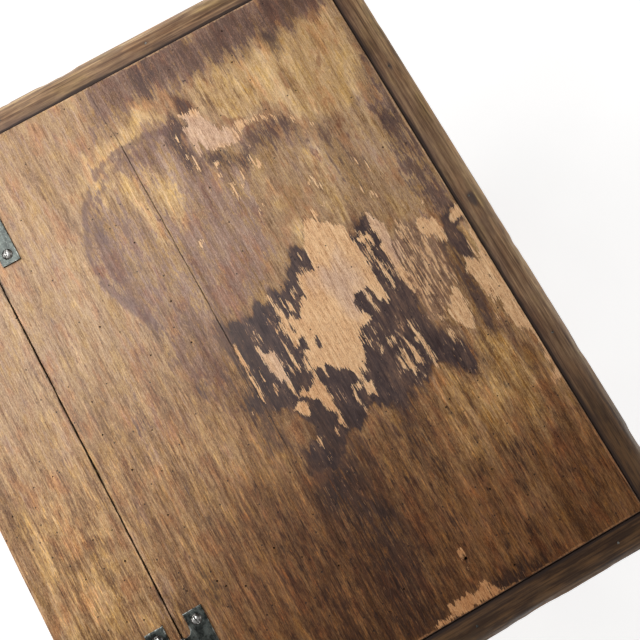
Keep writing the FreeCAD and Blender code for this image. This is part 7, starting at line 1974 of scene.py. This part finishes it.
# ---------------------------------------------------------------------------
# key
# ---------------------------------------------------------------------------
def build_key(mat):
    V, F, W, D = [], [], [], []
    base = 0
    # bow
    nR, nr = 96, 28
    v, f = [], []
    for i in range(nR):
        a = 2 * math.pi * i / nR
        for k in range(nr):
            b = 2 * math.pi * k / nr
            rr = 2.15 * (1 + 0.035 * math.sin(3 * a + 1) * math.cos(b))
            R = 7.6 + rr * math.cos(b)
            v.append((rr * math.sin(b) * 0.92, -256.5 + R * math.cos(a), 1.25 * R * math.sin(a)))
    for i in range(nR):
        for k in range(nr):
            i2, k2 = (i + 1) % nR, (k + 1) % nr
            f.append((i * nr + k, i * nr + k2, i2 * nr + k2, i2 * nr + k))
    v = np.array(v)
    V.append(v)
    F += f
    w = 0.35 + 0.6 * fbm(v[:, 0] / 3, v[:, 1] / 5, v[:, 2] / 5, 3, 2)
    inner = np.hypot(v[:, 1] + 256.5, v[:, 2] / 1.25) < 6.4
    W.append(np.where(inner, w * 0.35, w))
    D.append(np.where(inner, 0.45, 0.1))
    base += len(v)
    prof = outline((0.3, 249.6), [
        ("L", [(2.6, 249.6), (3.05, 249.0), (3.0, 246.2), (3.8, 246.1)]),
        ("A", [(4.4, 245.1), (3.8, 244.1)]),
        ("L", [(3.05, 244.0), (3.05, 243.5), (3.5, 243.4)]),
        ("A", [(4.0, 242.8), (3.5, 242.2)]),
        ("L", [(3.0, 242.1), (3.0, 221.2), (2.7, 220.6), (1.75, 220.6), (1.6, 221.0), (1.6, 234.9), (0.1, 235.0)]),
    ], 0.5, 0.15)
    prof = [(r, -h) for r, h in prof]
    n = 48
    v, f = lathe(prof, n, (0.0, 0.0, 0.0), (0.0, 1.0, 0.0), 5, 0.02)
    V.append(v)
    F += [tuple(i + base for i in q) for q in f]
    h = np.repeat([p[1] for p in prof], n)
    r = np.repeat([p[0] for p in prof], n)
    W.append(smooth(3.1, 4.2, r) * 0.9 + 0.15)
    D.append(np.where(r < 1.8, 0.9, 0.5 * smooth(3.4, 3.0, r) * (np.abs(h + 244) < 3.4)))
    base += len(v)
    # bit, a slim block with eased edges
    bm = bmesh.new()
    bmesh.ops.create_cube(bm, size=1.0)
    for q in bm.verts:
        q.co = Vector((q.co.x * 2.5, -224.1 + q.co.y * 5.8, 5.5 + q.co.z * 7.0))
    bmesh.ops.bevel(bm, geom=bm.edges[:], offset=0.25, offset_type="OFFSET", segments=2, profile=0.5, affect="EDGES")
    for ax, c0, c1, m in ((1, -227.0, -221.2, 7), (2, 2.0, 9.0, 8)):
        no = [0, 0, 0]
        no[ax] = 1
        for k in range(1, m):
            pc = [0, 0, 0]
            pc[ax] = c0 + (c1 - c0) * k / m
            bmesh.ops.bisect_plane(bm, geom=bm.verts[:] + bm.edges[:] + bm.faces[:], dist=0.01, plane_co=pc, plane_no=no)
    bm.verts.index_update()
    v = np.array([q.co[:] for q in bm.verts])
    V.append(v)
    F += [tuple(q.index + base for q in fa.verts) for fa in bm.faces]
    bm.free()
    W.append(smooth(6.0, 9.0, v[:, 2]) * 0.8)
    D.append(0.3 * smooth(4.0, 2.0, v[:, 2]))
    V = np.concatenate(V)
    t = math.radians(-30.0)
    c, s = math.cos(t), math.sin(t)
    # turned about the key's axis
    X = V[:, 0] * c + V[:, 2] * s
    Z = -V[:, 0] * s + V[:, 2] * c
    V = np.stack([X, V[:, 1], Z + 800.0], 1)
    make_object("lid_lock_key_skin", V, F, [mat], "key", ["lid_lock_key"],
                dict(wear=np.concatenate(W), dirt=np.concatenate(D)), None, 38.0)


# ---------------------------------------------------------------------------
# everything
# ---------------------------------------------------------------------------
def near_planes(P, ax, values, reach, gain):
    d = np.min([np.abs(P[:, ax] - v) for v in values], axis=0)
    return gain * smooth(reach, 0.2, d)


def top_under_material():
    return raw_material("top_underside", "X", 11, stops=[(0.12, srgb(98, 68, 45)), (0.45, srgb(140, 104, 72)), (0.90, srgb(178, 140, 100))],
                        soot=0.5, centre=(0.02, 0.95), tilt=(0.05, 0.10))


M = {}
M["top"] = top_material()
M["top_under"] = top_under_material()
M["mould_x"] = moulding_material("moulding_finish_x", "X")
M["mould_y"] = moulding_material("moulding_finish_y", "Y")
M["case_x"] = wood_material("case_finish_x", "X", 2, centre=(-0.12, 0.44))
M["case_z"] = wood_material("case_finish_z", "Z", 5, rings=0.35, centre=(0.02, 0.03), tilt=(0.02, 0.01), finish=0.56)
M["panel_x"] = wood_material("panel_finish_x", "X", 7, rings=0.75, ring_scale=150.0, centre=(-0.13, 0.655), tilt=(0.16, 0.06))
M["drawer_x"] = wood_material("drawer_front_finish", "X", 9, rings=0.7, ring_scale=140.0, finish=0.42, centre=(-0.155, 0.47), tilt=(-0.18, 0.05))
M["side_r"] = wood_material("side_panel_finish_r", "Y", 8, rings=0.75, ring_scale=150.0, centre=(-0.185, 0.62), tilt=(0.17, 0.05))
M["side_l"] = wood_material("side_panel_finish_l", "Y", 10, rings=0.75, ring_scale=150.0, centre=(0.185, 0.57), tilt=(0.15, -0.06))
M["knob"] = wood_material("knob_finish", "Y", 3, rings=0.6, ring_scale=420.0, rough=(0.32, 0.48), finish=0.62, centre=(0.30, 0.40), tilt=(0.0, 0.0))
M["raw_x"] = raw_material("inner_wood_x", "X", 1, centre=(0.155, 0.62), tilt=(0.14, 0.05))
M["raw_y"] = raw_material("inner_wood_y", "Y", 2, centre=(-0.15, 0.62), tilt=(0.10, 0.05))
M["cherry_x"] = raw_material("inside_of_case_x", "X", 4, stops=[(0.12, srgb(92, 60, 39)), (0.45, srgb(132, 92, 62)), (0.90, srgb(172, 130, 92))], centre=(-0.33, 0.66), tilt=(0.12, 0.04))
M["cherry_y"] = raw_material("inside_of_case_y", "Y", 5, stops=[(0.12, srgb(92, 60, 39)), (0.45, srgb(132, 92, 62)), (0.90, srgb(172, 130, 92))], centre=(-0.38, 0.62), tilt=(0.12, 0.04))
M["cherry_z"] = raw_material("inside_of_case_z", "Z", 6, stops=[(0.12, srgb(92, 60, 39)), (0.45, srgb(132, 92, 62)), (0.90, srgb(172, 130, 92))], centre=(0.02, 0.03), tilt=(0.02, 0.01))
M["peg"] = wood_material("peg_end_grain", "Y", 6, rings=0.8, ring_scale=900.0, dark=(50, 31, 23), finish=0.8, worn=(150, 110, 76))
M["dark_iron"] = iron_material("dark_iron", (68, 72, 69), (178, 180, 174), 0.30, (0.34, 0.54))
M["bright_iron"] = iron_material("bright_iron", (104, 102, 98), (226, 223, 218), 0.12, (0.24, 0.42), 0.3)
M["key_iron"] = iron_material("key_iron", (84, 78, 72), (188, 182, 172), 0.3, (0.32, 0.5), 0.35)
M["brass"] = brass_material("old_brass")

build_top(M)
build_mouldings(M)
for node, cx, cy, sd in (("post_front_right", 276.5, -216.5, 3), ("post_front_left", -276.5, -216.5, 5),
                         ("post_rear_right", 276.5, 242.5, 7), ("post_rear_left", -276.5, 242.5, 9)):
    build_post(node, cx, cy, [M["case_z"], M["cherry_z"]], sd)
build_knobs(M["knob"])
build_pegs(M["peg"])
build_screws(M["bright_iron"])
build_key(M["key_iron"])


def face_side(ax, sign, limit=0.55):
    """Second material where the face doesn't look the finished way."""
    return lambda c, nrm: 0 if nrm[ax] * sign > limit else 1


def side_dirt(P):
    return np.maximum(near_planes(P, 1, (-194.0, 220.0), 7.0, 0.8), near_planes(P, 2, (353.0, 839.0), 9.0, 0.6))


for node, s in (("side_panel_right", 1), ("side_panel_left", -1)):
    refine(node, [M["side_r"] if s > 0 else M["side_l"], M["cherry_y"]], 0.6, 2, 9.0, dirt=side_dirt, inner=face_side(0, s), wave=0.35,
           seed=3 + s)


def front_dirt(P):
    d = np.maximum(near_planes(P, 0, (-254.0, 254.0), 7.0, 0.85), near_planes(P, 2, (519.0, 839.0), 8.0, 0.6))
    d = np.maximum(d, 0.75 * smooth(27.0, 12.0, np.hypot(P[:, 0] * 1.2, (P[:, 2] - 799.0) * 0.8)) * (P[:, 1] < -230))
    return d


def front_post(P, N, w, d):
    k = smooth(34.0, 18.0, np.hypot(P[:, 0], (P[:, 2] - 797.0))) * (P[:, 1] < -230)
    return P, np.maximum(w, 0.6 * k * fbm(P[:, 0] / 9.0, P[:, 2] / 9.0, 0.0, 77, 3)), d


refine("front_panel", [M["panel_x"], M["cherry_x"]], 0.6, 2, 9.0, dirt=front_dirt, inner=face_side(1, -1), wave=0.35, seed=8,
       post=front_post)
refine("mid_rail", [M["case_x"], M["cherry_x"]], 0.7, 2, 8.0, dirt=lambda P: near_planes(P, 0, (-254.0, 254.0), 6.0, 0.85),
       inner=face_side(1, -1, 0.3), seed=12)
refine("lower_rail", [M["case_x"], M["cherry_x"]], 0.8, 2, 8.0, dirt=lambda P: near_planes(P, 0, (-254.0, 254.0), 6.0, 0.85),
       inner=face_side(1, -1, 0.3), seed=14)
for node, sd in (("back_board_lower", 3), ("back_board_upper", 4)):
    refine(node, [M["raw_x"]], 0.8, 2, 11.0, dirt=lambda P: near_planes(P, 0, (-254.0, 254.0), 9.0, 0.8), wave=0.5, seed=sd, wear=0.6)
refine("well_bottom", [M["raw_x"]], 0.4, 1, 12.0, wave=0.4, seed=5,
       dirt=lambda P: np.maximum(near_planes(P, 0, (-276.0, 276.0, 62.0, 78.0), 14.0, 0.9), near_planes(P, 1, (-216.0, 245.0), 14.0, 0.9)))
refine("well_cleat", [M["raw_x"]], 0.6, 2, 12.0, seed=6)
refine("well_divider", [M["raw_y"]], 1.2, 3, 11.0, seed=7, wear=0.9,
       dirt=lambda P: np.maximum(near_planes(P, 1, (-216.0, 245.0), 9.0, 0.8), near_planes(P, 2, (532.0,), 12.0, 0.8)))
refine("well_cross_divider", [M["raw_x"]], 1.2, 3, 11.0, seed=8, wear=0.9,
       dirt=lambda P: np.maximum(near_planes(P, 0, (76.0, 276.0), 9.0, 0.8), near_planes(P, 2, (532.0,), 12.0, 0.8)))
for node, sd in (("drawer_runner_right", 9), ("drawer_runner_left", 10), ("drawer_guides", 11), ("drawer_kickers", 12), ("drawer_stops", 13)):
    refine(node, [M["raw_y"]], 0.8, 2, 14.0, seed=sd, wear=0.8)


def drawer_dirt(P):
    d = 0.8 * smooth(30.0, 13.0, np.hypot(P[:, 0] * 1.2, (P[:, 2] - 465.0) * 0.8)) * (P[:, 1] < -230)
    for kx in (-165.0, 165.0):
        r = np.hypot(P[:, 0] - kx, P[:, 2] - 441.0)
        d = np.maximum(d, 0.9 * smooth(24.0, 11.0, r) * (P[:, 1] < -230))
    return np.maximum(d, np.maximum(near_planes(P, 2, (390.0, 492.0), 4.5, 0.7), near_planes(P, 0, (-250.0, 250.0), 4.5, 0.7)) * (P[:, 1] < -234))


def drawer_post(P, N, w, d):
    for kx in (-165.0, 165.0):
        r = np.hypot(P[:, 0] - kx * 0.96, P[:, 2] - 441.0)
        k = smooth(46.0, 22.0, r) * smooth(16.0, 24.0, r) * (P[:, 1] < -230)
        w = np.maximum(w, 0.55 * k * (0.5 + fbm(P[:, 0] / 11.0, P[:, 2] / 11.0, 0.0, 78, 3)))
    return P, w, d


refine("drawer_front", [M["drawer_x"], M["raw_x"]], 0.35, 1, 8.0, dirt=drawer_dirt, inner=face_side(1, -1, 0.3), wave=0.25, seed=15,
       post=drawer_post)
refine("drawer_cock_bead", [M["case_x"]], 0.0, 1, 6.0, wave=0.0, seed=16, wear=1.0, angle=25.0,
       dirt=lambda P: 0.8 * smooth(-237.0, -235.5, P[:, 1]), sharp=50.0)
for node, sd in (("drawer_side_right", 17), ("drawer_side_left", 18)):
    refine(node, [M["raw_y"]], 0.5, 1, 10.0, seed=sd, wear=0.8)
refine("drawer_back", [M["raw_x"]], 0.5, 1, 10.0, seed=19, wear=0.8)
refine("drawer_bottom", [M["raw_x"]], 0.5, 1, 12.0, wave=0.4, seed=20,
       dirt=lambda P: np.maximum(near_planes(P, 0, (-240.0, 240.0), 14.0, 0.8), near_planes(P, 1, (-216.0, 178.0), 14.0, 0.8)))


# hardware
def iron(node, mat="dark_iron", width=0.25, cell=3.0, seg=2, reach=2.2, seed=1, dirt=None, wave=0.10, wear=1.0, sharp=42.0, angle=35.0):
    refine(node, [M[mat]], width, seg, cell, wear=wear, reach=reach, dirt=dirt, dirt_reach=2.2, wave=wave, seed=seed, sharp=sharp,
           angle=angle)


for k, node in enumerate(("hinge_right_lid_leaf", "hinge_left_lid_leaf", "hinge_right_fixed_leaf", "hinge_left_fixed_leaf")):
    iron(node, width=0.45, cell=2.6, seg=3, reach=2.8, seed=30 + k, wave=0.22,
         dirt=lambda P: np.maximum(0.7 * smooth(1.2, 0.0, P[:, 2] - TOP), 0.5 * smooth(7.0, 4.6, np.abs(P[:, 1] - CRACK_Y)) * (P[:, 2] < TOP + 3.0)))
iron("hinge_pins", "bright_iron", 0.12, 2.0, 1, 1.2, 35, wave=0.0)
iron("lid_lock_case", seed=36, cell=5.0)
iron("lid_lock_cover", seed=37, cell=4.0)
iron("lid_lock_bolt", "bright_iron", seed=38, cell=4.0)
iron("lid_lock_spring", seed=39, cell=4.0, width=0.1)
iron("lid_lock_screws", "bright_iron", 0.1, 1.5, 1, 1.0, 40, wave=0.0)
iron("lid_strike_plate", seed=41, cell=4.0)
iron("lid_strike_screws", "bright_iron", 0.1, 1.5, 1, 1.0, 42, wave=0.0)
iron("drawer_lock_case", seed=43, cell=5.0)
iron("drawer_lock_cover", seed=44, cell=4.0)
iron("drawer_lock_bolt", "bright_iron", seed=45, cell=4.0)
iron("drawer_lock_screws", "bright_iron", 0.1, 1.5, 1, 1.0, 46, wave=0.0)
iron("lid_moulding_nails", width=0.0, cell=6.0, seed=47, wave=0.0)
iron("rear_top_nails", width=0.0, cell=6.0, seed=48, wave=0.0)
for node, sd, zk in (("lid_lock_escutcheon", 49, 800.0), ("drawer_escutcheon", 50, 466.0)):
    iron(node, "brass", 0.28, 1.6, 2, 1.8, sd,
         dirt=lambda P, zk=zk: np.maximum(0.8 * smooth(0.35, 0.0, -236.0 - P[:, 1]), 0.8 * smooth(5.0, 3.4, np.hypot(P[:, 0], P[:, 2] - zk))))


# ---------------------------------------------------------------------------
# studio
# ---------------------------------------------------------------------------
def build_stage():
    me = bpy.data.meshes.new("floor")
    n = 48
    R = 12.0
    vs = [(R * (2 * i / n - 1), R * (2 * j / n - 1), 0.0) for j in range(n + 1) for i in range(n + 1)]
    fs = [(j * (n + 1) + i, j * (n + 1) + i + 1, (j + 1) * (n + 1) + i + 1, (j + 1) * (n + 1) + i) for j in range(n) for i in range(n)]
    me.from_pydata(vs, [], fs)
    net = Net("pale_floor")
    spots = net.noise(net.place(net.co(), scale=(6, 6, 6)), 1.0, 4.0, 0.6)
    col = net.mix(net.step(spots, 0.3, 0.8), (0.86, 0.86, 0.855, 1.0), (0.90, 0.90, 0.895, 1.0))
    net.finish(col, 0.85, None, spec=0.2)
    far = net.node("ShaderNodeVectorMath")
    far.operation = "LENGTH"
    net.put(far.inputs[0], net.co())
    glow = net.step(far.outputs["Value"], 0.7, 3.6, FLOOR_GLOW, 0.84)
    net.bsdf.inputs["Emission Color"].default_value = (1.0, 1.0, 1.0, 1.0)
    net.put(net.bsdf.inputs["Emission Strength"], glow)
    me.materials.append(net.mat)
    ob = bpy.data.objects.new("floor", me)
    bpy.context.scene.collection.objects.link(ob)


def area(name, loc, aim, size, power, color=(1, 1, 1), size_y=None):
    li = bpy.data.lights.new(name, "AREA")
    li.shape = "RECTANGLE" if size_y else "SQUARE"
    li.size = size
    if size_y:
        li.size_y = size_y
    li.energy = power
    li.color = color
    ob = bpy.data.objects.new(name, li)
    bpy.context.scene.collection.objects.link(ob)
    d = Vector(aim) - Vector(loc)
    ob.matrix_world = Matrix.Translation(Vector(loc)) @ d.to_track_quat("-Z", "Y").to_matrix().to_4x4()
    ob.visible_camera = False
    return ob


FLOOR_GLOW = 0.56
build_stage()
area("key_light", (0.30, 0.27, 1.50), (0.05, -0.06, 0.86), 0.45, 7.0)
area("front_fill", (-0.6, -3.2, 1.0), (0.0, 0.0, 0.45), 2.2, 38.0, size_y=1.4)
area("right_fill", (3.2, 0.4, 0.8), (0.0, 0.0, 0.45), 2.0, 30.0, size_y=1.3)
area("left_fill", (-3.2, -0.2, 0.8), (0.0, 0.0, 0.40), 2.0, 24.0, size_y=1.2)
area("back_fill", (0.5, 3.4, 0.9), (0.0, 0.0, 0.45), 2.2, 32.0, size_y=1.3)

world = bpy.data.worlds.new("studio")
bpy.context.scene.world = world
world.use_nodes = True
wt = world.node_tree
wt.nodes.clear()
wo = wt.nodes.new("ShaderNodeOutputWorld")
bg = wt.nodes.new("ShaderNodeBackground")
bg2 = wt.nodes.new("ShaderNodeBackground")
mx = wt.nodes.new("ShaderNodeMixShader")
lp = wt.nodes.new("ShaderNodeLightPath")
bg.inputs["Color"].default_value = (1.0, 0.99, 0.975, 1.0)
bg.inputs["Strength"].default_value = 0.15
bg2.inputs["Color"].default_value = (1.0, 1.0, 1.0, 1.0)
bg2.inputs["Strength"].default_value = 0.97
wt.links.new(lp.outputs["Is Camera Ray"], mx.inputs[0])
wt.links.new(bg.outputs[0], mx.inputs[1])
wt.links.new(bg2.outputs[0], mx.inputs[2])
wt.links.new(mx.outputs[0], wo.inputs[0])

cam_data = bpy.data.cameras.new("camera")
cam_data.sensor_width = 36.0
cam_data.lens = 938.346 / 640.0 * 36.0
cam_data.clip_start = 0.01
cam_data.clip_end = 60.0
cam = bpy.data.objects.new("camera", cam_data)
bpy.context.scene.collection.objects.link(cam)
right = Vector((-0.490476, -0.871206, -0.020809))
up = Vector((0.857459, -0.486723, 0.166929))
back = right.cross(up)
rot = Matrix((right, up, back)).transposed().to_4x4()
cam.matrix_world = Matrix.Translation(Vector((-0.14482, -0.01803, 1.71281))) @ rot
bpy.context.scene.camera = cam
bpy.context.scene.view_settings.view_transform = "Standard"
bpy.context.scene.view_settings.look = "None"
bpy.context.scene.view_settings.exposure = 0.0
bpy.context.scene.view_settings.gamma = 1.0
